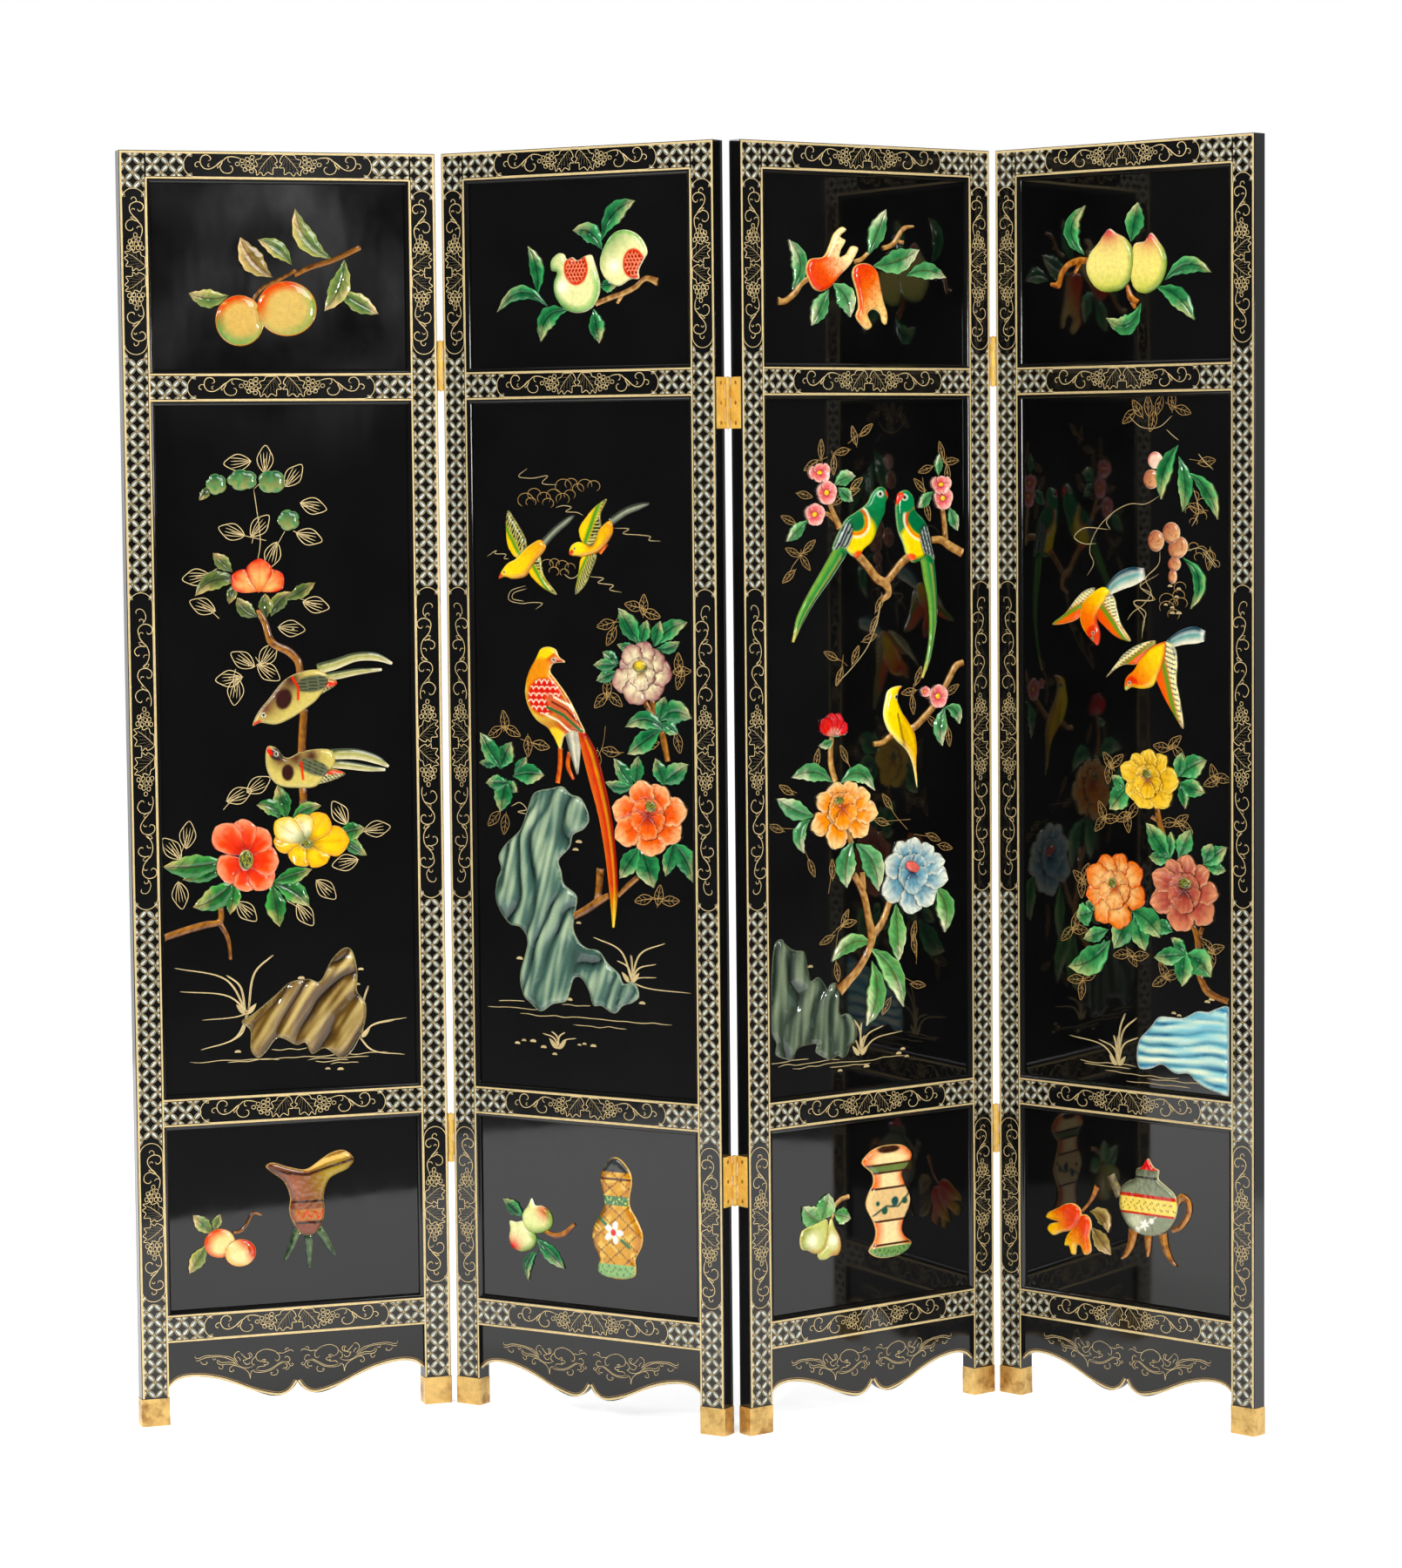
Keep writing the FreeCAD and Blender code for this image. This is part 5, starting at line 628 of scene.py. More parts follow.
def apron_edge(inset):
    """The lower edge of the apron, moved up by an inset."""
    half = [(MEMBER + OPENING / 2 * share, LEG - APRON_DROP * drop) for share, drop in APRON_EDGE]
    left = smooth(half, per=6)
    right = np.column_stack((WIDTH - left[::-1, 0], left[::-1, 1]))
    lines = []
    for line in (left, right):
        run = np.gradient(line, axis=0)
        run /= np.linalg.norm(run, axis=1)[:, None]
        aside = np.column_stack((-run[:, 1], run[:, 0]))
        lines.append(line + aside * inset)
    return lines


def apron_place(point):
    """From the grid of the apron's strokes to millimetres."""
    return 60 + point[0] / 8, 122 - point[1] / 8


def frame_lines(gilt, shade):
    """The straight gold lines along the members of one leaf."""
    for x in (EDGE_LINE, WIDTH - EDGE_LINE):
        stroke(gilt, [(x, LINE_FOOT), (x, HEIGHT - 1.2)], THICK_LINE, 0.0, shade)
    for x in (MEMBER - INNER_LINE, WIDTH - MEMBER + INNER_LINE):
        stroke(gilt, [(x, LINE_FOOT), (x, HEIGHT - MEMBER + INNER_LINE)], THIN_LINE, 0.0, shade)
    stroke(gilt, [(1.1, HEIGHT - EDGE_LINE), (WIDTH - 1.1, HEIGHT - EDGE_LINE)], THICK_LINE, 0.0, shade)
    for foot in RAILS:
        levels = (foot + INNER_LINE, foot + MEMBER - INNER_LINE)
        for level in levels[:1] if foot == RAILS[-1] else levels:
            stroke(gilt, [(MEMBER - INNER_LINE, level), (WIDTH - MEMBER + INNER_LINE, level)], THIN_LINE, 0.0,
                   shade)


def apron_gilding(gilt, shade, rng):
    """The two edge lines of an apron, and its strokes with their mirror images."""
    outer, inner = APRON_INSETS
    for line in apron_edge(outer):
        stroke(gilt, line, APRON_LINE, APRON_FACE, shade)
    for line in apron_edge(inner):
        stroke(gilt, line, 0.7, APRON_FACE, DEEP_GOLD * 0.7)
    for points in APRON_STROKES:
        line = [apron_place(point) for point in points]
        for track in (line, [(WIDTH - x, z) for x, z in line]):
            stroke(gilt, smooth(track, per=5), FINE_LINE, APRON_FACE, GOLD * rng.uniform(0.72, 0.95), 0.15)


def frame_gilding(leaf):
    """All the gold and pearl on the frame of one leaf."""
    gilt, pearl = Mesh(), Mesh()
    rng = random.Random(100 + leaf)
    shade = GOLD * 0.96
    frame_lines(gilt, shade)
    for left, turn in ((0.0, 1), (WIDTH - MEMBER, -1)):
        holes = [(left + CARTOUCHE_INSET, left + MEMBER - CARTOUCHE_INSET, foot, top)
                 for foot, top in STILE_CARTOUCHES]
        lattice(gilt, pearl, left, left + MEMBER, LATTICE_FOOT, LATTICE_TOP, LATTICE_MIDDLE, holes)
        for hole in holes:
            stroke(gilt, capsule(*hole, CAPSULE_INSET), CAPSULE_LINE, 0.0, shade, closed=True)
            foot, top = hole[2:]
            long = top - foot > LONG_CARTOUCHE
            squeeze = LONG_SQUEEZE if long else SHORT_SQUEEZE
            scroll(gilt, left + MEMBER / 2, (foot + top) / 2, True, turn, long, squeeze, rng)
    for foot in RAILS:
        hole = (*RAIL_CARTOUCHE, foot + CARTOUCHE_INSET, foot + MEMBER - CARTOUCHE_INSET)
        rail_lattice(gilt, pearl, foot, hole)
        stroke(gilt, capsule(*hole, CAPSULE_INSET), CAPSULE_LINE, 0.0, shade, closed=True)
        scroll(gilt, WIDTH / 2, foot + MEMBER / 2, False, 1, False, RAIL_SQUEEZE, rng)
    apron_gilding(gilt, shade, rng)
    gilt.piece("leaf_%d_frame_gilding" % leaf, leaf, GILT, "lacquer", smooth=False)
    pearl.piece("leaf_%d_frame_pearl" % leaf, leaf, PEARL, "lacquer", smooth=False)


def rail_lattice(gilt, pearl, foot, hole):
    """The lattice of a rail, at both ends of its cartouche."""
    for left, right in ((MEMBER - 1, hole[0] + END_RADIUS), (hole[1] - END_RADIUS, WIDTH - MEMBER + 1)):
        turned_gilt, turned_pearl = Mesh(), Mesh()
        turned_hole = (hole[2], hole[3], hole[0], hole[1])
        lattice(turned_gilt, turned_pearl, foot, foot + MEMBER, left, right, WIDTH / 2, [turned_hole])
        for turned, mesh in ((turned_gilt, gilt), (turned_pearl, pearl)):
            for points, colours in zip(turned.points, turned.colours):
                points[:, [0, 2]] = points[:, [2, 0]]
            mesh.points += turned.points
            mesh.colours += turned.colours
            mesh.faces += [tuple(index + mesh.count for index in face) for face in turned.faces]
            mesh.count += turned.count


# ---- the carved and painted reliefs

# The widths of a leaf and of a petal at even steps from root to tip.
LEAF_HALF_SHARES = (0.62, 1.0, 0.7)
PETAL_HALF_SHARES = (0.55, 0.9, 0.95)
# Where the points across a leaf, a petal and a twig lie, from one side to the other.
LEAF_SHARES = (-1, -0.9, -0.65, -0.38, -0.14, 0, 0.14, 0.38, 0.65, 0.9, 1)
PETAL_SHARES = (-1, -0.88, -0.66, -0.44, -0.22, 0, 0.22, 0.44, 0.66, 0.88, 1)
TWIG_SHARES = (-1, -0.72, -0.35, 0, 0.35, 0.72, 1)
# How far the rings of a fruit lie from its middle.
FRUIT_RINGS = (0.0, 0.14, 0.3, 0.45, 0.6, 0.73, 0.84, 0.93, 1.0)
NOTCH = 0.13
# Heights above the board, and the height that a piece keeps under the ones before it.
TWIG_HEIGHT, FRUIT_HEIGHT, FORM_HEIGHT, HIDDEN_HEIGHT = 3.0, 5.6, 5.4, 0.3
# The rounded rim of a form, and the spacing of the points in it and in a rock.
SHOULDER, FORM_SPACING, ROCK_SPACING = 8.0, 1.9, 2.9
# How far the pieces keep from the edge in sight, and how far their sides stop before the board.
SIGHT_MARGIN, BOARD_GAP = 0.5, 0.02
# How dark the sides of a piece are painted, as painted shade: a share of its front's colour.
PAINTED_SIDE_SHADE = 0.45
# The inner petals of a ruffled flower, each a direction and a share of the flower's reach, with their lift.
CUP_PETALS = ((270, 0.62), (330, 0.54), (210, 0.54), (35, 0.5), (145, 0.5), (90, 0.46))
CUP_WIDTH, CUP_LIFT = 0.66, 1.3


def board_point(window, point):
    """A place in hundredths of the opening's width, in a leaf's millimetres."""
    foot, top = WINDOWS[window]
    return MEMBER + UNIT * point[0], foot + (top - foot) * point[1] / WINDOW_SHARES[window]


def board_points(window, points):
    return np.array([board_point(window, point) for point in points])


def midrib(root, tip, width, bend, half_shares):
    """Points along a bent line from root to tip, with the width at each."""
    run = (tip[0] - root[0], tip[1] - root[1])
    points = [(root[0], root[1], 0)]
    steps = len(half_shares) + 1
    for step, share in enumerate(half_shares, start=1):
        along = step / steps
        aside = 4 * bend * along * (1 - along)
        points.append((root[0] + run[0] * along - run[1] * aside,
                       root[1] + run[1] * along + run[0] * aside, width * share))
    points.append((tip[0], tip[1], 0))
    return points


def ribbon_sides(points):
    """The two sides of a band through points that carry its width."""
    left, right = [], []
    for at, (across, up, width) in enumerate(points):
        first = points[max(at - 1, 0)]
        second = points[min(at + 1, len(points) - 1)]
        run = (second[0] - first[0], second[1] - first[1])
        long = math.hypot(*run)
        aside = (-run[1] / long * width / 2, run[0] / long * width / 2)
        left.append((across + aside[0], up + aside[1]))
        right.append((across - aside[0], up - aside[1]))
    return left, right


def within(points, outline):
    """Which points lie inside a closed outline."""
    x, z = points[:, 0][:, None], points[:, 1][:, None]
    x1, z1 = outline[:, 0], outline[:, 1]
    x2, z2 = np.roll(x1, -1), np.roll(z1, -1)
    crosses = (z1 > z) != (z2 > z)
    span = np.where(z2 == z1, 1e-9, z2 - z1)
    return (crosses & (x < x1 + (z - z1) / span * (x2 - x1))).sum(1) % 2 == 1


def edge_distance(points, outline):
    """How far each point is from an outline."""
    start, end = outline, np.roll(outline, -1, 0)
    run = end - start
    long = np.maximum((run ** 2).sum(1), 1e-9)
    best = np.full(len(points), 1e9)
    for a, r, l in zip(start, run, long):
        share = np.clip(((points - a) @ r) / l, 0, 1)
        best = np.minimum(best, np.hypot(*(points - a - share[:, None] * r).T))
    return best


def ripple(points, scale, seed):
    """Even noise in -1 to 1 at each (x, z) in millimetres."""
    return np.array([mathutils_noise.noise(Vector((x / scale, z / scale, seed))) for x, z in points])


def mixed(first, second, share):
    """One colour turned into another by a share for each point."""
    share = np.clip(np.asarray(share, float), 0, 1)[..., None]
    return np.asarray(first) * (1 - share) + np.asarray(second) * share


class Pile:
    """The pieces on one board, laid from the front one to the back one."""

    def __init__(self, mesh, leaf, window):
        self.mesh, self.leaf, self.window = mesh, leaf, window
        self.front = []
        foot, top = WINDOWS[window]
        inset = SIGHT - MEMBER + SIGHT_MARGIN
        self.low = np.array((MEMBER + inset, foot + inset))
        self.high = np.array((WIDTH - MEMBER - inset, top - inset))

    def lay(self, points, heights, faces, colours, rim, outline):
        """One carved piece: its front, and its side down to the board, darkened as painted shade."""
        points = np.clip(points, self.low, self.high)
        heights = np.array(heights, float)
        low, high = points.min(0), points.max(0)
        for other, other_low, other_high in self.front:
            if (other_low > high).any() or (other_high < low).any():
                continue
            near = ((points >= other_low) & (points <= other_high)).all(1)
            if near.any():
                hidden = np.zeros(len(points), bool)
                hidden[near] = within(points[near], other)
                heights[hidden] = np.minimum(heights[hidden], HIDDEN_HEIGHT)
        outline = np.clip(outline, self.low, self.high)
        self.front.append((outline, outline.min(0), outline.max(0)))
        count = len(points)
        front = np.column_stack((points[:, 0], BOARD_FACE - heights, points[:, 1]))
        back = front[rim].copy()
        back[:, 1] = BOARD_FACE - BOARD_GAP
        sides = [(rim[at], rim[(at + 1) % len(rim)], count + (at + 1) % len(rim), count + at)
                 for at in range(len(rim))]
        self.mesh.add(np.concatenate((front, back)), list(faces) + sides,
                      np.concatenate((colours, colours[rim] * PAINTED_SIDE_SHADE)))

    def grid(self, left, right, shares, height, colour):
        """A band between two sides; height and colour are of (along, across)."""
        rows, columns = len(left), len(shares)
        across = (np.asarray(shares) + 1) / 2
        points = right[:, None, :] * (1 - across)[None, :, None] + left[:, None, :] * across[None, :, None]
        along = np.repeat(np.linspace(0, 1, rows), columns)
        aside = np.tile(shares, rows)
        points = points.reshape(-1, 2)
        faces = []
        for row in range(rows - 1):
            for column in range(columns - 1):
                at = row * columns + column
                faces.append((at, at + 1, at + columns + 1, at + columns))
        rim = list(range(columns)) + [row * columns + columns - 1 for row in range(1, rows)]
        rim += [(rows - 1) * columns + column for column in range(columns - 2, -1, -1)]
        rim += [row * columns for row in range(rows - 2, 0, -1)]
        outline = np.concatenate((left, right[::-1]))
        self.lay(points, height(along, aside, points), faces, colour(along, aside, points), rim, outline)

    def leaf_piece(self, root, tip, width, bend, paint):
        """A leaf with a creased midrib, side veins, a waved rim and a curled tip."""
        left, right = ribbon_sides(midrib(root, tip, width, bend, LEAF_HALF_SHARES))
        left = smooth(board_points(self.window, left), per=5)
        right = smooth(board_points(self.window, right), per=5)
        dark, light, end, vein = paint
        rows = len(left)
        wave = min(1.0, width * 0.11) * np.sin(np.arange(rows) * 1.55)[:, None]
        run = left - right
        run /= np.maximum(np.linalg.norm(run, axis=1), 1e-6)[:, None]
        inside = np.sin(np.pi * np.linspace(0, 1, rows))[:, None] > 0.2
        left, right = left + run * wave * inside, right - run * wave * inside
        long = np.linalg.norm(left[-1] - left[0])
        veins = max(5, int(long / 6))
        seed = left[0, 0] * 0.37 + left[0, 1] * 0.11
        turned = 1 if math.sin(seed * 7) > 0 else -1

        def height(along, aside, points):
            dome = 1.5 + 2.1 * (1 - np.abs(aside) ** 2.2) * np.sin(np.pi * np.clip(along, 0.02, 0.98)) ** 0.4
            crease = 1.7 * np.exp(-(aside / 0.2) ** 2)
            side = 0.42 * np.sin((along * veins * 0.6 + np.abs(aside) * 1.3) * 2 * np.pi)
            curl = 1.1 * along ** 3 + 1.0 * turned * aside * np.sin(np.pi * along)
            return np.maximum(0.8, dome - crease + side * (np.abs(aside) > 0.1) + curl)

        def colour(along, aside, points):
            share = 0.1 + 0.75 * np.abs(aside) + 0.35 * ripple(points, 13, seed) + 0.3 * turned * aside
            tone = mixed(dark, light, share)
            fade_in = (along - 0.6) * 1.7 + 0.4 * ripple(points, 9, seed + 5) + 0.35 * turned * aside
            tone = mixed(tone, end, np.clip(fade_in, 0, 0.95))
            side = np.cos((along * veins + np.abs(aside) * 1.3) * 2 * np.pi) > 0.86
            tone = mixed(tone, vein, 0.35 * side * (np.abs(aside) < 0.9))
            return mixed(tone, vein, 0.8 * np.exp(-(aside / 0.08) ** 2) * (along < 0.93))

        self.grid(left, right, LEAF_SHARES, height, colour)

    def petal(self, root, tip, width, paint, ruffle=0.0, lift=0.0):
        """A cupped petal with painted streaks, painted shade at its root and along its sides, and a pale rim
        that may be ruffled.
        """
        left, right = ribbon_sides(midrib(root, tip, width, 0, PETAL_HALF_SHARES))
        line = smooth(board_points(self.window, left + right[-2::-1]), per=7)
        half = len(line) // 2
        if ruffle:
            along = np.abs(np.arange(len(line)) - half) / half
            wave = 2.4 * ruffle * (1 - np.abs(np.sin(np.arange(len(line)) * 0.47))) ** 1.4 * (along < 0.75)
            away = line - line.mean(0)
            line = line - away / np.maximum(np.linalg.norm(away, axis=1), 1e-6)[:, None] * wave[:, None]
        left, right = line[:half + 1], line[half:][::-1]
        # The streak tone also paints the shade at the root and along the sides.
        inner, middle, rim, streak = paint
        seed = left[0, 0] * 0.21 + tip[0] * 1.7 + tip[1]
        lobes = 2 if width < 6 else 3

        def height(along, aside, points):
            cup = 1.4 + 3.3 * np.clip(along, 0, 1) ** 0.8 - 1.6 * (1 - aside ** 2) * np.sin(np.pi * along)
            fold = (0.3 + ruffle * 0.4) * np.cos(aside * np.pi * lobes) * along
            lip = -1.5 * np.clip((np.abs(aside) - 0.8) / 0.2, 0, 1)
            lip -= 1.2 * np.clip((along - 0.88) / 0.12, 0, 1)
            return np.maximum(1.0, cup + fold + lip * 0.8) + lift

        def colour(along, aside, points):
            tone = mixed(inner, middle, along * 2.2)
            out = np.maximum(np.abs(aside) ** 2.2, np.clip(along * 1.6 - 0.6, 0, 1) ** 1.3)
            pale = np.clip((out - 0.18) * 1.3 + 0.2 * ripple(points, 8, seed), 0, 0.9) * (0.55 if lift else 1)
            tone = mixed(tone, rim, pale * np.clip((along - 0.15) * 3, 0, 1))
            lines = np.cos(aside * np.pi * 5 + 1.2 * ripple(points, 12, seed)) > 0.9
            tone = mixed(tone, streak, 0.25 * lines * (along < 0.8))
            # Painted shade at the root, where the petals meet.
            tone = mixed(tone, streak, np.clip(0.34 - along, 0, 1) * 2.4)
            # Painted shade along the sides, where the petals overlap.
            return mixed(tone, streak, 0.7 * np.clip((np.abs(aside) - 0.93) * 14, 0, 1) * (along < 0.8))

        self.grid(left, right, PETAL_SHARES, height, colour)

    def twig(self, points, paint):
        """A round stem, or a quilled feather where its paint has four tones."""
        left, right = ribbon_sides(points)
        left = smooth(board_points(self.window, left), per=6)
        right = smooth(board_points(self.window, right), per=6)
        dark, light, *rest = paint
        seed = left[0, 0] * 0.13

        def height(along, aside, points):
            return np.maximum(0.7, TWIG_HEIGHT * np.sqrt(np.maximum(0, 1 - 0.85 * aside ** 2))
                              + 0.5 * ripple(points, 7, seed))

        def colour(along, aside, points):
            if not rest:
                # Lighter towards one side as painted light, with random variation, and darker along both
                # edges.
                tone = mixed(dark, light, 0.45 + 0.6 * ripple(points, 6, seed + 3) + 0.35 * aside)
                return mixed(tone, dark, 0.6 * (np.abs(aside) > 0.9))
            far_side, end = rest
            tone = mixed(light, dark, np.clip(aside, 0, 1) * 1.3)
            tone = mixed(tone, far_side, np.clip(-aside, 0, 1) * 1.3)
            quill = np.exp(-((aside - 0.3) / 0.1) ** 2) * (along > 0.08)
            tone = mixed(tone, end, 0.55 * quill + np.clip((along - 0.82) * 5, 0, 1))
            return tone * (1 + 0.2 * ripple(points, 5, seed))[:, None]

        self.grid(left, right, TWIG_SHARES, height, colour)

    def fruit(self, middle, halves, paint, tilt, lobes=0):
        """A tilted oval dome, its rim notched between lobes where it has them."""
        turn = math.radians(tilt)
        spokes = lobes * 8 or max(16, int(min(40, halves[0] * UNIT)))
        places, far = [], []
        for ring in FRUIT_RINGS[1:]:
            for step in range(spokes):
                angle = 2 * math.pi * step / spokes
                notch = 1 - NOTCH * ring * (1 - abs(math.sin(angle * lobes / 2))) ** 1.6 if lobes else 1
                across = halves[0] * math.cos(angle) * ring * notch
                up = halves[1] * math.sin(angle) * ring * notch
                places.append((middle[0] + across * math.cos(turn) - up * math.sin(turn),
                               middle[1] + across * math.sin(turn) + up * math.cos(turn)))
                far.append(ring)
        places.insert(0, middle)
        far = np.array([0.0] + far)
        points = board_points(self.window, places)
        deep = (1 - far) * min(halves) * UNIT
        faces = [(0, 1 + step, 1 + (step + 1) % spokes) for step in range(spokes)]
        for ring in range(len(FRUIT_RINGS) - 2):
            for step in range(spokes):
                a, b = 1 + ring * spokes + step, 1 + ring * spokes + (step + 1) % spokes
                faces.append((a, a + spokes, b + spokes, b))
        rim = list(range(len(points) - spokes, len(points)))
        tall = min(FRUIT_HEIGHT, 2.2 + halves[0] * 0.75)
        heights = 1.0 + (tall - 1.0) * np.sqrt(np.maximum(0, 1 - far ** 2.4)) + 0.25 * ripple(points, 9, 2)
        self.lay(points, heights, faces, paint(np.array(places), points, deep), rim, points[rim])

    def blossom(self, middle, halves, tilt, tones):
        """A plum blossom in an oval: a yellow eye and five round petals."""
        self.fruit(middle, (halves[0] * 0.26, halves[1] * 0.26),
                   layers((240, 200, 80), ("rim", 1, (206, 120, 60))), 0)
        for step in range(5):
            angle = math.radians(tilt + 90 + 72 * step)
            tip = (middle[0] + halves[0] * 1.04 * math.cos(angle),
                   middle[1] + halves[1] * 1.04 * math.sin(angle))
            self.petal(middle, tip, (halves[0] + halves[1]) * 0.6, tones)

    def cup(self, petals, tones, ruffle):
        """The raised inner petals of a peony, in front of its outer ones."""
        centre = np.mean([root for root, _, _ in petals], 0)
        reach = np.mean([math.dist(root, tip) for root, tip, _ in petals])
        for turn, size in CUP_PETALS:
            angle = math.radians(turn)
            tip = (centre[0] + reach * size * math.cos(angle), centre[1] + reach * size * math.sin(angle))
            self.petal(tuple(centre), tip, reach * CUP_WIDTH, tones, ruffle, CUP_LIFT)

    def form(self, outline, paint):
        """A shape inside a closed curve, rounded at its rim, or a rock in folds."""
        spacing = ROCK_SPACING if isinstance(paint, Folds) else FORM_SPACING
        outline = smooth(board_points(self.window, outline), per=5, closed=True)
        outline = np.clip(outline, self.low, self.high)
        keep = np.linalg.norm(outline - np.roll(outline, 1, 0), axis=1) > 0.15
        outline = outline[keep]
        low, high = outline.min(0), outline.max(0)
        rows = np.arange(low[1], high[1], spacing * 0.87)
        grid = [(x + (spacing / 2 if row % 2 else 0), z) for row, z in enumerate(rows)
                for x in np.arange(low[0], high[0], spacing)]
        grid = np.array(grid)
        grid = grid[within(grid, outline)]
        if len(grid):
            grid = grid[edge_distance(grid, outline) > spacing * 0.45]
        places = np.concatenate((outline, grid)) if len(grid) else outline
        count = len(outline)
        result = delaunay_2d_cdt([Vector(place) for place in places], [], [list(range(count))], 1, 1e-5)
        points = np.array([tuple(vert) for vert in result[0]])
        faces = [tuple(face) for face in result[2]]
        origin = {old: new for new, olds in enumerate(result[3]) for old in olds}
        rim = [origin[at] for at in range(count) if at in origin]
        rim = [at for k, at in enumerate(rim) if at != rim[k - 1]]
        far = edge_distance(points, outline)
        if isinstance(paint, Folds):
            heights = paint.rise(points, far)
        else:
            rise = 1 - (1 - np.clip(far / SHOULDER, 0, 1)) ** 2
            heights = 1.0 + (FORM_HEIGHT - 1.0) * np.sqrt(np.clip(rise, 0, 1)) + 0.18 * ripple(points, 6, 4)
        foot, top = WINDOWS[self.window]
        shares = np.column_stack(((points[:, 0] - MEMBER) / UNIT,
                                  (points[:, 1] - foot) / (top - foot) * WINDOW_SHARES[self.window]))
        self.lay(points, heights, faces, paint(shares, points, far), rim, outline)


# ---- features of paint: each is a share from 0 to 1 for every point of a piece, from its place in hundredths
# of the opening's width, its place in millimetres and its distance from the piece's edge

def layers(base, *features):
    """A ground colour and features laid over it, each ending with its own colour."""

    def paint(shares, points, far):
        tone = np.tile(srgb(*base), (len(shares), 1))
        for kind, *rest in features:
            share = FEATURES[kind](shares, points, far, *rest[:-1])
            tone = mixed(tone, srgb(*rest[-1]), share)
        return tone * (1 + 0.12 * ripple(points, 6, 6))[:, None]

    return paint


def local(shares):
    """Places in the piece's own box, from 0 to 1."""
    low, high = shares.min(0), shares.max(0)
    return (shares - low) / np.maximum(high - low, 1e-6)


def fade(shares, points, far, start, end):
    """From nothing at one place of the piece's own box to all at another."""
    run = np.array(end, float) - np.array(start, float)
    along = ((local(shares) - np.array(start, float)) @ run) / (run @ run)
    along = np.clip(along + 0.12 * ripple(points, 10, 1), 0, 1)
    return along * along * (3 - 2 * along)


def edge(shares, points, far, way, width):
    """A soft rim on the side that faces one way."""
    away = local(shares) - 0.5
    away = away / np.maximum(np.hypot(*away.T), 1e-6)[:, None]
    facing = np.clip((away @ (np.array(way, float) / math.hypot(*way))) * 1.3 + 0.1, 0, 1)
    return np.clip(1 - far / width, 0, 1) ** 0.8 * facing


def glow(shares, points, far, middle, radius):
    return np.exp(-((shares - np.array(middle, float)) ** 2).sum(1) / radius ** 2)


def band(shares, points, far, foot, top):
    return ((shares[:, 1] > foot) & (shares[:, 1] < top)).astype(float)


def dot(shares, points, far, middle, radius):
    return np.clip((radius - np.hypot(*(shares - middle).T)) * 3 + 0.5, 0, 1)


def oval_distance(shares, middle, halves, tilt):
    """0 in the middle of a tilted oval and 1 on its rim."""
    turn = math.radians(tilt)
    away = shares - np.array(middle, float)
    across = away[:, 0] * math.cos(turn) + away[:, 1] * math.sin(turn)
    up = -away[:, 0] * math.sin(turn) + away[:, 1] * math.cos(turn)
    return np.hypot(across / halves[0], up / halves[1])


def oval(shares, points, far, middle, halves, tilt):
    return np.clip((1 - oval_distance(shares, middle, halves, tilt)) * 4 + 0.5, 0, 1)


def ring(shares, points, far, middle, halves, tilt, width):
    return np.clip(1 - np.abs(1 - oval_distance(shares, middle, halves, tilt)) / width, 0, 1)


def seeds(shares, points, far, middle, halves, tilt, size):
    """Rows of round seeds in an oval opening."""
    row = np.floor(shares[:, 1] / size)
    x = (shares[:, 0] / size + 0.5 * (row % 2)) % 1 - 0.5
    z = (shares[:, 1] / size) % 1 - 0.5
    return (np.hypot(x, z) > 0.4) * (oval_distance(shares, middle, halves, tilt) < 1)


def star(shares, points, far, middle, radius, rays):
    away = shares - np.array(middle, float)
    angle = np.arctan2(away[:, 1], away[:, 0])
    return np.clip((radius * (0.3 + 0.7 * np.abs(np.cos(angle * rays / 2))) - np.hypot(*away.T)) * 3, 0, 1)


def run_line(shares, points, far, line, width):
    best = np.full(len(shares), 1e9)
    line = np.array(line, float)
    for a, b in zip(line, line[1:]):
        run = b - a
        share = np.clip(((shares - a) @ run) / max(run @ run, 1e-9), 0, 1)
        best = np.minimum(best, np.hypot(*(shares - a - share[:, None] * run).T))
    return np.clip((width / 2 - best) * 3 + 0.5, 0, 1)


def hatch(shares, points, far, angle, period, width):
    turn = math.radians(angle)
    place = (shares[:, 0] * math.cos(turn) + shares[:, 1] * math.sin(turn)) / period
    return (np.abs(place % 1 - 0.5) < width / 2).astype(float)


def bars(shares, points, far, middle, halves, tilt, angle, period, width):
    """Stripes in an oval patch."""
    stripes = hatch(shares, points, far, angle, period, width)
    return stripes * (oval_distance(shares, middle, halves, tilt) < 1)


def mottle(shares, points, far, scale, seed, level):
    return np.clip((ripple(points, scale, seed) - level) * 5, 0, 1)


def crackle(shares, points, far, scale, seed, width):
    return np.clip((width - np.abs(ripple(points, scale, seed))) * 12, 0, 1)


def rim_share(shares, points, far, width):
    return np.clip((width - far) / width, 0, 1)


def zigzag(shares, points, far, foot, top, period, width):
    place = (shares[:, 0] / period) % 1
    line = foot + (top - foot) * np.abs(place * 2 - 1)
    inside = (shares[:, 1] > foot - width) & (shares[:, 1] < top + width)
    return np.clip((width - np.abs(shares[:, 1] - line)) * 4, 0, 1) * inside


def scales(shares, points, far, middle, halves, tilt, size):
    """Rows of small scallops in an oval patch."""
    row = np.floor(shares[:, 1] / size)
    x = (shares[:, 0] / size + 0.5 * (row % 2)) % 1 - 0.5
    z = (shares[:, 1] / size) % 1
    mark = np.clip((0.13 - np.abs(np.hypot(x, z * 0.9) - 0.48)) * 12, 0, 1)
    return mark * (oval_distance(shares, middle, halves, tilt) < 1)


FEATURES = {"fade": fade, "edge": edge, "glow": glow, "band": band, "dot": dot, "oval": oval, "ring": ring,
            "seeds": seeds, "star": star, "line": run_line, "hatch": hatch, "bars": bars, "mottle": mottle,
            "crackle": crackle, "rim": rim_share, "zigzag": zigzag, "scales": scales}


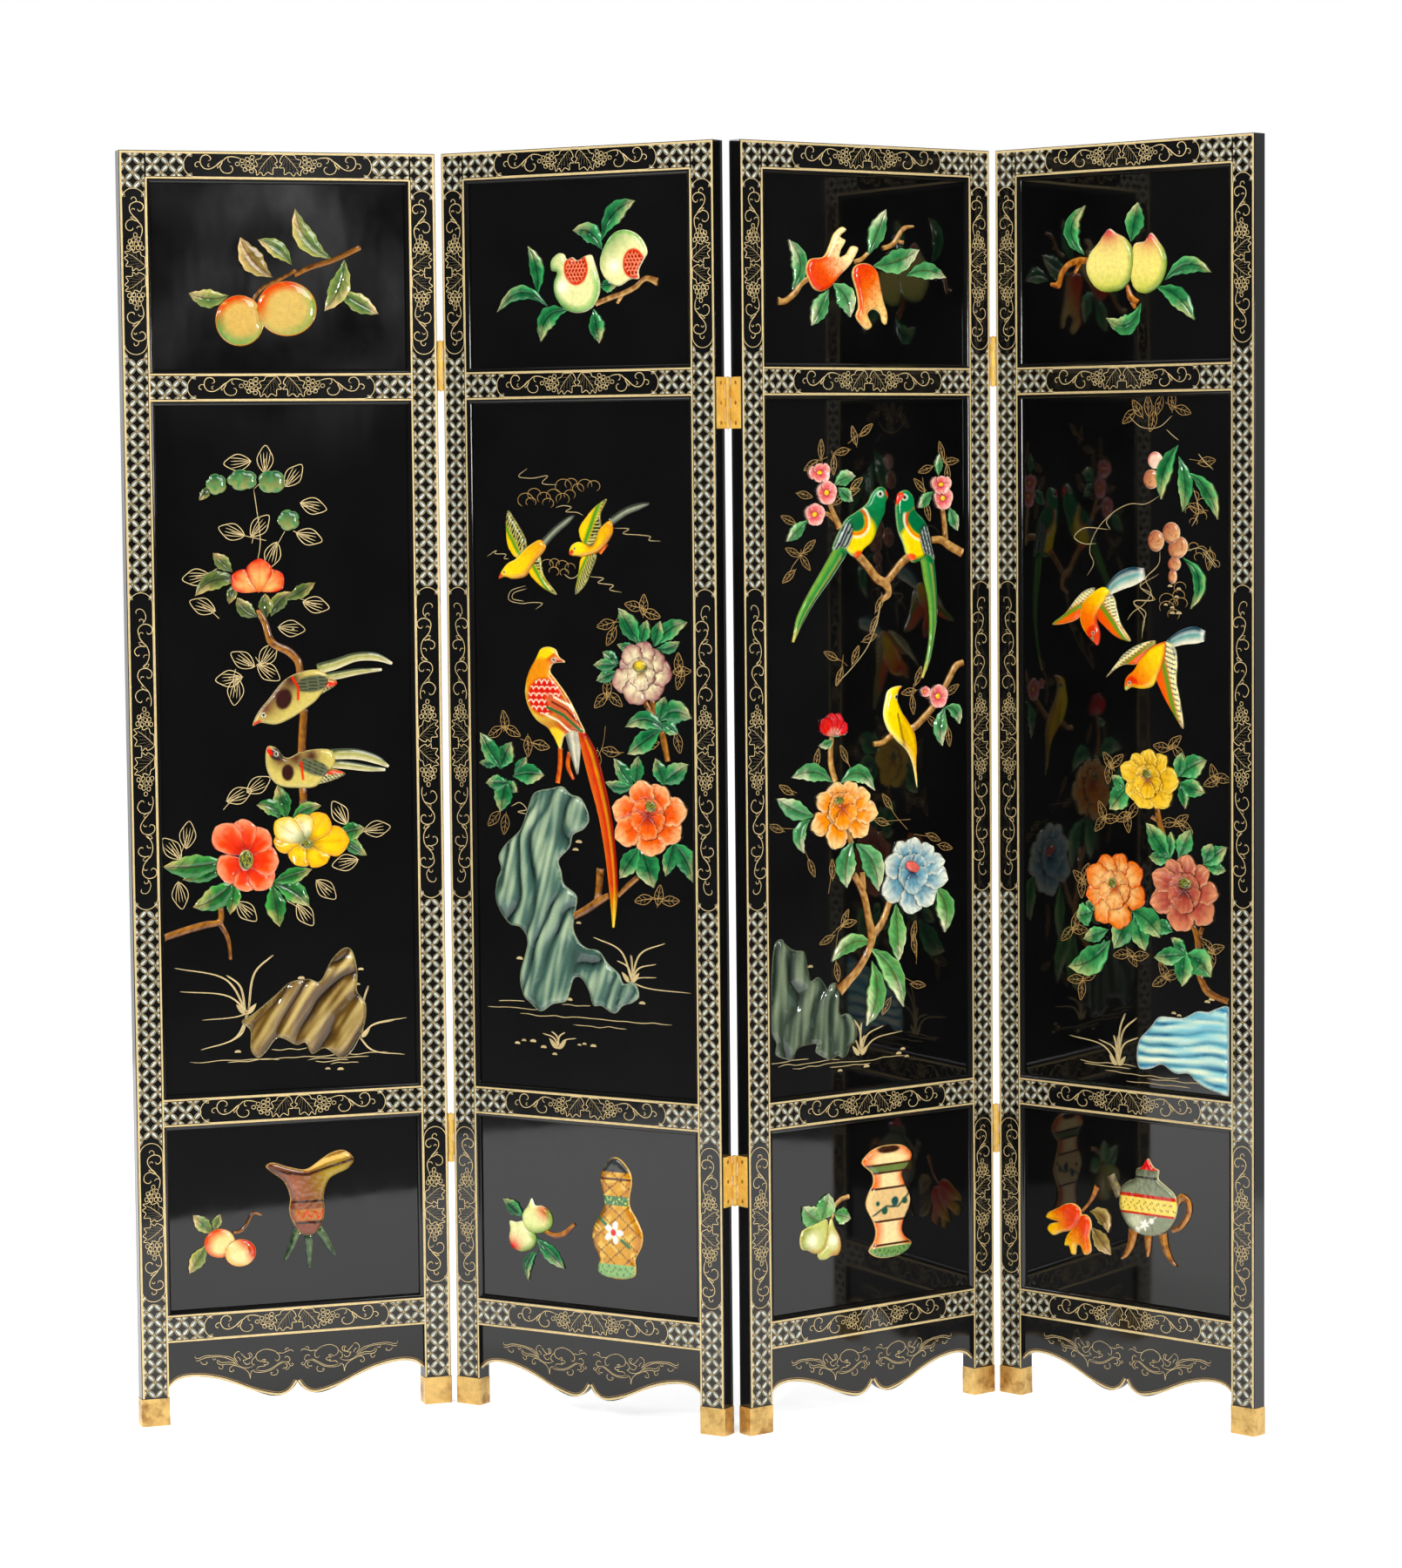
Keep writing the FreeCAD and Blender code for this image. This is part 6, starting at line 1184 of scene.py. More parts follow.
def wing(shoulder, tip, side, count, tones, barred):
    """A wing: smooth at its leading edge, a stripe, then barred feathers to its other edge."""
    base, second, stripe, light, dark = (srgb(*tone) for tone in tones)

    def paint(shares, points, far):
        start, run = np.array(shoulder, float), np.array(tip, float) - np.array(shoulder, float)
        long = math.hypot(*run)
        run = run / long
        away = shares - start
        along = (away @ run) / long
        out = side * (run[0] * away[:, 1] - run[1] * away[:, 0])
        out = (out - out.min()) / max(out.max() - out.min(), 1e-6)
        tone = mixed(base, second, along + 0.1 * ripple(points, 9, 2))
        place = (along * count * 0.8 - out * 5.2) % 1
        feather = mixed(light, dark, (place < barred) * 1.0)
        ends = np.clip((out - 0.88) * 8, 0, 0.9) + np.clip(along * 5 - 4.2, 0, 0.9)
        feather = mixed(feather, dark, ends)
        start = 0.52 - 0.3 * along
        tone = mixed(tone, stripe, np.clip(1.3 - np.abs(out - start) / 0.11, 0, 1))
        tone = mixed(tone, feather, np.clip((out - start - 0.07) * 12, 0, 1))
        return mixed(tone, light, 0.5 * np.clip(1 - far / 0.8, 0, 1))

    return paint


class Folds:
    """A rock carved in flowing folds, dark in the grooves as painted shade and pale on the crests as painted
    light.
    """

    def __init__(self, deep, middle, light, angle, period, warp, seed):
        self.tones = [srgb(*tone) for tone in (deep, middle, light)]
        self.angle, self.period, self.warp, self.seed = math.radians(angle), period, warp, seed

    def crest(self, points):
        """0 in a groove and 1 on a crest."""
        across = -points[:, 0] * math.sin(self.angle) + points[:, 1] * math.cos(self.angle)
        phase = across / self.period + self.warp * ripple(points, 105, self.seed)
        phase += 0.3 * ripple(points, 38, self.seed + 1.5)
        fold = phase % 1
        crest = np.where(fold < 0.62, np.sin(fold / 0.62 * np.pi / 2),
                         np.cos((fold - 0.62) / 0.38 * np.pi / 2))
        calm = np.clip(0.85 + 1.2 * ripple(points, 62, self.seed + 4.2), 0.3, 1)
        return 0.66 + (crest - 0.66) * calm

    def rise(self, points, far):
        """Heights above the board, lower towards the rock's rim."""
        return 1.0 + 4.6 * self.crest(points) * np.clip(far / 5, 0.3, 1)

    def __call__(self, shares, points, far):
        """The colours, as a paint gives them: it is called with the same three, and has no use for shares."""
        crest = self.crest(points)
        deep, middle, light = self.tones
        run = np.column_stack((points @ (math.cos(self.angle), math.sin(self.angle)),
                               points @ (-math.sin(self.angle), math.cos(self.angle))))
        streaks = np.array([mathutils_noise.noise(Vector((x / 70, z / 7, self.seed))) for x, z in run])
        # Dark in the grooves as painted shade and pale on the crests as painted light, with random streaks.
        tone = mixed(deep, middle, crest ** 0.8 * 1.25 + 0.35 * streaks)
        tone = mixed(tone, light, (crest - 0.6) * 1.5 + 0.7 * streaks)
        # Darker towards the rim, where the rock is low, as painted shade.
        tone = mixed(tone, deep, 0.7 * np.clip(1 - far / 4, 0, 1))
        # A pale line on the rim is a painted highlight.
        return mixed(tone, light, 0.5 * np.clip(1 - far / 1.0, 0, 1))


# ---- the shapes of the reliefs, in hundredths of the opening's width
# Each board has runs of one kind and one paint, from the front piece to the back one. A leaf is its root, its
# tip, its width and its bend; a petal its root, its tip and its width; a fruit or a blossom its middle, its
# half width, its half height, its tilt and, for some, its lobes; a twig points with widths; a form the points
# of a closed curve.

RELIEFS = {
    (1, "top"): (
        ("fruit", "red_apple", (52.6, 24.2, 11.5, 10.3, 0)),
        ("fruit", "shaded_apple", (34.5, 19.7, 9.3, 9.5, 0)),
        ("leaf", "top", (30.5, 29, 15.1, 29.8, 7, 0.1)),
        ("leaf", "tan", (47.3, 35.8, 35.1, 50.7, 9, 0.1)),
        ("leaf", "top", (54.9, 40.4, 41.8, 49.8, 6.5, -0.1), (70.1, 42.8, 56.3, 61.5, 8, 0.15),
         (75.1, 42.8, 67, 23.3, 8, 0.1), (72.4, 30.7, 88, 22.2, 7, 0)),
        ("twig", "brown", ((81.3, 47.2, 2), (70.5, 42.3, 2), (61.3, 39.4, 2), (55.5, 36.5, 1.6)),
         ((56.3, 38.6, 1.4), (51.3, 35.7, 1.3), (43, 31.5, 1.3), (38.8, 26.5, 1.2))),
    ),
    (1, "low"): (
        ("fruit", "ripe_apple", (28.6, 21.9, 6.1, 5.3, 0)),
        ("fruit", "hidden_apple", (20.7, 26.1, 6, 5.6, 0)),
        ("leaf", "top", (18, 29.8, 10.5, 37.6, 5.5, 0), (18.4, 31, 20.9, 37.3, 3.5, 0),
         (15.6, 25.8, 8.7, 15.4, 6, 0)),
        ("twig", "brown",
         ((36.9, 35.9, 1), (33.8, 36.9, 1.3), (30.9, 32.3, 1.3), (28.8, 30.3, 1.3), (25.9, 29.8, 1.3))),
        ("form", "tripod_cup",
         ((39, 54.4), (41.3, 55.7), (48, 53.6), (54.7, 52.4), (59.7, 55.3), (64.7, 58.2), (69.7, 58.8),
          (73.4, 55.3), (71.3, 51.9), (63.8, 48.2), (61.4, 41.9), (61.6, 37.3), (61.2, 33.2),
          (57.6, 27.5), (52.6, 27.5), (48.8, 33.2), (47.8, 37.3), (48.3, 41.9), (45.9, 48.2),
          (41.3, 51.9))),
        ("twig", "jade", ((51, 29.8, 3.2), (48.8, 24, 2.6), (45.9, 17.8, 1)),
         ((55.2, 27.8, 3.4), (55.3, 21, 2.4), (55.3, 14.4, 1)),
         ((58.8, 29.8, 3.2), (62.2, 24, 2.6), (65.3, 18.6, 1))),
    ),
    (1, "tall"): (
        ("fruit", "seed_head", (33.4, 89.3, 2.8, 3.8, 0)),
        ("petal", "red", (33.4, 91, 21.6, 102.2, 12), (33.4, 91, 31.7, 105, 11),
         (33.4, 91, 41.6, 100.6, 11), (33.4, 89, 46, 88.5, 12), (33.4, 88, 43, 79, 11),
         (33.4, 88, 33.6, 77.3, 11), (33.4, 89, 22.3, 84.5, 12)),
        ("fruit", "seed_head", (57, 94.5, 2.5, 1.7, 0)),
        ("petal", "heart", (57, 95, 44.6, 103.4, 10), (57, 95, 54, 106, 10)),
        ("petal", "yellow", (57, 95, 64.4, 105.8, 11), (57, 95, 73.5, 95.5, 12), (57, 95, 64.5, 87, 11),
         (57, 95, 52.5, 86.6, 10), (57, 95, 44, 96, 9)),
        ("form", "lower_brown_bird",
         ((42.5, 132), (45.5, 131.6), (49.5, 127.5), (56.3, 129.9), (67.2, 129.7), (68.5, 125),
          (63.8, 119.7), (60.9, 116.3), (54.7, 115.9), (46.3, 117.2), (42.8, 121.3), (41.6, 126.3))),
        ("form", "wing_1a", ((53, 122), (60, 124), (72.6, 120.7), (66, 118), (58, 117.2))),
        ("twig", "tail", ((66, 128.4, 4), (77.2, 128, 4), (85.5, 125.4, 3), (89.3, 123, 1)),
         ((67, 124.6, 3), (73, 124, 3), (81.3, 122.6, 2.4), (88, 121.8, 1))),
        ("form", "upper_brown_bird",
         ((36.9, 140), (38.8, 144.7), (43, 149.7), (49.7, 157.2), (56.3, 160), (63, 160.4),
          (66.5, 157.6), (62.2, 149.6), (58, 146.3), (51.3, 142.2), (45.5, 140.2), (39.7, 141))),
        ("form", "wing_1b", ((57, 157.4), (63, 158.4), (69.9, 155.5), (64, 151.5), (58, 149.4))),
        ("twig", "tail",
         ((62, 160.8, 4), (68.8, 162.4, 4), (77.2, 165, 3.4), (85.5, 164.8, 3), (91.3, 162.2, 1)),
         ((63, 157.4, 3), (69.7, 158.2, 3), (78, 159.5, 2.4), (87.2, 160, 1))),
        ("leaf", "low", (26, 89.7, 1.2, 88, 9, 0.05), (26, 86.3, 8.8, 82.8, 6, 0),
         (29, 82.5, 12.6, 72.2, 9, 0.1), (29.4, 82.5, 26.8, 68.8, 6, 0), (43.5, 80.5, 58.8, 84.9, 6, 0),
         (43.5, 80, 57.6, 70.7, 8, 0.1), (43.1, 80, 45.9, 63.4, 8, 0), (68.8, 97.5, 79.6, 99.9, 7, 0),
         (70.1, 96.4, 80.2, 89.3, 5, 0), (47, 104, 37.6, 110, 6, -0.2), (49.5, 104, 45.9, 117.4, 7, 0),
         (51.3, 104, 62.8, 109, 5.5, 0.1)),
        ("twig", "brown", ((54.9, 105, 3), (55.9, 111, 3), (55.7, 117, 3)),
         ((55.5, 128.8, 3), (56, 137, 3), (56.8, 145.8, 3)),
         ((0.5, 60.9, 2.6), (10.5, 63.8, 2.8), (18, 65.5, 2.8), (23, 66.5, 2.6), (23.4, 72, 2.2)),
         ((23, 65.8, 2), (25.9, 59.7, 1.6), (26.8, 51.8, 1.2)),
         ((55.5, 159.5, 3), (54.7, 163.8, 3), (51.3, 167.6, 3), (44.7, 171.3, 3), (42.4, 178, 2.6),
          (39.7, 183.8, 2.2))),
        ("petal", "bud", (40, 190, 40.5, 203, 10), (40, 190.6, 29.8, 197, 9), (40, 190.6, 49.2, 197, 9)),
        ("leaf", "olive", (39.6, 181, 31.5, 188.5, 6, 0.1), (42.8, 180.6, 42.3, 189.8, 5.6, 0),
         (44.5, 181, 52.5, 190.2, 6, 0.1), (50.5, 187, 61.8, 193.5, 5, 0),
         (33, 194, 15.5, 189.3, 7, -0.2), (31, 194, 28.4, 186.1, 4, 0), (30, 198, 22.6, 205.3, 5.5, 0)),
        ("fruit", "cluster_60", (24.5, 231, 4, 4, 0, 5)),
        ("leaf", "olive", (22.6, 230.6, 17.8, 225, 3.4, 0)),
        ("fruit", "cluster_100", (34.5, 232.5, 5.8, 4, 0, 5)),
        ("fruit", "cluster_40", (45.7, 231.7, 5.4, 4.5, 0, 4)),
        ("fruit", "cluster_80", (52, 217.2, 4.3, 4, 0, 5)),
        ("form", "brown_rock",
         ((34, 16.8), (36.8, 13.8), (39.7, 15.9), (44.7, 21.3), (51.8, 18), (55.1, 18.8), (57.6, 14.3),
          (62.6, 16.3), (68.8, 12.2), (72.2, 13.4), (76.8, 20.5), (78.8, 26.3), (78.8, 33), (75.7, 37.5),
          (75.9, 45.1), (73.4, 53.8), (70.9, 54.4), (65.9, 50.1), (60.9, 41.8), (57.2, 43), (49.7, 42.2),
          (43.8, 37.6), (35.1, 30.9), (30.5, 28), (33.8, 24.7))),
    ),
    (2, "top"): (
        ("form", "front_pomegranate",
         ((40.8, 36.4), (38.4, 37.2), (38.2, 40.6), (41.4, 43.4), (44, 43), (45.2, 41.2), (47.6, 41.8),
          (50, 40.6), (53, 42), (56.3, 42.3), (57.6, 39.6), (58.8, 36), (60, 30), (57.5, 24), (54, 21.7),
          (49.5, 21.1), (45.5, 22), (42, 24.5), (39.6, 28.5), (39.4, 32.6))),
        ("form", "back_pomegranate",
         ((60, 40), (62, 45.5), (66, 50), (71, 51.2), (76, 49.6), (79.3, 46.4), (80.8, 42.5), (79, 39.6),
          (77, 36), (77, 33), (73.5, 32.9), (68, 30.5), (63, 32.8), (60.6, 36))),
        ("leaf", "deep", (31.9, 28.3, 28.2, 46.5, 6.5, -0.1), (36.5, 23.8, 13.8, 22.3, 5.5, -0.28),
         (45.5, 22.3, 33.4, 10.8, 8, -0.25), (57, 22.4, 59.5, 9.7, 7, 0),
         (61, 44, 48.3, 51.7, 7.5, -0.2), (61, 48, 75.8, 61.7, 8, 0.15), (59.7, 31, 67.5, 31, 5.4, 0)),
        ("twig", "tan",
         ((85.3, 31.6, 3), (80, 33, 2), (75.5, 30, 2), (70, 27.8, 2), (65, 26.5, 2), (58, 24.3, 2)),
         ((70, 28, 2), (67.5, 24.3, 1.2))),
    ),
    (2, "low"): (
        ("form", "front_peach",
         ((24.3, 40.5), (25.8, 38), (29, 38), (32.5, 36), (33.8, 32.5), (32.5, 29.5), (29, 27.6),
          (25, 27.2), (21.5, 29), (20, 32), (20.5, 35), (22.5, 37.5))),
        ("form", "back_peach",
         ((14.1, 31), (17, 30.8), (20, 31.4), (24, 29), (26.3, 25), (25, 21.8), (22, 20), (18.5, 19.5),
          (15, 21), (13.8, 24.5), (14.3, 28))),
        ("leaf", "deep", (20.6, 33, 11.4, 39.4, 5.5, 0), (26, 25.5, 39.2, 14.7, 6, 0),
         (27, 20.5, 22.5, 8.8, 4.2, -0.2)),
        ("twig", "orange", ((29.5, 28.6, 1.6), (35, 27, 2), (39.5, 28.5, 2), (43.8, 32.2, 1.2))),
        ("form", "flower_vase",
         ((54.3, 17.5), (55, 20), (52, 26.5), (52.3, 31.5), (54.5, 35.5), (57.3, 40.5), (57, 44.6),
          (55.8, 50), (56.5, 53.5), (58.5, 56.5), (60.5, 58.7), (63, 59.2), (66, 57.6), (69.3, 53.5),
          (69.8, 50), (68.8, 45), (68.8, 41), (72, 36), (74.3, 31), (74, 26.5), (71, 20.8), (71.2, 18),
          (70.6, 14.6), (62.5, 12.8), (54.6, 14.8))),
    ),
    (2, "tall"): (
        ("form", "left_yellow_bird",
         ((12.8, 194.2), (14.4, 197.6), (17, 200.2), (20.6, 201.8), (26, 206.4), (32, 209),
          (34.4, 206.6), (31, 202), (27.6, 198), (25, 195.2), (19, 194.2), (15.4, 195))),
        ("form", "wing_2a",
         ((21, 202.2), (17.4, 206), (16.4, 212), (17.2, 220), (20, 217), (25.4, 208.6), (25.4, 205.6))),
        ("form", "wing_2b",
         ((25, 200.4), (29, 204.6), (31.4, 203.6), (33, 196), (39, 188.4), (33.4, 190.6), (27.4, 195.4))),
        ("twig", "tail2", ((33, 207.4, 3.4), (39, 212.6, 3), (44, 216, 2.6), (47.4, 218.2, 1))),
        ("form", "right_yellow_bird",
         ((45, 203.4), (45.6, 206.6), (48.4, 208.2), (51.6, 207.8), (55, 207), (59, 213.6),
          (63.4, 216.2), (64.4, 212.4), (61.6, 207.6), (57, 204), (51, 202.6), (47.6, 203))),
        ("form", "wing_2c",
         ((51.4, 207.4), (49.4, 213), (53, 218), (57.4, 222), (61.8, 224.2), (59, 218.6), (59.4, 212),
          (58, 206.8))),
        ("form", "wing_2d", ((50.4, 202.4), (49, 197), (47.4, 188.6), (51.6, 192), (55, 198), (57, 203.6))),
        ("twig", "tail2", ((63.4, 215.6, 3.2), (70, 219.4, 3), (76, 221.4, 2.6), (81, 222.6, 1))),
        ("twig", "claw", ((61.6, 207.4, 1.4), (58.6, 204, 1.2))),
        ("fruit", "seed_head", (80, 110, 2.6, 2.2, 0)),
        ("petal", "orange", (78.5, 108, 79.5, 101, 11), (79, 106, 74.5, 119.6, 12),
         (79, 106, 86, 118, 12), (79, 106, 96, 109.7, 12), (79, 106, 93.3, 98.7, 12),
         (79, 106, 81, 91.2, 14), (79, 106, 64.5, 97, 12), (79, 106, 63, 109, 12)),
        ("fruit", "lit_seed_head", (76, 162, 3.6, 2.4, 0)),
        ("petal", "cream", (76.5, 161, 77.5, 154.5, 12), (76.5, 160, 70, 169.6, 10),
         (76.5, 160, 78.6, 171.6, 10), (76.5, 160, 86.2, 166.8, 10), (76.5, 160, 90, 159.6, 11),
         (76.5, 160, 84.5, 150.3, 11), (76.5, 160, 72, 147.8, 12), (76.5, 160, 63.8, 154.8, 10),
         (76.5, 160, 67, 163.5, 8)),
        ("form", "pheasant",
         ((29.6, 165), (31.5, 168), (35, 168.8), (38.3, 167.7), (39.6, 165.2), (42.3, 163.2),
          (37, 162.4), (35.6, 159.6), (38, 156.6), (42, 152), (45.5, 147), (48.5, 141.5), (50.9, 136.6),
          (46, 137.2), (41.6, 135), (39.8, 130.4), (37, 134.6), (34.4, 138), (29.5, 140.8), (26, 145),
          (24.2, 151), (25.4, 157.8))),
        ("twig", "pheasant_tail",
         ((49, 137.5, 3), (52.5, 130, 6), (56, 119, 6.5), (59.5, 106, 5.8), (61.8, 92, 5), (63, 78, 3.8),
          (62.8, 64, 0.8))),
        ("twig", "covert", ((45, 138.5, 7), (46.4, 130, 5), (47.4, 121, 0.8))),
        ("twig", "claw", ((39.8, 130.8, 2), (39.6, 124, 2), (38.4, 117.5, 2)),
         ((43.8, 129.5, 1.6), (43.2, 124, 2), (45.6, 119, 1.2))),
        ("leaf", "deep", (72.5, 117.5, 60, 118.6, 5, 0.1), (72.5, 116.5, 64, 127.5, 6, 0),
         (73.5, 117.5, 74.6, 128.6, 6, 0), (86, 118, 82.4, 128, 6, 0), (84.5, 118.5, 96.6, 126.3, 8, 0),
         (75, 95, 66, 82.6, 8, 0), (75, 96, 81, 79.7, 11, 0), (90, 97, 86.3, 84.2, 6, 0),
         (89, 97, 98.3, 82.4, 9, 0.1), (13, 122, 3.5, 135.7, 7, 0), (12, 122, 17.5, 132.4, 8, 0),
         (12, 124, 3, 124.2, 4, 0), (18, 119.5, 32.5, 120.2, 8, 0.05), (18.6, 119, 24.6, 127, 5, 0),
         (16, 117, 5.9, 116.6, 6, 0), (15, 118.5, 12.4, 105.8, 8, 0), (14.5, 117.5, 20, 113.4, 5, 0),
         (76, 170, 66.7, 183.7, 8, 0), (76, 169.5, 79.2, 179.4, 6, 0), (75, 169.6, 66, 170.2, 4, 0.1),
         (82, 169.4, 85, 179, 6, 0), (82, 169.4, 97, 178.8, 7, 0.1), (83, 168.8, 93.5, 171.6, 4.6, -0.1),
         (66, 162.4, 55.3, 162.3, 5, 0), (66.4, 163, 59.6, 167.4, 5, 0), (65.5, 160, 56.6, 156.4, 5, 0),
         (84, 142, 86.6, 151, 6, 0), (84, 142, 98.3, 143.2, 9, 0.2), (85, 141.5, 92.5, 137.4, 5, 0),
         (87, 138, 69.2, 139.4, 7, -0.2), (85, 139, 70, 129.2, 8, 0)),
        ("twig", "brown", ((76.6, 150.4, 2.2), (79, 147, 2.4), (81.6, 142, 2.6)),
         ((81, 150.6, 2.4), (81.5, 146, 2.2), (81.8, 142, 2.2)),
         ((85, 138, 2.6), (86, 134, 2.8), (87.6, 127, 2.2)),
         ((74, 83.5, 2), (70, 80.4, 2.2), (65, 76, 1.6)),
         ((45.2, 67.4, 2.6), (51, 70.3, 3), (56, 73.4, 3), (61, 76, 2.2)),
         ((55.6, 73, 3), (56.6, 79, 3), (57.3, 86, 3.6))),
        ("form", "green_rock",
         ((29.5, 30.4), (25, 33.3), (21.6, 36.5), (20.5, 44), (23, 52), (24, 57), (21, 62), (16, 63),
          (11.5, 68), (9.5, 74), (10.5, 80), (12.3, 84), (11.3, 88.5), (14.5, 93.5), (21, 99),
          (25.5, 109), (28, 113.5), (36, 115.5), (40.5, 116.2), (44, 113.5), (48.5, 112.2), (51.8, 107),
          (52.2, 103.5), (49.6, 100.3), (45, 98), (43.6, 93.6), (38.4, 88), (39.6, 84), (40.5, 79.6),
          (46.4, 75), (45.6, 69), (44.8, 62.5), (47.5, 57.5), (51, 55.5), (56, 54.8), (60, 50.3),
          (65, 46.5), (67, 43), (71.6, 43.6), (73.8, 38.5), (70.8, 36), (66.6, 34.6), (63, 31.5),
          (57, 34), (53.6, 34), (51.5, 39.5), (48, 44.2), (45, 44), (42.8, 39), (41.2, 35), (35, 33.4))),
    ),
    (3, "top"): (
        ("form", "front_citron",
         ((20.9, 36.2), (23, 39.6), (29.7, 40.9), (32.4, 45), (34.7, 49.4), (38.8, 52), (40.6, 51),
          (37.7, 48.4), (40.2, 47), (37.8, 43.2), (37.2, 40.9), (40.4, 41.9), (43, 44.9), (46.2, 44.4),
          (44.4, 40.7), (42.2, 37.8), (37.2, 33.8), (33, 29.8), (28.8, 28), (25.3, 28.6), (22.8, 31.4))),
        ("form", "back_citron",
         ((43.3, 34.8), (44.7, 37.6), (48, 38.7), (52.2, 38.3), (55.5, 35.7), (56.8, 30.7), (58.4, 24.8),
          (60.2, 20), (59.6, 16), (57.8, 17), (56.8, 20), (53.4, 21.6), (50.6, 19.8), (52.7, 15.4),
          (50.5, 14), (46.6, 16.6), (44.9, 19.2), (46.2, 22.4), (45.5, 27.6))),
        ("leaf", "sea", (14.5, 28.3, 12.8, 46.7, 8, -0.25), (32, 28.8, 23.6, 15.3, 8, 0),
         (34, 31, 42, 18.6, 9, 0.15), (51.2, 41.8, 59.8, 59, 8, 0), (53.4, 37.8, 76, 44.3, 9, -0.06),
         (69.7, 34.4, 89.3, 34, 6.6, 0.12)),
        ("twig", "tan",
         ((7.8, 24.2, 3), (10.5, 24, 2.4), (15.5, 27, 2.4), (18.8, 30.7, 2.4), (22.4, 32.6, 2)),
         ((44, 39, 1.8), (48, 40.3, 1.8), (50.8, 42.4, 1.6)),
         ((58, 44.4, 1.8), (63, 46, 2), (66.3, 49.8, 2), (68.8, 52.2, 1.8), (73.4, 53, 0.9)),
         ((64.5, 47.4, 1.2), (68.4, 46.9, 1.4))),
    ),
    (3, "low"): (
        ("form", "front_pear",
         ((14.7, 28.2), (15.9, 31.9), (20.1, 33.4), (25.5, 34.8), (27.7, 35.2), (28.4, 32), (28, 27.3),
          (25.5, 23.8), (22.2, 22.6), (18.6, 24.2), (15.8, 25))),
        ("form", "back_pear",
         ((30.1, 35.2), (31.3, 32.3), (33.8, 28.2), (34.6, 24), (33, 21), (30.1, 20.8), (27.2, 19.8),
          (24.2, 20.3), (23.2, 22.2), (27, 26), (28.4, 32))),
        ("leaf", "pale", (25.6, 34.4, 16.2, 41.3, 8.5, 0.1), (25, 35, 28.6, 44.9, 9, -0.05),
         (31.2, 37, 39.2, 34.2, 6.5, 0)),
        ("twig", "tan", ((27.6, 35.6, 1.4), (31.3, 39.4, 1.8), (34.7, 41.9, 1.8), (38.6, 42.6, 1.8)),
         ((30.3, 35, 1.4), (31.2, 39, 1.6))),
        ("form", "orange_vase",
         ((48.2, 20.6), (49.4, 19.2), (53, 17.5), (59.7, 17), (66.3, 18.3), (69.6, 21.3), (66.3, 24.2),
          (64.7, 27.3), (65.5, 30.7), (67.8, 34.8), (69, 38.4), (65.9, 45.3), (64.8, 49), (67.2, 51),
          (69.9, 55.4), (66.3, 59), (59.7, 60.2), (52.2, 59.7), (48, 57.8), (45.1, 54.6), (50.1, 50),
          (50.7, 46.5), (48, 42), (47, 38.2), (50.9, 30.7), (51.8, 27.3), (50.9, 24))),
    ),
    (3, "tall"): (
        ("fruit", "seed_head", (35, 110.6, 2.8, 1.5, 0)),
        ("petal", "apricot", (35, 112, 34.5, 101.2, 12), (36, 107, 24.2, 112.4, 9),
         (36, 107, 32.4, 117.6, 10), (36, 107, 42.8, 117.2, 10), (38, 107, 49.8, 112.8, 10),
         (38, 107, 53.8, 105, 10), (38, 107, 48.6, 97.2, 11), (36, 107, 32.6, 92.2, 11),
         (36, 107, 21.6, 100, 10)),
        ("fruit", "pink_seed_head", (71, 83.5, 4, 2.1, -22)),
        ("petal", "blue", (71, 86, 69, 76, 12), (71, 82, 57, 85.6, 11), (71, 82, 63.2, 93.2, 9),
         (71, 82, 71.6, 94.8, 10), (71, 82, 81, 91, 10), (71, 82, 87, 85, 9), (71, 82, 88.6, 77.6, 11),
         (71, 80, 81, 68.6, 12), (71, 80, 70.4, 65.2, 13), (71, 80, 56, 73.4, 12)),
        ("blossom", "pink", (26.8, 233.2, 5.3, 3.2, 15), (30.1, 225.8, 4.6, 4.4, 0),
         (24.3, 217.8, 4.6, 4, 0), (86.3, 228.2, 5, 3.2, 0), (87.3, 223, 4.6, 4.2, 0),
         (84.3, 147.8, 4.6, 4.4, 0), (77.8, 149.8, 2.2, 2, 0)),
        ("form", "left_parrot",
         ((60.1, 224.2), (58.7, 226.8), (56, 227.7), (52.2, 225.3), (50.1, 221.9), (44.7, 218.6),
          (39.7, 216), (37.2, 213), (32.8, 204.4), (38.6, 205.2), (41.3, 202.5), (45.5, 201.4),
          (48, 204.4), (52.2, 207.3), (55.5, 213.2), (58.4, 218.2), (58.9, 221.8))),
        ("form", "right_parrot",
         ((64.2, 222.6), (65.6, 225.4), (69.7, 226.2), (72.4, 224), (73.4, 219), (78, 214.8),
          (80.3, 210.6), (81.3, 205.7), (83, 199.6), (79.4, 201.6), (75.5, 199.4), (71.8, 199),
          (68.8, 202.3), (67.6, 205.7), (65.1, 210.7), (64, 216.5))),
        ("form", "canary",
         ((66.4, 152.3), (65, 150.8), (64, 147.6), (66, 143), (68.6, 139.9), (72.4, 134.6), (73.6, 129),
          (73.2, 122), (73.8, 113.4), (71.4, 123), (68.6, 127.8), (64.4, 131.2), (60.5, 134.7),
          (58.2, 138.4), (57.2, 142.2), (58.2, 147.2), (59.4, 150.6), (62.2, 152.1))),
        ("twig", "parrot_tail",
         ((38, 205.6, 6.5), (30, 195.5, 5.6), (22, 186, 4.4), (17, 178.6, 3.6), (13.6, 170.6, 0.8)),
         ((79, 202, 6.5), (80.6, 193, 6.2), (81.8, 185.5, 4.8), (82.2, 177.2, 3.8), (81.2, 168.8, 2.6),
          (79.6, 162, 2.2), (76.6, 155, 0.8))),
        ("leaf", "sea", (21, 215.7, 10.9, 208, 5.5, 0), (34, 228.5, 44, 231.8, 6, 0.1),
         (35.6, 227.6, 42.6, 222.4, 5, 0), (85.2, 231.5, 85.6, 239.7, 4.2, 0),
         (82.4, 225.6, 74.9, 219.5, 5, 0), (90.6, 219.6, 94.4, 210.6, 5, 0),
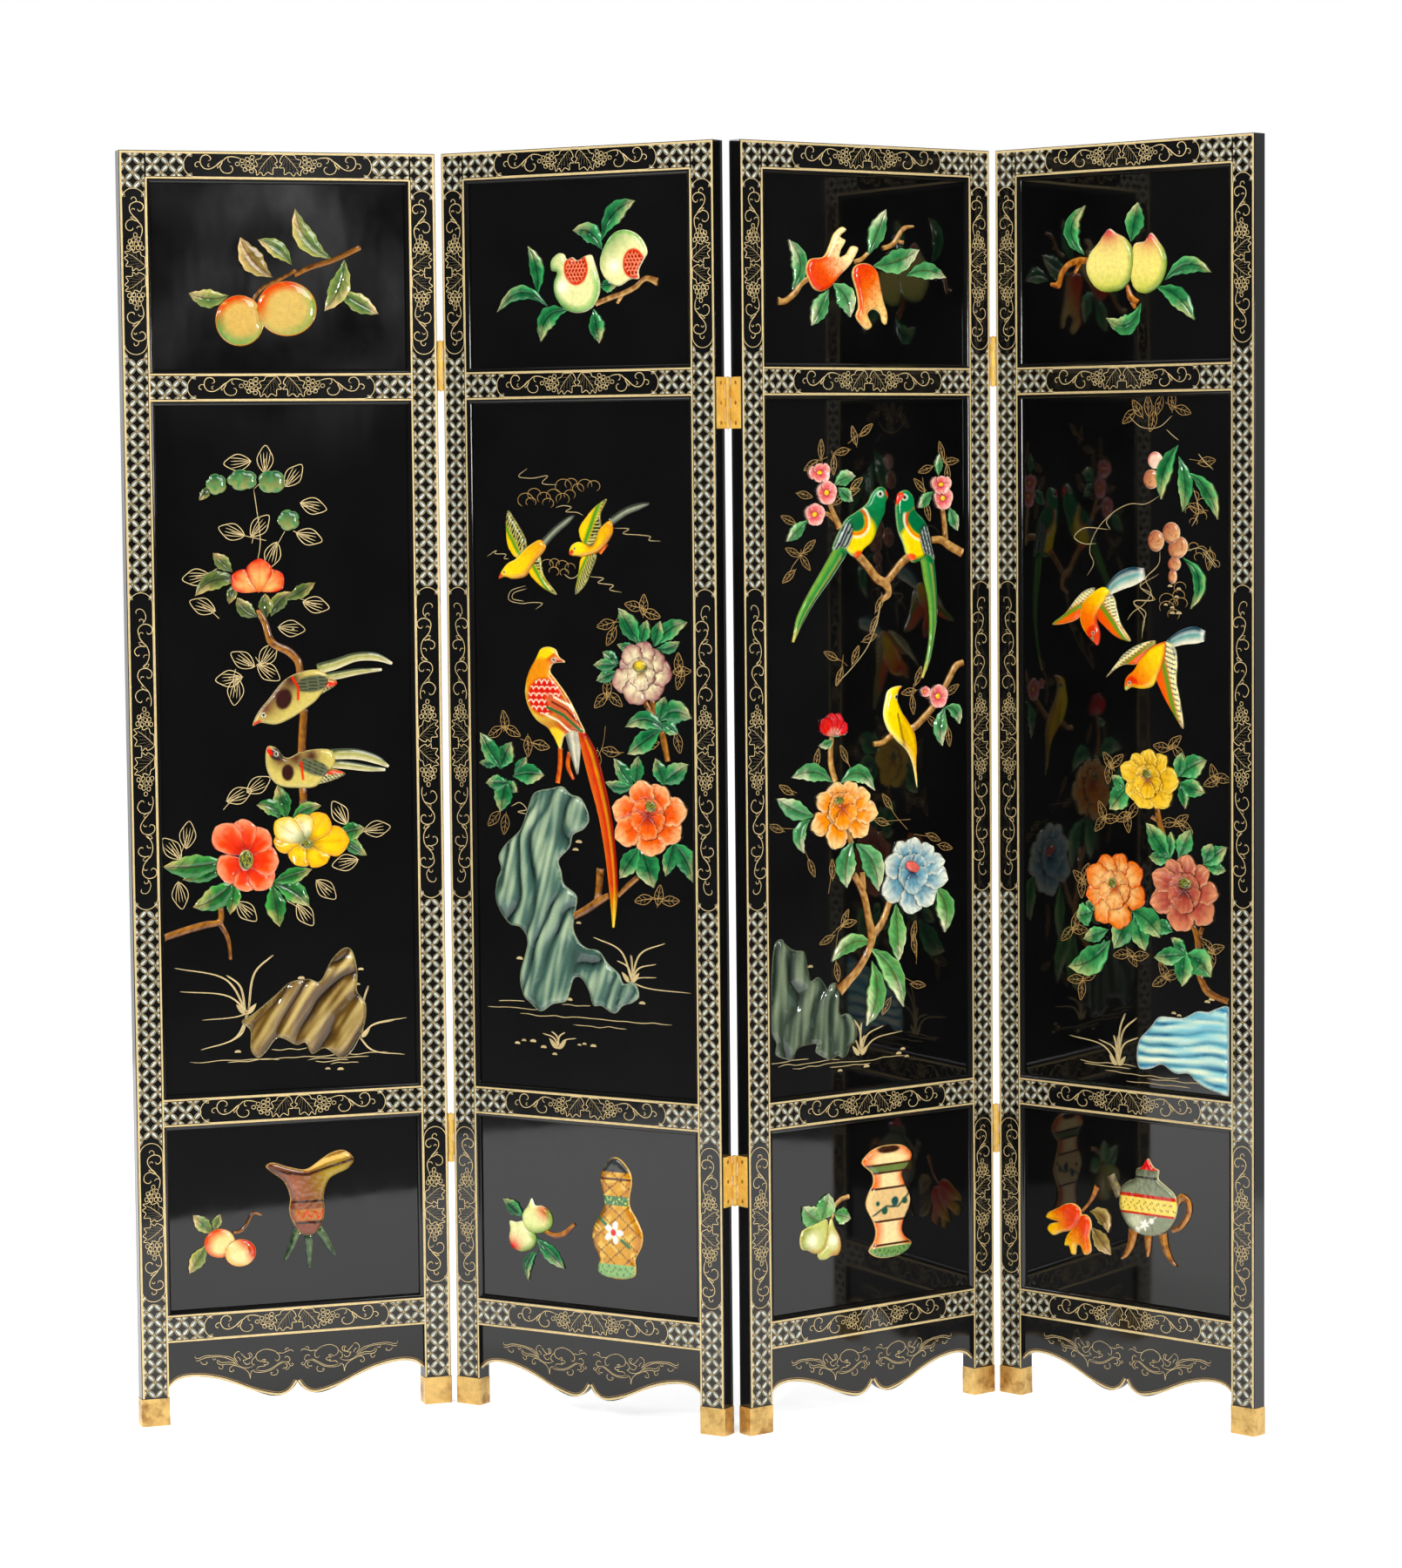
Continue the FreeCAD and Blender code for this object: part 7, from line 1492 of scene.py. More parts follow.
         (88, 143.6, 86.2, 128.8, 6.5, -0.12), (88, 143.4, 94.9, 136.8, 5.5, 0.25)),
        ("twig", "tan", ((31.4, 222, 2), (33.8, 217.3, 2.4), (36.4, 212.6, 3)),
         ((28, 218.3, 1.6), (31, 217.6, 1.8), (34, 215.6, 2)),
         ((44.4, 203, 3.4), (49.7, 198.2, 3.4), (54.6, 193.2, 3.6), (59, 191, 3.8), (60, 187.4, 3),
          (56.2, 184.8, 1.8)), ((58.8, 191.6, 3.2), (63, 195.6, 3), (67, 199.2, 3.2), (70.6, 201.4, 3.4)),
         ((81.4, 207.3, 2.6), (86.3, 207.2, 3), (90.5, 205, 3.4), (97, 202, 3.4)),
         ((87, 219.6, 2.2), (88, 214, 2.4), (88.6, 207.4, 2.6)),
         ((52, 131, 2), (56.3, 131.3, 2.2), (61.3, 133.8, 2.6), (67.2, 134.7, 2.8), (73, 136.8, 2.8),
          (78, 140.5, 2.8), (83, 144.6, 2.8)),
         ((87, 149.6, 2.6), (90.5, 155, 2.8), (93.8, 159.2, 2.8), (97.2, 160.2, 2.4))),
        ("petal", "rose", (32.6, 134.6, 27, 141.4, 7), (32.6, 134.6, 31.2, 143.6, 7),
         (32.6, 134.6, 35, 143.4, 7), (33.4, 135, 38.6, 139.6, 6)),
        ("leaf", "sea", (32.4, 133.8, 25.6, 131.6, 3.4, 0.1), (31.6, 134.2, 38.2, 135.2, 3.2, 0.2)),
        ("twig", "tan", ((33.5, 118, 2.6), (31.5, 124, 2.6), (31.3, 130, 2.4), (31.9, 134.6, 2))),
        ("leaf", "sea", (32.2, 117.6, 12.4, 120.3, 7, -0.15), (35.8, 117, 52.5, 113.5, 7, 0.3),
         (23.4, 105.3, 5, 113, 7.5, 0.05), (21.4, 104.6, 18, 91.8, 6, -0.3),
         (41.5, 95, 38.4, 77.6, 9.5, -0.1), (43, 94, 53.9, 75.2, 10, 0.15)),
        ("twig", "tan", ((38.8, 101.6, 2.4), (40, 97.4, 2.6), (41, 94, 2.6)),
         ((42, 82.4, 3), (44.7, 78.8, 3), (47.2, 73.6, 3), (49, 66.3, 3.2), (50.8, 58, 4),
          (49.2, 53.2, 3.2), (44, 46.4, 3.4), (39.7, 42.8, 3.6), (34.6, 38.8, 4.6)),
         ((46.4, 83, 2.6), (46.8, 76.4, 2.8)), ((51.4, 58.4, 3.4), (56.4, 64, 3), (60, 71.4, 3))),
        ("leaf", "pale", (51.7, 55.4, 31, 50.2, 7, -0.18), (50, 54, 66, 30.2, 9.5, 0.12),
         (50.8, 49, 47.8, 24.6, 9.5, 0.15), (62.8, 70, 63.8, 47.6, 8.5, 0),
         (82.5, 75.5, 87, 57.2, 9.5, 0.15)),
        ("form", "dark_rock",
         ((1.9, 26), (1.9, 42), (2.6, 53), (4.3, 59.3), (6.8, 60.5), (9, 58.4), (13, 55.9), (17.6, 55),
          (19, 51.3), (20.9, 43.8), (24.3, 44.9), (27.2, 42.6), (28.9, 39.6), (30.4, 41.6), (33, 42),
          (34.6, 37), (34.9, 30), (38.6, 30), (41.8, 27.2), (43.3, 22.6), (42, 18.8), (39.7, 17.8),
          (38.2, 14.6), (35.9, 13.4), (33.6, 14.5), (30.5, 13.2), (26.3, 14.7), (23, 17), (23.6, 19.6),
          (18.8, 19.7), (14.3, 18.8), (11.4, 14.8), (8.6, 15.4), (3.8, 17.6), (4.2, 21.8))),
    ),
    (4, "top"): (
        ("form", "front_rosy_peach",
         ((43.3, 50.7), (46.3, 49), (50.5, 47), (53.8, 43.2), (54.7, 38.2), (53.4, 32.3), (49.7, 28.4),
          (44.7, 27.2), (38.8, 27.8), (34.3, 31.5), (32.3, 36.5), (33.8, 41.5), (38, 45.7), (40.9, 49))),
        ("form", "back_rosy_peach",
         ((62.6, 48.4), (65.9, 45.3), (68.8, 41.5), (69.9, 37.3), (68.8, 32.3), (65.5, 28.2),
          (60.1, 26.1), (55.5, 27.5), (53.4, 31.5), (54, 38), (54.9, 44.6), (59.7, 45.5))),
        ("leaf", "bright", (31.5, 41.3, 32, 59.8, 7.5, 0.35), (53.4, 45.5, 56.8, 59.8, 8.5, 0),
         (69, 30.7, 90.3, 32.8, 6.5, 0.2), (65, 28.4, 82.5, 15.8, 7.5, 0.12),
         (58, 22.6, 41.8, 17.6, 7.5, 0.33)),
        ("twig", "orange",
         ((15.4, 31, 1.4), (18.8, 30.6, 3), (20.6, 34.8, 2.6), (23.8, 38, 2.4), (28.8, 39.4, 2.6),
          (33, 39.2, 2.6)), ((29.7, 39.2, 2), (26.8, 34.9, 1.4)),
         ((51.4, 29.4, 1.6), (53.2, 25, 2.8), (56.6, 22.9, 2.2)), ((53.6, 23.4, 2), (55.4, 20.7, 1.4))),
    ),
    (4, "low"): (
        ("form", "front_gold_citron",
         ((25.1, 35.7), (28, 34.2), (28.8, 32), (27.2, 28.2), (23.8, 25.3), (19.3, 24), (14.7, 22.4),
          (12.2, 24.7), (13.4, 26.6), (17.4, 27.8), (11.6, 28.9), (12.2, 30.6), (17.2, 33.2),
          (21.3, 35.3))),
        ("form", "back_gold_citron",
         ((29.3, 32), (32.2, 31.5), (33.6, 28.6), (32.6, 24), (33.5, 18.6), (32.2, 17), (30, 16.6),
          (28.4, 19.6), (26.6, 19.9), (25.7, 16.1), (23.9, 16.1), (22.8, 19), (20.6, 19.1), (21.8, 23.2),
          (25, 26.6))),
        ("leaf", "tan", (32.8, 33.5, 41.8, 26.5, 7, 0.25), (33.5, 27.6, 43, 18, 7, 0)),
        ("twig", "orange", ((29.2, 33.4, 1.1), (33, 37.3, 1.3), (35.1, 40.7, 2), (36.5, 43.6, 2.8))),
        ("form", "gray_jar",
         ((48, 44.8), (51.3, 47.3), (54.4, 48.8), (55, 52.2), (57.6, 53.4), (60.5, 56.8), (63.2, 53.8),
          (65.7, 52.7), (65.5, 49.6), (68.8, 47.3), (73, 44.4), (74.4, 40.7), (73.4, 35.7), (70.5, 31.5),
          (66.3, 28.6), (59.7, 27.3), (54.7, 28.2), (50.5, 30.7), (47.2, 36.5), (47, 40.4))),
        ("twig", "gray", ((43, 48.6, 4), (45, 45, 4), (47.4, 41.2, 4.6))),
        ("twig", "leg",
         ((74, 41.2, 2.8), (76.4, 43.7, 3), (79, 42.6, 2.8), (79.8, 39.4, 2.6), (78.2, 35.4, 2.4),
          (75, 32, 2.2), (71.8, 30.6, 1.8)),
         ((53.6, 29, 4.4), (52.5, 23.5, 3.4), (50, 19, 2), (48, 17.3, 0.8)),
         ((60.5, 28, 3.6), (60.5, 22.5, 2.6), (60.4, 19.4, 0.8)),
         ((67.4, 29, 4), (68.8, 23.4, 3.2), (71.4, 19.2, 2), (73.8, 17.3, 0.8))),
    ),
    (4, "tall"): (
        ("fruit", "seed_head", (60.3, 119.8, 2.2, 1.8, 0)),
        ("petal", "gold", (61, 120, 63, 111.6, 13), (61, 117.5, 48.2, 122, 9), (61, 117.5, 53.8, 127, 8),
         (61, 117.5, 61.3, 129.3, 9), (61, 117.5, 69.2, 127.2, 8), (61, 117.5, 75.4, 117.8, 11),
         (61, 117.5, 71, 108.2, 11), (61, 117.5, 58, 106.6, 12), (61, 117.5, 51, 112, 10)),
        ("fruit", "seed_head", (44, 77.8, 2, 2, 0)),
        ("petal", "tangerine", (44.5, 80, 48, 69, 12), (45.5, 76.5, 32, 82, 11),
         (45.5, 76.5, 39.2, 88.2, 10), (45.5, 76.5, 48.6, 89.5, 9), (45.5, 76.5, 58, 84.2, 11),
         (45.5, 76.5, 59.7, 71.6, 11), (45.5, 74, 48.4, 60.4, 12), (45.5, 74, 37, 62.8, 10),
         (45.5, 76.5, 32, 72, 11)),
        ("fruit", "seed_head", (78, 79.7, 3.2, 2, 0)),
        ("petal", "dusk", (78, 82, 78, 71.4, 14), (78, 77, 63, 82.4, 10), (78, 77, 70, 88, 9),
         (78, 77, 79, 90.7, 10), (78, 77, 88.8, 86, 9), (78, 77, 93.5, 76.6, 10), (78, 75, 91, 66.6, 12),
         (78, 75, 75, 61.4, 13), (78, 76, 62.2, 71, 11)),
        ("form", "upper_orange_bird",
         ((37.2, 167.3), (35.2, 168.4), (31.2, 172.2), (28.9, 177.2), (30.1, 183), (33.8, 186.5),
          (39.7, 189.3), (43, 188), (41, 184), (38, 180), (37, 176.6), (38.4, 171.3))),
        ("form", "wing_4a",
         ((36, 188.9), (31.3, 188), (26.3, 184.1), (22, 179.4), (15.4, 174.9), (23, 175.5),
          (28.4, 177.6), (31.6, 183))),
        ("form", "wing_4b",
         ((35, 184.8), (41.3, 188), (44.9, 185.5), (46.4, 180.5), (48.2, 175.5), (52.7, 169.3),
          (46.3, 170.5), (41.3, 173.8), (36.5, 178.4))),
        ("form", "lower_orange_bird",
         ((50.3, 150.7), (50.5, 155.3), (54.4, 158.6), (57.6, 163), (63.4, 167.8), (69.6, 169),
          (68, 160), (64.9, 155.3), (63, 152.7), (58, 151.5), (53, 151.9))),
        ("form", "wing_4c",
         ((64.7, 169.5), (56.3, 168), (49.7, 164.5), (45.4, 160), (41.2, 155.4), (46, 158.8),
          (50, 160.4), (56.3, 161))),
        ("form", "wing_4d",
         ((66.4, 168.6), (70, 169.3), (73.5, 166.8), (74.4, 161.3), (74, 154.7), (75.6, 148),
          (77.1, 137.2), (73, 142.2), (68.8, 148), (65.4, 154), (63.6, 160), (64, 165))),
        ("twig", "tail4", ((41.6, 187.6, 3.4), (48, 191.6, 6.6), (54, 193.6, 7), (59.4, 194.6, 4)),
         ((70.4, 168.6, 3.4), (77, 171.2, 5.6), (83, 172.2, 6.4), (87, 171.8, 4))),
        ("leaf", "bright", (50, 114, 44, 118.4, 5, 0), (52, 115, 43, 105.7, 9.5, 0),
         (74.8, 119, 76.6, 128.4, 5.6, 0), (75.6, 119.4, 88, 126, 9, 0.05),
         (75.4, 117, 87.3, 113.8, 7, 0), (76, 117.6, 78.4, 107.6, 5, 0), (71, 88.4, 60.2, 101.4, 8.5, 0),
         (71, 88.4, 71.6, 98.6, 5, 0), (72, 88.6, 61.4, 88.8, 6, 0), (75, 88.6, 80.6, 99.9, 7.4, 0),
         (86.6, 88, 90.6, 95.2, 6, 0), (86, 87, 97.4, 94.2, 7, 0), (87.4, 87, 96.9, 85.4, 5, 0),
         (34.6, 66, 27, 64, 9, 0), (36, 67, 31.6, 70, 6, 0), (42, 60, 30.2, 55.6, 6, 0),
         (42.8, 56, 23, 44.6, 11, 0.12), (40, 56, 38.4, 46.8, 5, 0), (53, 67.4, 45, 53, 10, 0),
         (53, 68, 66.6, 58.6, 10, 0.1), (54.4, 67, 59.6, 53.2, 9, 0), (78.6, 53, 63.8, 51, 7, 0),
         (78.6, 54, 71.8, 58.9, 5, 0), (78, 55, 76.8, 41.1, 9, 0), (78, 53, 90, 45.4, 11, 0.12),
         (72.4, 61.2, 63.6, 64.2, 6, 0)),
        ("twig", "brown", ((64.6, 109, 2.4), (65.9, 103, 2.6), (68.4, 95, 3)),
         ((66, 102, 1.4), (62.6, 103.7, 1.6)),
         ((98, 36.9, 2.4), (93.8, 37.9, 2.4), (88.4, 40, 3.2), (85.6, 43.8, 3), (83.6, 49, 2.6)),
         ((83.8, 52, 2.4), (83.8, 59, 3), (81.4, 65, 2.2)), ((84, 59, 2.4), (86, 63.8, 2))),
        ("leaf", "bright", (75, 242.2, 67.3, 222.2, 7.5, -0.12), (75.4, 238, 77.3, 217.6, 6.5, 0.1),
         (80, 232, 93.2, 214.8, 6.5, 0.12), (77.3, 200.6, 80.8, 181.7, 6, 0.3)),
        ("fruit", "pale_fruit", (64.4, 236.7, 3.4, 3.2, 0)),
        ("fruit", "russet_fruit", (62.6, 229.7, 3.8, 3.6, 0), (71.8, 209.8, 4.1, 4, 0),
         (64.7, 206.8, 3.8, 4, 0), (74.9, 204.4, 4.7, 4, 25), (73.2, 198.2, 3, 2.6, 0),
         (72.4, 193.6, 2, 2.6, 0)),
        ("form", "blue_rock",
         ((98.1, 1.8), (93.8, 2.4), (86.3, 4.3), (82.6, 6.3), (79.7, 8.4), (73.4, 8), (67.2, 10.8),
          (61.3, 8.7), (56.4, 8.8), (55.7, 16.3), (57.2, 20), (61.3, 23.8), (65.9, 28.6), (71.3, 29),
          (77.2, 29.2), (83.8, 32.2), (88.8, 32.4), (92.2, 33.8), (98.1, 34.8))),
    ),
}


# ---- paints of the reliefs

# A leaf's hollow, its light half, its tip and its veins.
LEAF_PAINTS = {
    "low": ((18, 84, 44), (84, 160, 84), (214, 190, 130), (50, 34, 20)),
    "olive": ((40, 70, 40), (140, 150, 84), (214, 186, 130), (54, 36, 22)),
    "top": ((40, 104, 56), (176, 176, 104), (240, 208, 160), (90, 52, 26)),
    "deep": ((8, 84, 50), (80, 164, 104), (206, 200, 150), (20, 36, 24)),
    "sea": ((20, 110, 66), (130, 190, 130), (244, 236, 200), (70, 60, 36)),
    "bright": ((14, 96, 56), (104, 184, 118), (214, 208, 150), (30, 60, 36)),
    "tan": ((110, 92, 44), (190, 168, 110), (240, 212, 164), (110, 60, 30)),
    "pale": ((50, 130, 70), (150, 200, 130), (246, 238, 204), (100, 70, 40)),
}
# A petal's root, its middle, its rim and its streaks, whose tone also gives the painted shade at its root and
# sides, and how ruffled its rim is.
PETAL_PAINTS = {
    "red": ((200, 36, 18), (232, 70, 40), (244, 176, 140), (150, 20, 10), 0.3),
    "yellow": ((196, 160, 60), (250, 200, 28), (236, 170, 30), (120, 70, 20), 0.2),
    "heart": ((120, 140, 80), (238, 230, 190), (246, 196, 40), (100, 96, 50), 0.2),
    "orange": ((180, 36, 10), (234, 96, 40), (252, 206, 156), (130, 26, 10), 1.1),
    "cream": ((206, 176, 96), (240, 228, 190), (150, 76, 90), (90, 30, 50), 1.0),
    "apricot": ((206, 90, 20), (244, 150, 50), (252, 228, 176), (160, 60, 16), 1.1),
    "blue": ((10, 56, 100), (110, 160, 176), (246, 244, 222), (8, 44, 80), 1.0),
    "pink": ((190, 40, 66), (236, 130, 130), (250, 214, 196), (170, 30, 60), 0.0),
    "dusk": ((110, 36, 34), (180, 96, 84), (228, 166, 128), (84, 30, 26), 1.0),
    "gold": ((190, 110, 20), (236, 192, 84), (250, 216, 110), (130, 66, 10), 1.0),
    "tangerine": ((206, 96, 40), (246, 200, 140), (232, 106, 30), (170, 60, 16), 1.0),
    "bud": ((240, 190, 120), (244, 180, 124), (206, 30, 40), (206, 60, 50), 0.0),
    "rose": ((246, 226, 196), (220, 50, 54), (196, 24, 40), (140, 16, 30), 0.0),
}
# A stem's shade and its light; a feather also has its other side and its end.
TWIG_PAINTS = {
    "brown": ((84, 48, 22), (196, 140, 78)),
    "tan": ((130, 84, 40), (230, 190, 130)),
    "orange": ((130, 66, 24), (222, 160, 90)),
    "claw": ((190, 60, 20), (244, 140, 60)),
    "gray": ((70, 60, 44), (176, 160, 120)),
    "leg": ((110, 60, 24), (214, 156, 90)),
    "jade": ((22, 50, 34), (120, 140, 96)),
    # Its near-white end, laid on the quill and the tip, is a painted highlight.
    "tail": ((60, 76, 40), (170, 168, 96), (220, 210, 170), (240, 232, 200)),
    "tail2": ((18, 22, 20), (170, 176, 150), (54, 60, 50), (22, 24, 22)),
    "pheasant_tail": ((150, 24, 16), (206, 50, 26), (222, 110, 40), (248, 220, 100)),
    "covert": ((200, 196, 176), (232, 226, 200), (120, 120, 110), (90, 90, 84)),
    "parrot_tail": ((16, 96, 50), (40, 140, 74), (130, 170, 80), (226, 206, 120)),
    "tail4": ((24, 66, 84), (110, 168, 160), (236, 230, 206), (246, 244, 232)),
}
GRID_PAINTS = {"leaf": LEAF_PAINTS, "petal": PETAL_PAINTS, "twig": TWIG_PAINTS}
# Petals more ruffled than this have raised inner ones before them.
RUFFLED = 0.9
# Wings by leaf: the tones of the birds there, the dark share of a feather, and each wing's shoulder, its tip,
# the side that its feathers lie on and their count.
BIRD_WINGS = {
    "1": (((110, 70, 44), (180, 150, 90), (220, 70, 50), (214, 204, 150), (40, 60, 44)), 0.5,
          ((52, 122), (73, 121), -1, 15), ((57, 157), (70, 155), -1, 10)),
    "2": (((246, 206, 44), (236, 190, 70), (90, 150, 60), (196, 188, 120), (34, 40, 28)), 0.55,
          ((24, 203), (17, 220), -1, 15), ((26, 202), (39, 188), 1, 15),
          ((52, 209), (62, 224), -1, 15), ((54, 206), (47, 189), 1, 15)),
    "4": (((240, 90, 24), (240, 120, 40), (110, 150, 60), (238, 226, 170), (20, 60, 84)), 0.3,
          ((34, 182), (15, 176), -1, 15), ((38, 182), (53, 170), 1, 15),
          ((62, 166), (42, 156), -1, 15), ((66, 164), (77, 138), 1, 15)),
}


def each(kind, colour, *features):
    """Features of one kind that share a colour."""
    return tuple((kind, *feature, colour) for feature in features)


def eye(place, size):
    return ("dot", place, size * 1.3, (236, 230, 200)), ("dot", place, size * 0.9, (12, 10, 10))


def cluster(seed):
    """A knobbly green bunch."""
    return layers((36, 96, 64), ("fade", (0.5, 1.0), (0.5, 0.0), (150, 156, 96)),
                  ("mottle", 9, seed, 0.1, (90, 140, 90)), ("rim", 1.6, (120, 150, 100)))


def seed_head(*lit):
    """The hatched middle of a flower."""
    return layers((150, 150, 70), *each("hatch", (50, 60, 40), (45, 0.9, 0.3), (-45, 0.9, 0.3)),
                  ("rim", 1.0, (206, 196, 130)), *lit)


def peach(first, second, place, size, tip):
    """A pale fruit with a glowing tip, and a painted highlight along its upper left rim."""
    return layers(first, ("fade", (0.5, 0.45), (0.5, -0.1), second), ("glow", place, size, tip),
                  # The thin near-white rim to the upper left is a painted highlight.
                  ("edge", (1, -0.6), 9, (120, 150, 70)), ("edge", (-1, 1), 2.0, (250, 244, 210)))


def apple(ground, *features):
    return layers(ground, *features, ("rim", 1.0, (190, 120, 60)))


def pear(ground, lit, *edges):
    # The near-white glow at lit is a painted highlight.
    return layers(ground, *edges, ("glow", lit, 2.6, (246, 244, 210)), ("rim", 1.0, (240, 226, 160)))


def citron(ground, *features):
    return layers(ground, *features, ("crackle", 7, 3, 0.05, (170, 50, 20)), ("rim", 1.4, (250, 220, 150)))


def pomegranate(ground, opening, halves, seeded, lips, lit, *blush):
    """A pale fruit split open on its red seeds, with a painted highlight at lit."""
    return layers(ground, *blush, ("oval", opening, halves, 0, (150, 26, 26)),
                  ("seeds", opening, seeded, 0, 1.5, (240, 150, 120)),
                  ("ring", opening, lips, 0, 0.16, (214, 40, 36)),
                  # The near-white glow at lit is a painted highlight.
                  ("glow", lit, 2.4, (250, 248, 220)), ("rim", 1.0, (246, 240, 200)))


def yellow_bird(head, eye_at, beak):
    return layers((244, 204, 44), ("fade", (0.5, 0.3), (1.0, 1.0), (220, 160, 60)),
                  ("oval", head, (3.4, 2.4), 0, (250, 214, 60)), *eye(eye_at, 0.45),
                  ("line", beak, 1.5, (214, 40, 24)), ("edge", (1, -1), 8, (190, 120, 30)),
                  ("edge", (-1, 1), 4, (252, 236, 140)))


def orange_bird(start, end, head, eye_at, beak, *edges):
    """An orange bird that turns to yellow from one place to another."""
    return layers((240, 116, 34), ("fade", start, end, (246, 212, 60)),
                  ("oval", head, (3.8, 3.4), 0, (224, 60, 26)), *eye(eye_at, 0.6),
                  ("line", beak, 1.4, (90, 170, 130)), *edges)


def parrot(head, cheek, middle, foot, flank, stripes, turn, beak):
    """A green parrot: its head, yellow breast, green shoulder and dark wing feathers."""
    return layers((24, 120, 70), ("oval", middle, (9, 7), 20, (240, 212, 44)),
                  ("oval", flank, (6.4, 4.4), -30, (14, 112, 66)),
                  ("ring", flank, (7.2, 5.2), -30, 0.14, (236, 84, 36)),
                  ("ring", flank, (8.4, 6.4), -30, 0.12, (244, 232, 196)),
                  ("oval", stripes, (7.4, 3.6), turn + 90, (44, 54, 56)),
                  ("bars", stripes, (7.0, 3.3), turn + 90, turn, 1.5, 0.4, (160, 168, 160)),
                  ("oval", head, (5.0, 4.2), 0, (22, 132, 78)),
                  ("oval", cheek, (1.8, 1.3), 0, (150, 200, 180)), *eye(cheek, 0.9),
                  ("rim", 1.0, (150, 190, 130)), ("oval", foot, (2.4, 1.4), 0, (238, 96, 40)),
                  ("line", beak, 2.0, (226, 60, 30)))


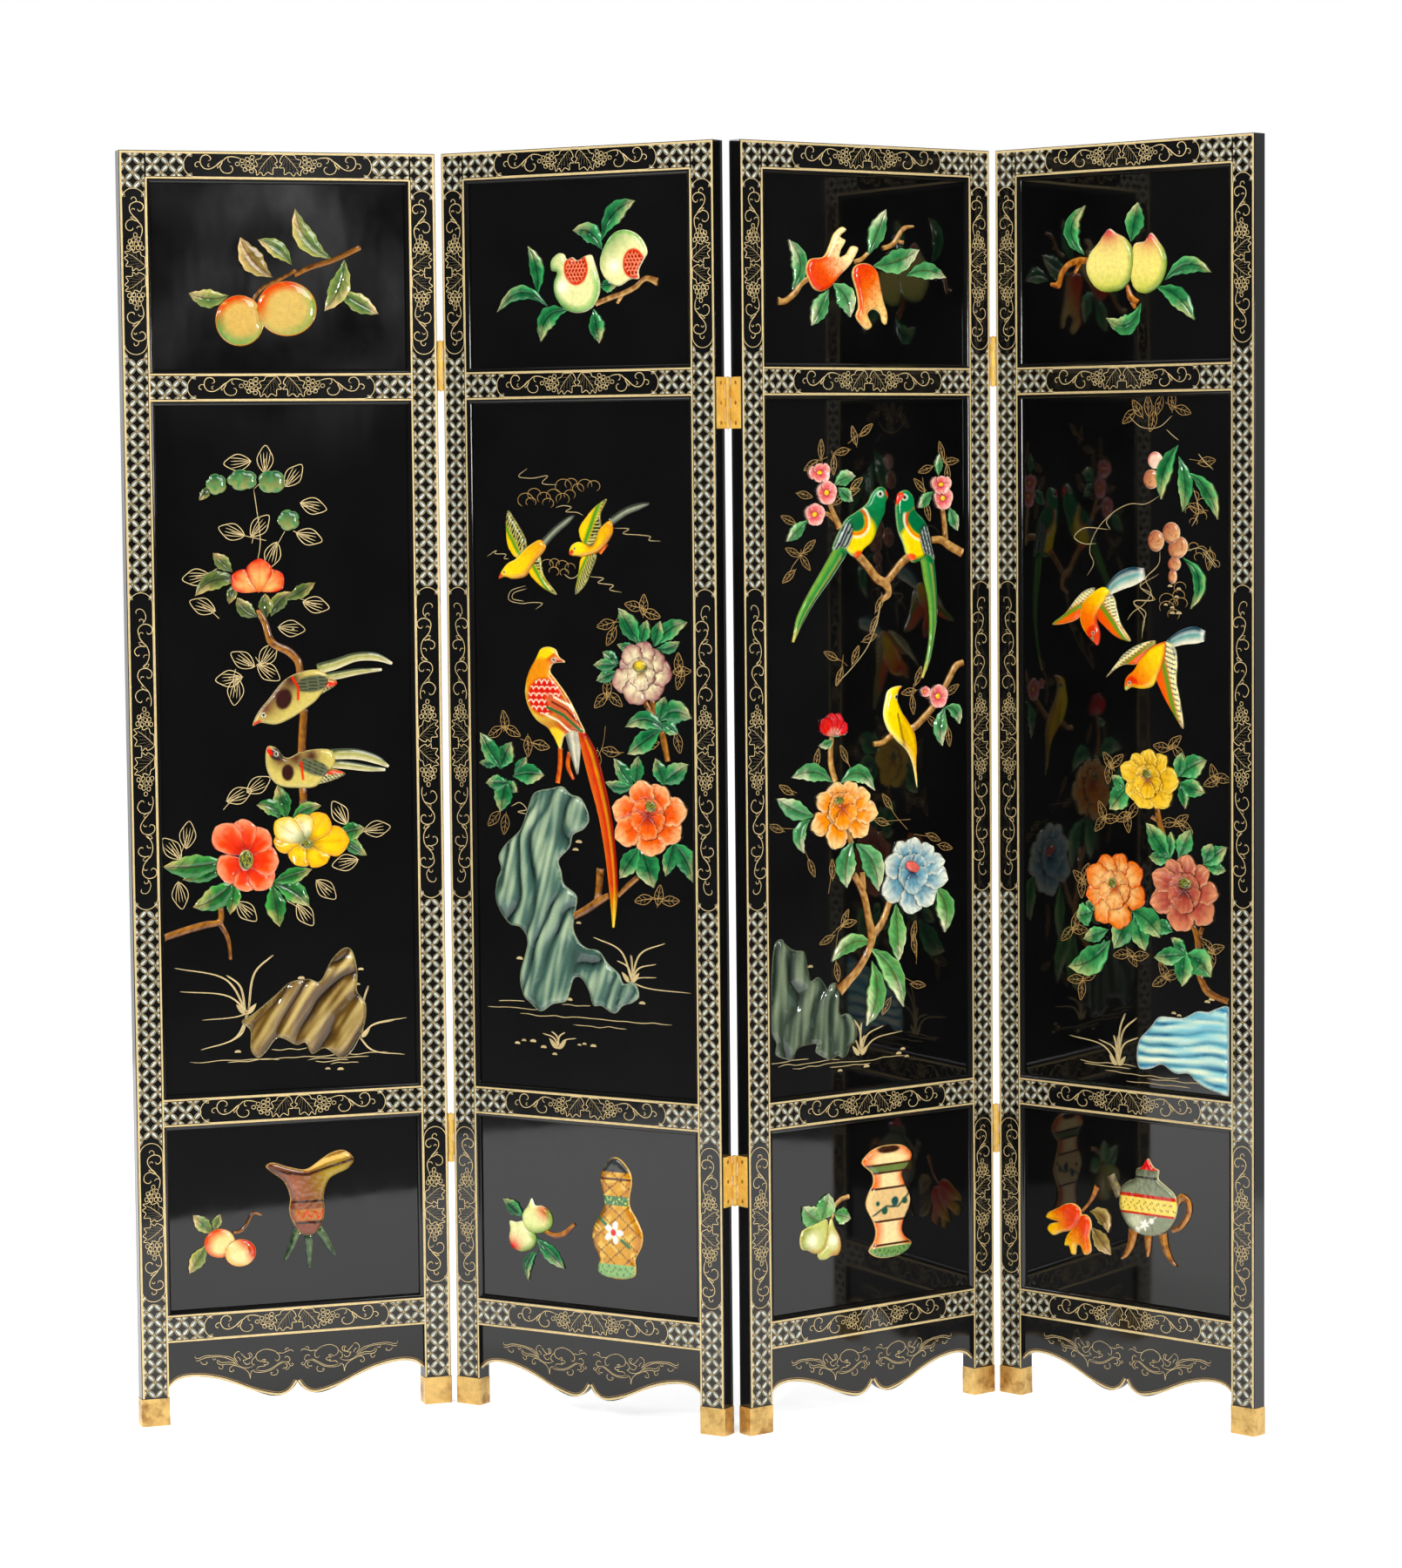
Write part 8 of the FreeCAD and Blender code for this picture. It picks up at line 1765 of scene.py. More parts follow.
APPLE_SPECKS = ("mottle", 9, 3, 0.35, (210, 182, 116))
PIECE_PAINTS = {
    # leaf 1
    "red_apple": apple((206, 178, 112), ("edge", (-0.7, 1), 16, (206, 24, 14)),
                       ("edge", (1, -0.3), 16, (120, 160, 76)), ("edge", (0, -1), 8, (170, 170, 100)),
                       APPLE_SPECKS),
    "shaded_apple": apple((206, 174, 108), ("edge", (-0.9, 0.8), 13, (206, 24, 14)),
                          ("edge", (-0.6, -1), 16, (70, 150, 84)), ("edge", (1, -1), 9, (150, 170, 90)),
                          APPLE_SPECKS),
    "ripe_apple": apple((240, 214, 160), ("edge", (1, 0.6), 17, (206, 36, 40)),
                        ("edge", (-1, -1), 8, (230, 180, 110)),
                        ("line", ((31, 26), (33, 20)), 0.5, (170, 50, 40))),
    "hidden_apple": apple((236, 210, 150), ("edge", (-1, 0.8), 14, (214, 60, 50)),
                          ("edge", (0, -1), 8, (214, 90, 60))),
    "tripod_cup": layers(
        (130, 78, 58), ("glow", (46, 44), 7, (176, 124, 104)), ("glow", (67, 49), 9, (170, 150, 60)),
        ("line", ((40, 53.6), (47, 51.4), (55, 50.4), (63, 52.8), (73, 55.4)), 1.0, (56, 30, 20)),
        ("line", ((42, 55.6), (48, 53.6), (55, 52.6), (62, 55.4), (71.5, 57.6)), 1.8, (226, 190, 120)),
        ("band", 33, 37, (176, 120, 70)), ("zigzag", 33.6, 36.4, 3.2, 0.5, (206, 44, 30)),
        # The darker left edge is painted shade.
        *each("band", (52, 30, 20), (39.6, 40.6), (31.3, 32.3)), ("edge", (-1, 0), 9, (84, 46, 30)),
        ("rim", 1.0, (220, 180, 120))),
    "seed_head": seed_head(),
    "lower_brown_bird": layers(
        (204, 188, 116), *each("glow", (96, 58, 44), ((47, 127.6), 3.6), ((53, 127.4), 3.8)),
        ("glow", (59, 128), 3.4, (84, 50, 40)), ("oval", (49.8, 122), (2.4, 3.2), 0, (58, 30, 26)),
        ("oval", (60, 123.6), (6.6, 2.8), -20, (104, 108, 80)),
        ("bars", (60, 123.6), (6.4, 2.6), -20, 65, 1.3, 0.28, (48, 54, 44)),
        ("line", ((55.0, 125.8), (55.7, 119.4)), 0.9, (214, 60, 40)),
        ("oval", (45.4, 129), (2.8, 2.2), -30, (60, 46, 40)), *eye((45.4, 129.2), 0.7),
        ("line", ((42.2, 131.6), (43.4, 129.2)), 1.5, (214, 60, 50)), ("rim", 0.8, (206, 190, 140))),
    "upper_brown_bird": layers(
        (204, 188, 116), ("glow", (41, 147), 4.4, (110, 64, 48)), ("glow", (46, 152), 5, (96, 58, 44)),
        ("glow", (51.6, 157), 5, (84, 50, 40)), ("oval", (48.8, 149.8), (3.0, 4.0), -20, (62, 32, 28)),
        ("oval", (60, 155.4), (6.6, 3.2), 8, (98, 102, 76)),
        ("bars", (60, 155.4), (6.4, 3.0), 8, 96, 1.3, 0.28, (44, 52, 42)),
        ("line", ((52.2, 157.8), (54.4, 154), (54.2, 149.6)), 0.9, (214, 60, 40)), *eye((40.8, 144), 0.7),
        ("line", ((36.8, 140), (39.2, 141.4)), 1.6, (214, 60, 50)), ("rim", 0.8, (206, 190, 140))),
    "brown_rock": Folds((36, 24, 12), (112, 86, 44), (206, 186, 130), 54, 31, 1.3, 3),
    # leaf 2
    "front_pomegranate": pomegranate(
        (226, 224, 168), (50, 37.5), (4.8, 5.6), (4.4, 5.2), (4.9, 5.7), (44, 31),
        ("edge", (-1, -0.4), 14, (60, 140, 70)), ("edge", (1, -1), 11, (110, 170, 90))),
    "back_pomegranate": pomegranate(
        (228, 224, 168), (75.4, 38.6), (4.2, 5.0), (3.8, 4.6), (4.3, 5.1), (67, 38),
        ("fade", (0.5, 0.4), (0.0, 1.0), (50, 130, 66)), ("edge", (0, 1), 7, (110, 170, 90))),
    "front_peach": peach((222, 224, 160), (170, 190, 110), (31.6, 37), 4, (216, 50, 56)),
    "back_peach": peach((226, 226, 170), (170, 190, 110), (16, 21), 4, (216, 50, 56)),
    "flower_vase": layers(
        # The darker left and right edges are painted shade for its roundness.
        (206, 156, 66), ("edge", (-1, 0), 16, (150, 96, 36)), ("edge", (1, 0), 12, (180, 120, 50)),
        ("mottle", 12, 4, 0.1, (220, 184, 100)),
        *each("hatch", (110, 66, 24), (50, 5.2, 0.07), (-50, 5.2, 0.07)),
        ("band", 41.2, 44.6, (70, 120, 76)), ("zigzag", 41.6, 44.2, 1.8, 0.3, (226, 226, 150)),
        ("band", 13.6, 18.6, (140, 176, 116)), ("zigzag", 14.4, 18, 2.6, 0.4, (60, 100, 60)),
        ("band", 53.8, 60, (58, 60, 58)), ("band", 50.6, 51.4, (90, 44, 18)),
        ("star", (62, 30.7), 4.6, 5, (248, 246, 232)), ("dot", (62, 30.7), 1.3, (206, 30, 30)),
        *each("line", (50, 110, 60), (((55.6, 36), (58.6, 33.6)), 1.4), (((65.6, 28), (69, 25.6)), 1.4)),
        ("rim", 1.2, (236, 200, 130))),
    "left_yellow_bird": yellow_bird((16.6, 196.8), (16, 196.8), ((12.4, 194), (14.4, 195.6))),
    "right_yellow_bird": yellow_bird((48.4, 205.8), (48, 205.8), ((44.8, 203), (46.8, 204.6))),
    "lit_seed_head": seed_head(("glow", (76, 163), 2, (240, 206, 90))),
    "pheasant": layers(
        (222, 196, 100), ("fade", (0.1, 0.5), (0.8, 0.3), (186, 92, 60)),
        ("oval", (38, 161.5), (5.6, 5.0), 0, (206, 110, 50)),
        ("oval", (34.4, 167), (5, 2.4), 30, (244, 206, 60)), ("oval", (31, 158), (5, 7), -30, (226, 150, 60)),
        ("line", ((42.6, 163.2), (39.6, 163)), 1.7, (170, 40, 30)), *eye((38, 164), 0.7),
        ("oval", (33.5, 150), (7.6, 7.0), 0, (206, 40, 30)),
        ("scales", (33.5, 150), (7.4, 6.8), 0, 2.5, (250, 226, 200)),
        ("oval", (42, 144.6), (9.6, 3.0), -38, (206, 116, 84)),
        ("line", ((35, 146), (42, 143.4), (50, 137.4)), 1.2, (50, 110, 60)),
        ("line", ((38, 150), (44.6, 147), (51.4, 140)), 0.8, (250, 236, 206)),
        ("line", ((37, 148.2), (43.6, 145.2), (50.6, 138.8)), 0.7, (96, 30, 26)),
        ("line", ((34, 143.4), (40, 141), (46, 136.4)), 0.7, (250, 236, 206)),
        ("oval", (39, 134), (5, 4), -40, (240, 206, 90)), ("rim", 0.9, (246, 222, 160))),
    "green_rock": Folds((14, 34, 32), (84, 114, 102), (186, 200, 168), 74, 34, 1.7, 5),
    # leaf 3
    "front_citron": citron((226, 80, 34), ("fade", (0.2, 0.2), (0.75, 0.7), (246, 228, 176)),
                           ("edge", (-1, -1), 8, (214, 50, 20))),
    "back_citron": citron((226, 80, 34), ("fade", (0.3, 0.9), (0.75, 0.2), (240, 206, 140)),
                          ("edge", (-1, 0.4), 8, (214, 50, 20))),
    "front_pear": pear((194, 196, 122), (20, 28), ("edge", (-1, 0), 12, (130, 140, 66)),
                       ("edge", (1, -1), 8, (200, 150, 80))),
    "back_pear": pear((190, 190, 116), (30, 27), ("edge", (1, -0.4), 11, (196, 130, 66))),
    "orange_vase": layers(
        # The darker orange left and right edges are painted shade for its roundness.
        (248, 222, 172), ("edge", (-1, 0), 15, (226, 96, 36)), ("edge", (1, 0), 15, (220, 90, 36)),
        ("band", 50.6, 52.6, (110, 130, 76)), ("band", 17, 21.6, (120, 156, 96)),
        ("zigzag", 17.6, 21, 2.4, 0.4, (50, 84, 50)), ("band", 31.6, 43.4, (226, 196, 146)),
        *each("band", (70, 34, 18), (49.6, 50.6), (52.6, 53.4), (22, 22.9), (43.4, 44.3), (31, 31.8)),
        ("line", ((50, 34), (56, 37), (62, 36.4), (67.5, 41)), 0.8, (24, 70, 60)),
        ("dot", (60.5, 38.6), 1.8, (30, 84, 80)),
        *each("dot", (36, 90, 70), ((55.4, 35.4), 1.5), ((65.4, 38.4), 1.4), ((52, 38.4), 1.0)),
        ("oval", (57.6, 58.8), (5.6, 1.5), 0, (60, 30, 20)), ("rim", 1.0, (246, 206, 140))),
    "pink_seed_head": layers((216, 120, 110), ("rim", 1.4, (150, 50, 60))),
    "left_parrot": parrot((53, 223), (55.4, 225), (44, 210), (45, 202.6), (42, 216), (37, 208), -32,
                          ((58.8, 225.6), (60.2, 223.6))),
    "right_parrot": parrot((68, 222), (67.4, 223.6), (74, 208), (70.6, 201), (75, 214), (79, 206), 18,
                           ((66.0, 224.6), (64.0, 222.2))),
    "canary": layers(
        (246, 214, 50), ("edge", (1, 0.4), 12, (206, 140, 30)), ("edge", (-1, 0), 4, (252, 236, 140)),
        ("oval", (68, 130), (2.6, 9), 20, (222, 184, 70)),
        ("line", ((63.4, 142), (65.4, 134), (69.6, 122)), 0.9, (150, 120, 40)), *eye((62.8, 148.4), 0.8),
        ("line", ((66.6, 152.4), (64.6, 150.6)), 1.5, (236, 90, 30)), ("rim", 0.8, (250, 236, 170))),
    "dark_rock": Folds((16, 22, 20), (70, 84, 70), (140, 150, 124), 84, 29, 1.2, 8),
    # leaf 4
    "front_rosy_peach": peach((240, 226, 146), (190, 196, 96), (43.6, 51.6), 6.4, (196, 24, 84)),
    "back_rosy_peach": peach((240, 224, 140), (190, 196, 96), (62.6, 49.6), 6.4, (196, 24, 84)),
    "front_gold_citron": citron((224, 70, 26), ("fade", (0.75, 0.6), (0.0, 0.2), (244, 206, 80))),
    "back_gold_citron": citron((224, 74, 28), ("fade", (0.7, 0.8), (0.1, 0.0), (244, 206, 80))),
    "gray_jar": layers(
        (136, 142, 116), ("fade", (0.5, 0.5), (0.5, 1.0), (90, 96, 74)),
        ("glow", (56, 33), 4, (206, 206, 176)),
        ("band", 36, 42, (238, 214, 120)), ("zigzag", 36.8, 41.2, 3.0, 0.35, (24, 24, 20)),
        *each("band", (196, 50, 40), (42, 42.9), (35.2, 36)), ("band", 49, 50, (40, 36, 28)),
        ("star", (59.5, 31.5), 2.4, 5, (246, 244, 232)),
        *each("dot", (246, 244, 232), ((63, 33.4), 1.1), ((56.4, 29.4), 1.1)),
        # The darker left edge is painted shade.
        ("line", ((54, 28), (59, 31), (65, 35)), 0.5, (236, 234, 214)), ("edge", (-1, 0), 9, (70, 70, 54)),
        ("band", 52.6, 60, (206, 60, 60)), ("rim", 0.9, (206, 200, 160))),
    "upper_orange_bird": orange_bird(
        (0.4, 0.3), (0.8, 1.0), (36.4, 171.6), (36, 172), ((35, 167.8), (35.6, 170)),
        ("edge", (-1, 0.4), 5, (250, 220, 70)), ("edge", (1, -1), 7, (206, 70, 20))),
    "lower_orange_bird": orange_bird(
        (0.1, 0.2), (0.7, 0.9), (53.4, 153), (53, 153.6), ((50, 150.4), (51.8, 151.8)),
        ("edge", (0.4, -1), 7, (248, 220, 90)), ("edge", (1, 1), 6, (214, 80, 20))),
    "pale_fruit": layers((240, 206, 184), ("edge", (-1, 1), 6, (190, 70, 76)), ("rim", 1.0, (250, 232, 206))),
    "russet_fruit": layers((176, 112, 88), ("fade", (0.2, 0.9), (0.9, 0.1), (214, 170, 124)),
                           ("crackle", 8, 5, 0.06, (140, 60, 50)), ("edge", (-1, -1), 5, (140, 60, 60)),
                           ("rim", 0.8, (240, 216, 190))),
    "blue_rock": Folds((16, 100, 150), (140, 200, 204), (252, 242, 204), 3, 17, 1.3, 9),
}
for seed in (60, 100, 40, 80):
    PIECE_PAINTS["cluster_%d" % seed] = cluster(seed)
for bird_leaf, (tones, barred, *places) in BIRD_WINGS.items():
    for letter, place in zip("abcd", places):
        PIECE_PAINTS["wing_" + bird_leaf + letter] = wing(*place, tones, barred)


def grid_paint(kind, name):
    """The tones of a leaf, petal or twig, with a petal's ruffle as it is."""
    return [srgb(*tone) if isinstance(tone, tuple) else tone for tone in GRID_PAINTS[kind][name]]


def lay_run(pile, kind, name, pieces):
    """One run of pieces of a kind and a paint."""
    if kind == "form":
        paint = PIECE_PAINTS[name]
        for points in pieces:
            pile.form(points, paint)
    elif kind == "fruit":
        for across, up, half_width, half_height, *rest in pieces:
            pile.fruit((across, up), (half_width, half_height), PIECE_PAINTS[name], *rest)
    elif kind == "blossom":
        for across, up, half_width, half_height, tilt in pieces:
            pile.blossom((across, up), (half_width, half_height), tilt, grid_paint("petal", name)[:-1])
    elif kind == "twig":
        for points in pieces:
            pile.twig(points, grid_paint(kind, name))
    elif kind == "leaf":
        for *ends, width, bend in pieces:
            pile.leaf_piece(ends[:2], ends[2:], width, bend, grid_paint(kind, name))
    else:
        *tones, ruffle = grid_paint(kind, name)
        petals = [(tuple(ends[:2]), tuple(ends[2:]), width) for *ends, width in pieces]
        if ruffle > RUFFLED:
            pile.cup(petals, tones, ruffle)
        for root, tip, width in petals:
            pile.petal(root, tip, width, tones, ruffle)


def reliefs(leaf, subject, windows, nodes):
    """The carved pieces on some of a leaf's boards, as one mesh."""
    mesh = Mesh()
    for window in windows:
        pile = Pile(mesh, leaf, window)
        for kind, name, *pieces in RELIEFS[(leaf, window)]:
            lay_run(pile, kind, name, pieces)
    mesh.piece("leaf_%d_%s" % (leaf, subject), leaf, STONE, "carved_stone", nodes=nodes)


# ---- gilding of the boards

# Places on the tall boards, in hundredths of the opening's width: the middles of painted leaves.
GILT_LEAVES = {
    1: ((5.1, 94.7), (11.3, 99.7), (8, 76.8), (33.4, 69.7), (31.3, 113.8), (38.8, 117.6), (70, 106),
        (84.7, 99.3), (71.8, 86.8), (64.3, 76.8), (56, 67.6), (18.4, 185.5), (16, 196.3), (62.2, 185),
        (52.6, 176.3), (43.4, 166.8), (43.4, 160), (33.4, 165), (28, 158), (30.5, 153), (32.6, 239),
        (43.4, 240.3), (54.3, 234), (61.8, 222.3), (60, 210.7), (30, 213.2), (41, 215.3), (45.5, 204)),
    2: ((73, 184.5), (77.5, 185), (81, 181.5), (60.5, 177.5), (63, 173), (61, 154), (58, 149), (64.5, 149.5),
        (92.5, 163.5), (94, 160.5), (93, 157.5), (10, 136), (14.5, 140.5), (18, 136.5), (25, 131),
        (31, 131.5), (62, 130), (56, 126.5), (80, 133), (92, 134), (9, 103), (14, 101), (76, 75), (83, 77),
        (88, 75)),
    3: ((29, 58.5), (40, 64), (34, 46), (72, 59), (72, 54), (74, 38), (58, 31), (25, 127), (38, 128),
        (10, 116), (5, 102), (59, 109), (56, 101.5), (22, 86), (32, 85), (82, 94), (88, 90), (38, 66),
        (32, 165), (70, 150), (75, 156), (72, 145), (82, 138), (92, 150), (90, 132), (50, 249), (44, 247),
        (38, 241), (28, 242), (23, 236), (34, 236), (45, 229), (43, 226), (20, 225), (36, 223), (12, 216),
        (14, 204), (22, 206), (20, 200), (12, 195), (87, 241), (92, 237), (79, 234), (76, 228), (80, 218),
        (90, 232), (56, 184), (53, 176), (51, 171), (44, 165), (36, 157)),
    4: ((26, 62), (22, 57), (28, 59), (26, 40), (33, 42), (29, 36), (48, 51), (53, 50), (57, 51), (68, 46),
        (66, 42), (72, 45), (88, 57), (92, 56), (90, 52), (42, 124), (46, 124), (42, 119), (39, 105),
        (38, 100), (43, 102), (49, 103), (54, 106), (51, 101), (28, 79), (31, 81), (29, 75), (70, 102),
        (76, 103), (78, 100.5), (91, 121), (95, 119.5), (90, 118), (67, 130), (73, 132), (75, 128),
        (52, 253), (56, 256), (61, 257), (66, 257), (72, 259), (77, 255), (63, 251), (88, 236), (83, 219),
        (89, 200)),
}
# Tufts, each a root and the tips of its blades.
GRASS = {
    1: (((32.6, 31.3), ((5.3, 49.5), (7.2, 40.5), (25, 45.9), (43, 52.8), (15.5, 29.3), (14.7, 18),
                        (25.9, 20.5))),
        ((76.8, 20), ((80, 39.3), (94.7, 26.3), (89.7, 25.5), (93.8, 12.2)))),
    2: (((70, 44), ((53.5, 59.8), (85, 59), (81, 51), (81, 46), (96, 41), (64, 51.5), (70, 54))),
        ((37, 17), ((30, 22), (34, 23), (40, 23), (45, 21)))),
    3: (((45, 14), ((41, 28), (45.5, 26), (56, 23.8), (65.5, 21), (47, 21), (36, 22))),),
    4: (((46, 9), ((23, 18.2), (37, 17.8), (49.5, 28.7), (55, 27.5), (55.5, 20), (44, 20), (46, 20))),),
}
# Lines of the ground, each a height, a left end and a right end.
GROUND = {
    1: ((13.4, 10.5, 87.6), (13, 25, 45), (12.2, 56, 80), (11.2, 59, 72), (10.3, 65, 76), (16.5, 42, 56)),
    2: ((33.5, 10, 22), (33.5, 39, 52), (31, 5, 30), (28.8, 20, 88), (26, 44, 68)),
    3: ((14.5, 0, 20), (13, 5, 35), (11.5, 12, 68), (10, 30, 50)),
    4: ((9, 28, 55), (8, 30, 52), (6, 40, 75), (5, 60, 95), (3, 50, 80)),
}
# Dabs of gold on the ground and in the branches.
STONES = {
    1: ((29, 16.5), (63.8, 8.2), (68.8, 7.8), (77.3, 45.7), (76, 40), (54, 43.4)),
    2: ((30.5, 16.7), (37, 16.7), (20, 50), (47, 64.8), (47.5, 95.5), (46, 92.5), (42.5, 35.5), (75, 36),
        (18.5, 17.5), (21.5, 18.7), (25.7, 18.7), (46.7, 18.5), (49, 19), (53, 18.5), (35.5, 14.3)),
    3: ((64, 12.5), (66, 14), (68, 11), (48, 9), (35, 8.5), (21, 49)),
    4: ((72.5, 30.5), (75, 29.8), (88, 36), (90, 37), (69, 183), (71, 190), (75, 189), (74, 186), (72, 182),
        (72, 180), (75, 180)),
}
# Stems, cloud lines and the outlines of far branches.
GILT_LINES = {
    1: (((39.7, 201.5), (41, 209), (39.7, 222.3), (38.8, 229)), ((38.8, 229), (44, 233), (52, 232))),
    2: (
        ((26.2, 235.8), (22.2, 232.9), (28.4, 232.1), (35.4, 232.9), (32.8, 230.3), (39.8, 229.5)),
        ((38.9, 221.1), (42.4, 221.8), (45.9, 221.1), (43.3, 219.6), (48.5, 219.2), (51.1, 218.1)),
        ((7.4, 202.7), (11.7, 204.9), (10.9, 203.8), (16.1, 203.4), (15.2, 202), (17.2, 201.8)),
        ((24.9, 191.7), (17.9, 189.5), (17, 186.5), (22.2, 185), (28.4, 185.4), (32.3, 185), (29.2, 182.8)),
        ((25.3, 190.6), (19.2, 188.7), (18.7, 186.9), (24, 185.8)),
        ((64.3, 213.4), (71.3, 213), (68.7, 211.5), (76.5, 210.8), (80.9, 210.1), (80, 209), (85.3, 208.6)),
        ((53.8, 195.3), (59.9, 194.6), (57.3, 193.1), (64.3, 192), (62.5, 190.6), (67.8, 189.5)),
        ((42.4, 196.1), (45, 194.6), (47.6, 195.2), (48.5, 196.1)),
        ((17, 108), (21, 109.5), (24, 107), (20, 106), (26, 105)),
    ),
    3: (((57, 188), (55, 178), (50, 168), (42, 160), (34, 154)),),
    4: (((69.5, 248), (72, 246), (75, 244)), ((84, 239), (87, 236), (91, 233)),
        ((86, 203), (89, 200), (92, 197)),
        ((67, 223.9), (59.7, 220.5), (52.4, 220.5), (45, 217.6), (37.7, 211.8), (34, 206), (33.4, 202.2),
         (35.2, 198.3), (32.1, 193.5)),
        ((42.6, 210.9), (30.3, 211.3), (26, 208), (30.3, 205.6), (36.4, 205.6)),
        ((43.8, 216.7), (41.3, 213.8), (43.2, 210.9)),
        ((66.4, 203.1), (65.8, 198.3), (59.7, 192.5), (62.2, 187.7), (58.5, 182.9), (53.6, 180),
         (51.1, 177.1)),
        ((65.8, 194.5), (57.2, 189.6), (62.2, 187.2), (62.8, 184.8), (54.8, 184.3), (54.2, 183.4),
         (59.7, 180), (58.5, 176.1), (57.9, 170.3)),
        ((81.8, 226.3), (84.2, 217.6), (81.1, 212.3)),
        ((78.1, 203.1), (85.4, 204.1), (92.8, 197.3)),
        ((65, 197), (57, 190), (64, 185), (54, 184), (59, 178), (58, 172)),
        ((52, 253), (58, 249), (66, 249), (72, 253))),
}
# Small rings: the rims of clouds and of clusters of gilt fruit, each a middle and a radius.
GILT_LOOPS = {
    2: ((42.4, 229, 3.2), (45.9, 229.9, 2.4), (49, 228.1, 2.2), (52, 229.2, 2.8), (56, 229, 2.4),
        (25.3, 223.9, 3.1), (29.2, 226.1, 2.6), (33.6, 224.6, 2.6), (38, 225.5, 2.9), (42, 224.2, 2.6),
        (45.2, 225.8, 2.2), (35.4, 222.7, 2.2), (27.7, 223.1, 2), (34.7, 199.6, 2.4), (38, 200.3, 1.9),
        (41.5, 199.2, 2.4), (45, 198.5, 2), (42.4, 196.7, 1.7), (37.7, 197.1, 2)),
    4: ((75.6, 189.6, 2.4), (75, 186.7, 2.4), (69.5, 184.8, 3), (69.5, 181.9, 3), (72.6, 179.5, 2.4),
        (76.2, 183.8, 2.4), (72.6, 183.8, 1.8), (81.8, 223.4, 2.2), (86, 220.5, 2.4), (80.5, 217.6, 2.2),
        (85.4, 215.7, 2.2), (81.8, 213.9, 1.6), (81.8, 204.6, 2), (85.4, 203.1, 2.2), (89.1, 201.2, 2.3),
        (91.6, 198.3, 1.9), (84.2, 201, 1.8)),
}


# The outline of a gilt leaf, in halves of its length and width, and the spread of a fan's lines.
LEAF_OUTLINE = ((-1, 0), (-0.5, 0.8), (0.02, 1), (0.56, 0.62), (1, 0), (0.5, -0.66), (-0.05, -1),
                (-0.55, -0.72))
FAN_WAYS = (-0.62, -0.22, 0.22, 0.62)


def gilt_leaf(mesh, middle, long, wide, angle, shade, width, fan):
    """A painted leaf in outline, with a midrib and veins, or with lines that fan from its stalk."""
    turn = math.radians(angle)
    x, z = middle

    def place(along, aside):
        return (x + along * math.cos(turn) - aside * math.sin(turn),
                z + along * math.sin(turn) + aside * math.cos(turn))

    half, side = long / 2, wide / 2
    outline = smooth([place(half * along, side * aside) for along, aside in LEAF_OUTLINE], per=4, closed=True)
    stroke(mesh, outline, width, BOARD_FACE, shade, closed=True)
    if fan:
        for way in FAN_WAYS:
            line = smooth([place(-half * 1.1, 0), place(-half * 0.2, side * way * 0.75),
                           place(half * 0.5, side * way)], per=4)
            stroke(mesh, line, width * 0.8, BOARD_FACE, shade, 0.3)
        return
    stroke(mesh, [place(-half * 1.25, 0), place(0, side * 0.08), place(half * 0.85, 0)], width * 0.75,
           BOARD_FACE, shade)
    for share in (-0.35, 0.12):
        for way in (-1, 1):
            vein = [place(half * share, 0), place(half * (share + 0.34), way * side * 0.66)]
            stroke(mesh, vein, width * 0.6, BOARD_FACE, shade * 0.9)


# For each leaf of the screen, a gilt leaf's length, its width, the width of its lines and their gold.
GILT_HANDS = {1: (10.2, 6.2, 1.1, GOLD), 2: (7.8, 3.8, 0.75, DEEP_GOLD),
              3: (7.4, 2.8, 0.75, DEEP_GOLD * 0.95), 4: (7.8, 3.6, 0.7, DEEP_GOLD)}
# The leaf of the screen whose gilt leaves are drawn as fans.
FAN_LEAF = 1
# How near two gilt leaves are to share a hub for their direction, and to be joined to it by a stalk.
HUB_REACH, STALK_REACH = (0.5, 22), 16
BLADE_LINE, BLADE_GAP, GROUND_LINE, LOOP_LINE, BRANCH_LINE = 1.3, 1.7, 1.1, 0.85, 1.0
PATCH_LIFT = 0.06


def tall_point(point):
    return board_point("tall", point)


def gilt_leaves(mesh, leaf, rng):
    """Painted leaves that point away from their two nearest neighbours, most of them on a stalk."""
    long, wide, width, gold = GILT_HANDS[leaf]
    centres = np.array(GILT_LEAVES[leaf], float)
    for centre in centres:
        gaps = np.hypot(*(centres - centre).T)
        hub = centres[np.argsort(gaps)[1:3]].mean(0)
        away = centre - hub
        if np.hypot(*away) < HUB_REACH[0] or np.hypot(*away) > HUB_REACH[1]:
            away = np.array((rng.uniform(-1, 1), rng.uniform(-0.4, 1)))
        angle = math.degrees(math.atan2(away[1], away[0])) + rng.uniform(-18, 18)
        place = tall_point(centre)
        shade = gold * rng.uniform(0.85, 1.05)
        gilt_leaf(mesh, place, long * UNIT, wide * UNIT, angle, shade, width, leaf == FAN_LEAF)
        if np.hypot(*(centre - hub)) < STALK_REACH:
            start = tall_point(hub)
            bent = ((start[0] + place[0]) / 2 + rng.uniform(-4, 4), (start[1] + place[1]) / 2)
            stroke(mesh, smooth([start, bent, place], per=5), width * 0.8, BOARD_FACE, shade * 0.9)


def tuft(mesh, root, tips, rng):
    """Bent blades of grass in double lines, with a dab at each side of their root."""
    for tip in tips:
        a, b = tall_point(root), tall_point(tip)
        a = (a[0] + rng.uniform(-3, 3), a[1])
        bent = (a[0] * 0.72 + b[0] * 0.28, a[1] * 0.3 + b[1] * 0.7)
        line = smooth([a, bent, b], per=8)
        for shift in (0.0, BLADE_GAP):
            stroke(mesh, line + (shift, 0), BLADE_LINE, BOARD_FACE, GOLD * rng.uniform(0.8, 1.0), 0.2)
    x, z = tall_point(root)
    for side in (-1, 1):
        dab = drop_shape((x + side * 2, z - 2), (x + side * 15, z + 13), 7)
        patch(mesh, dab, BOARD_FACE - PATCH_LIFT, GOLD * rng.uniform(0.75, 0.95))


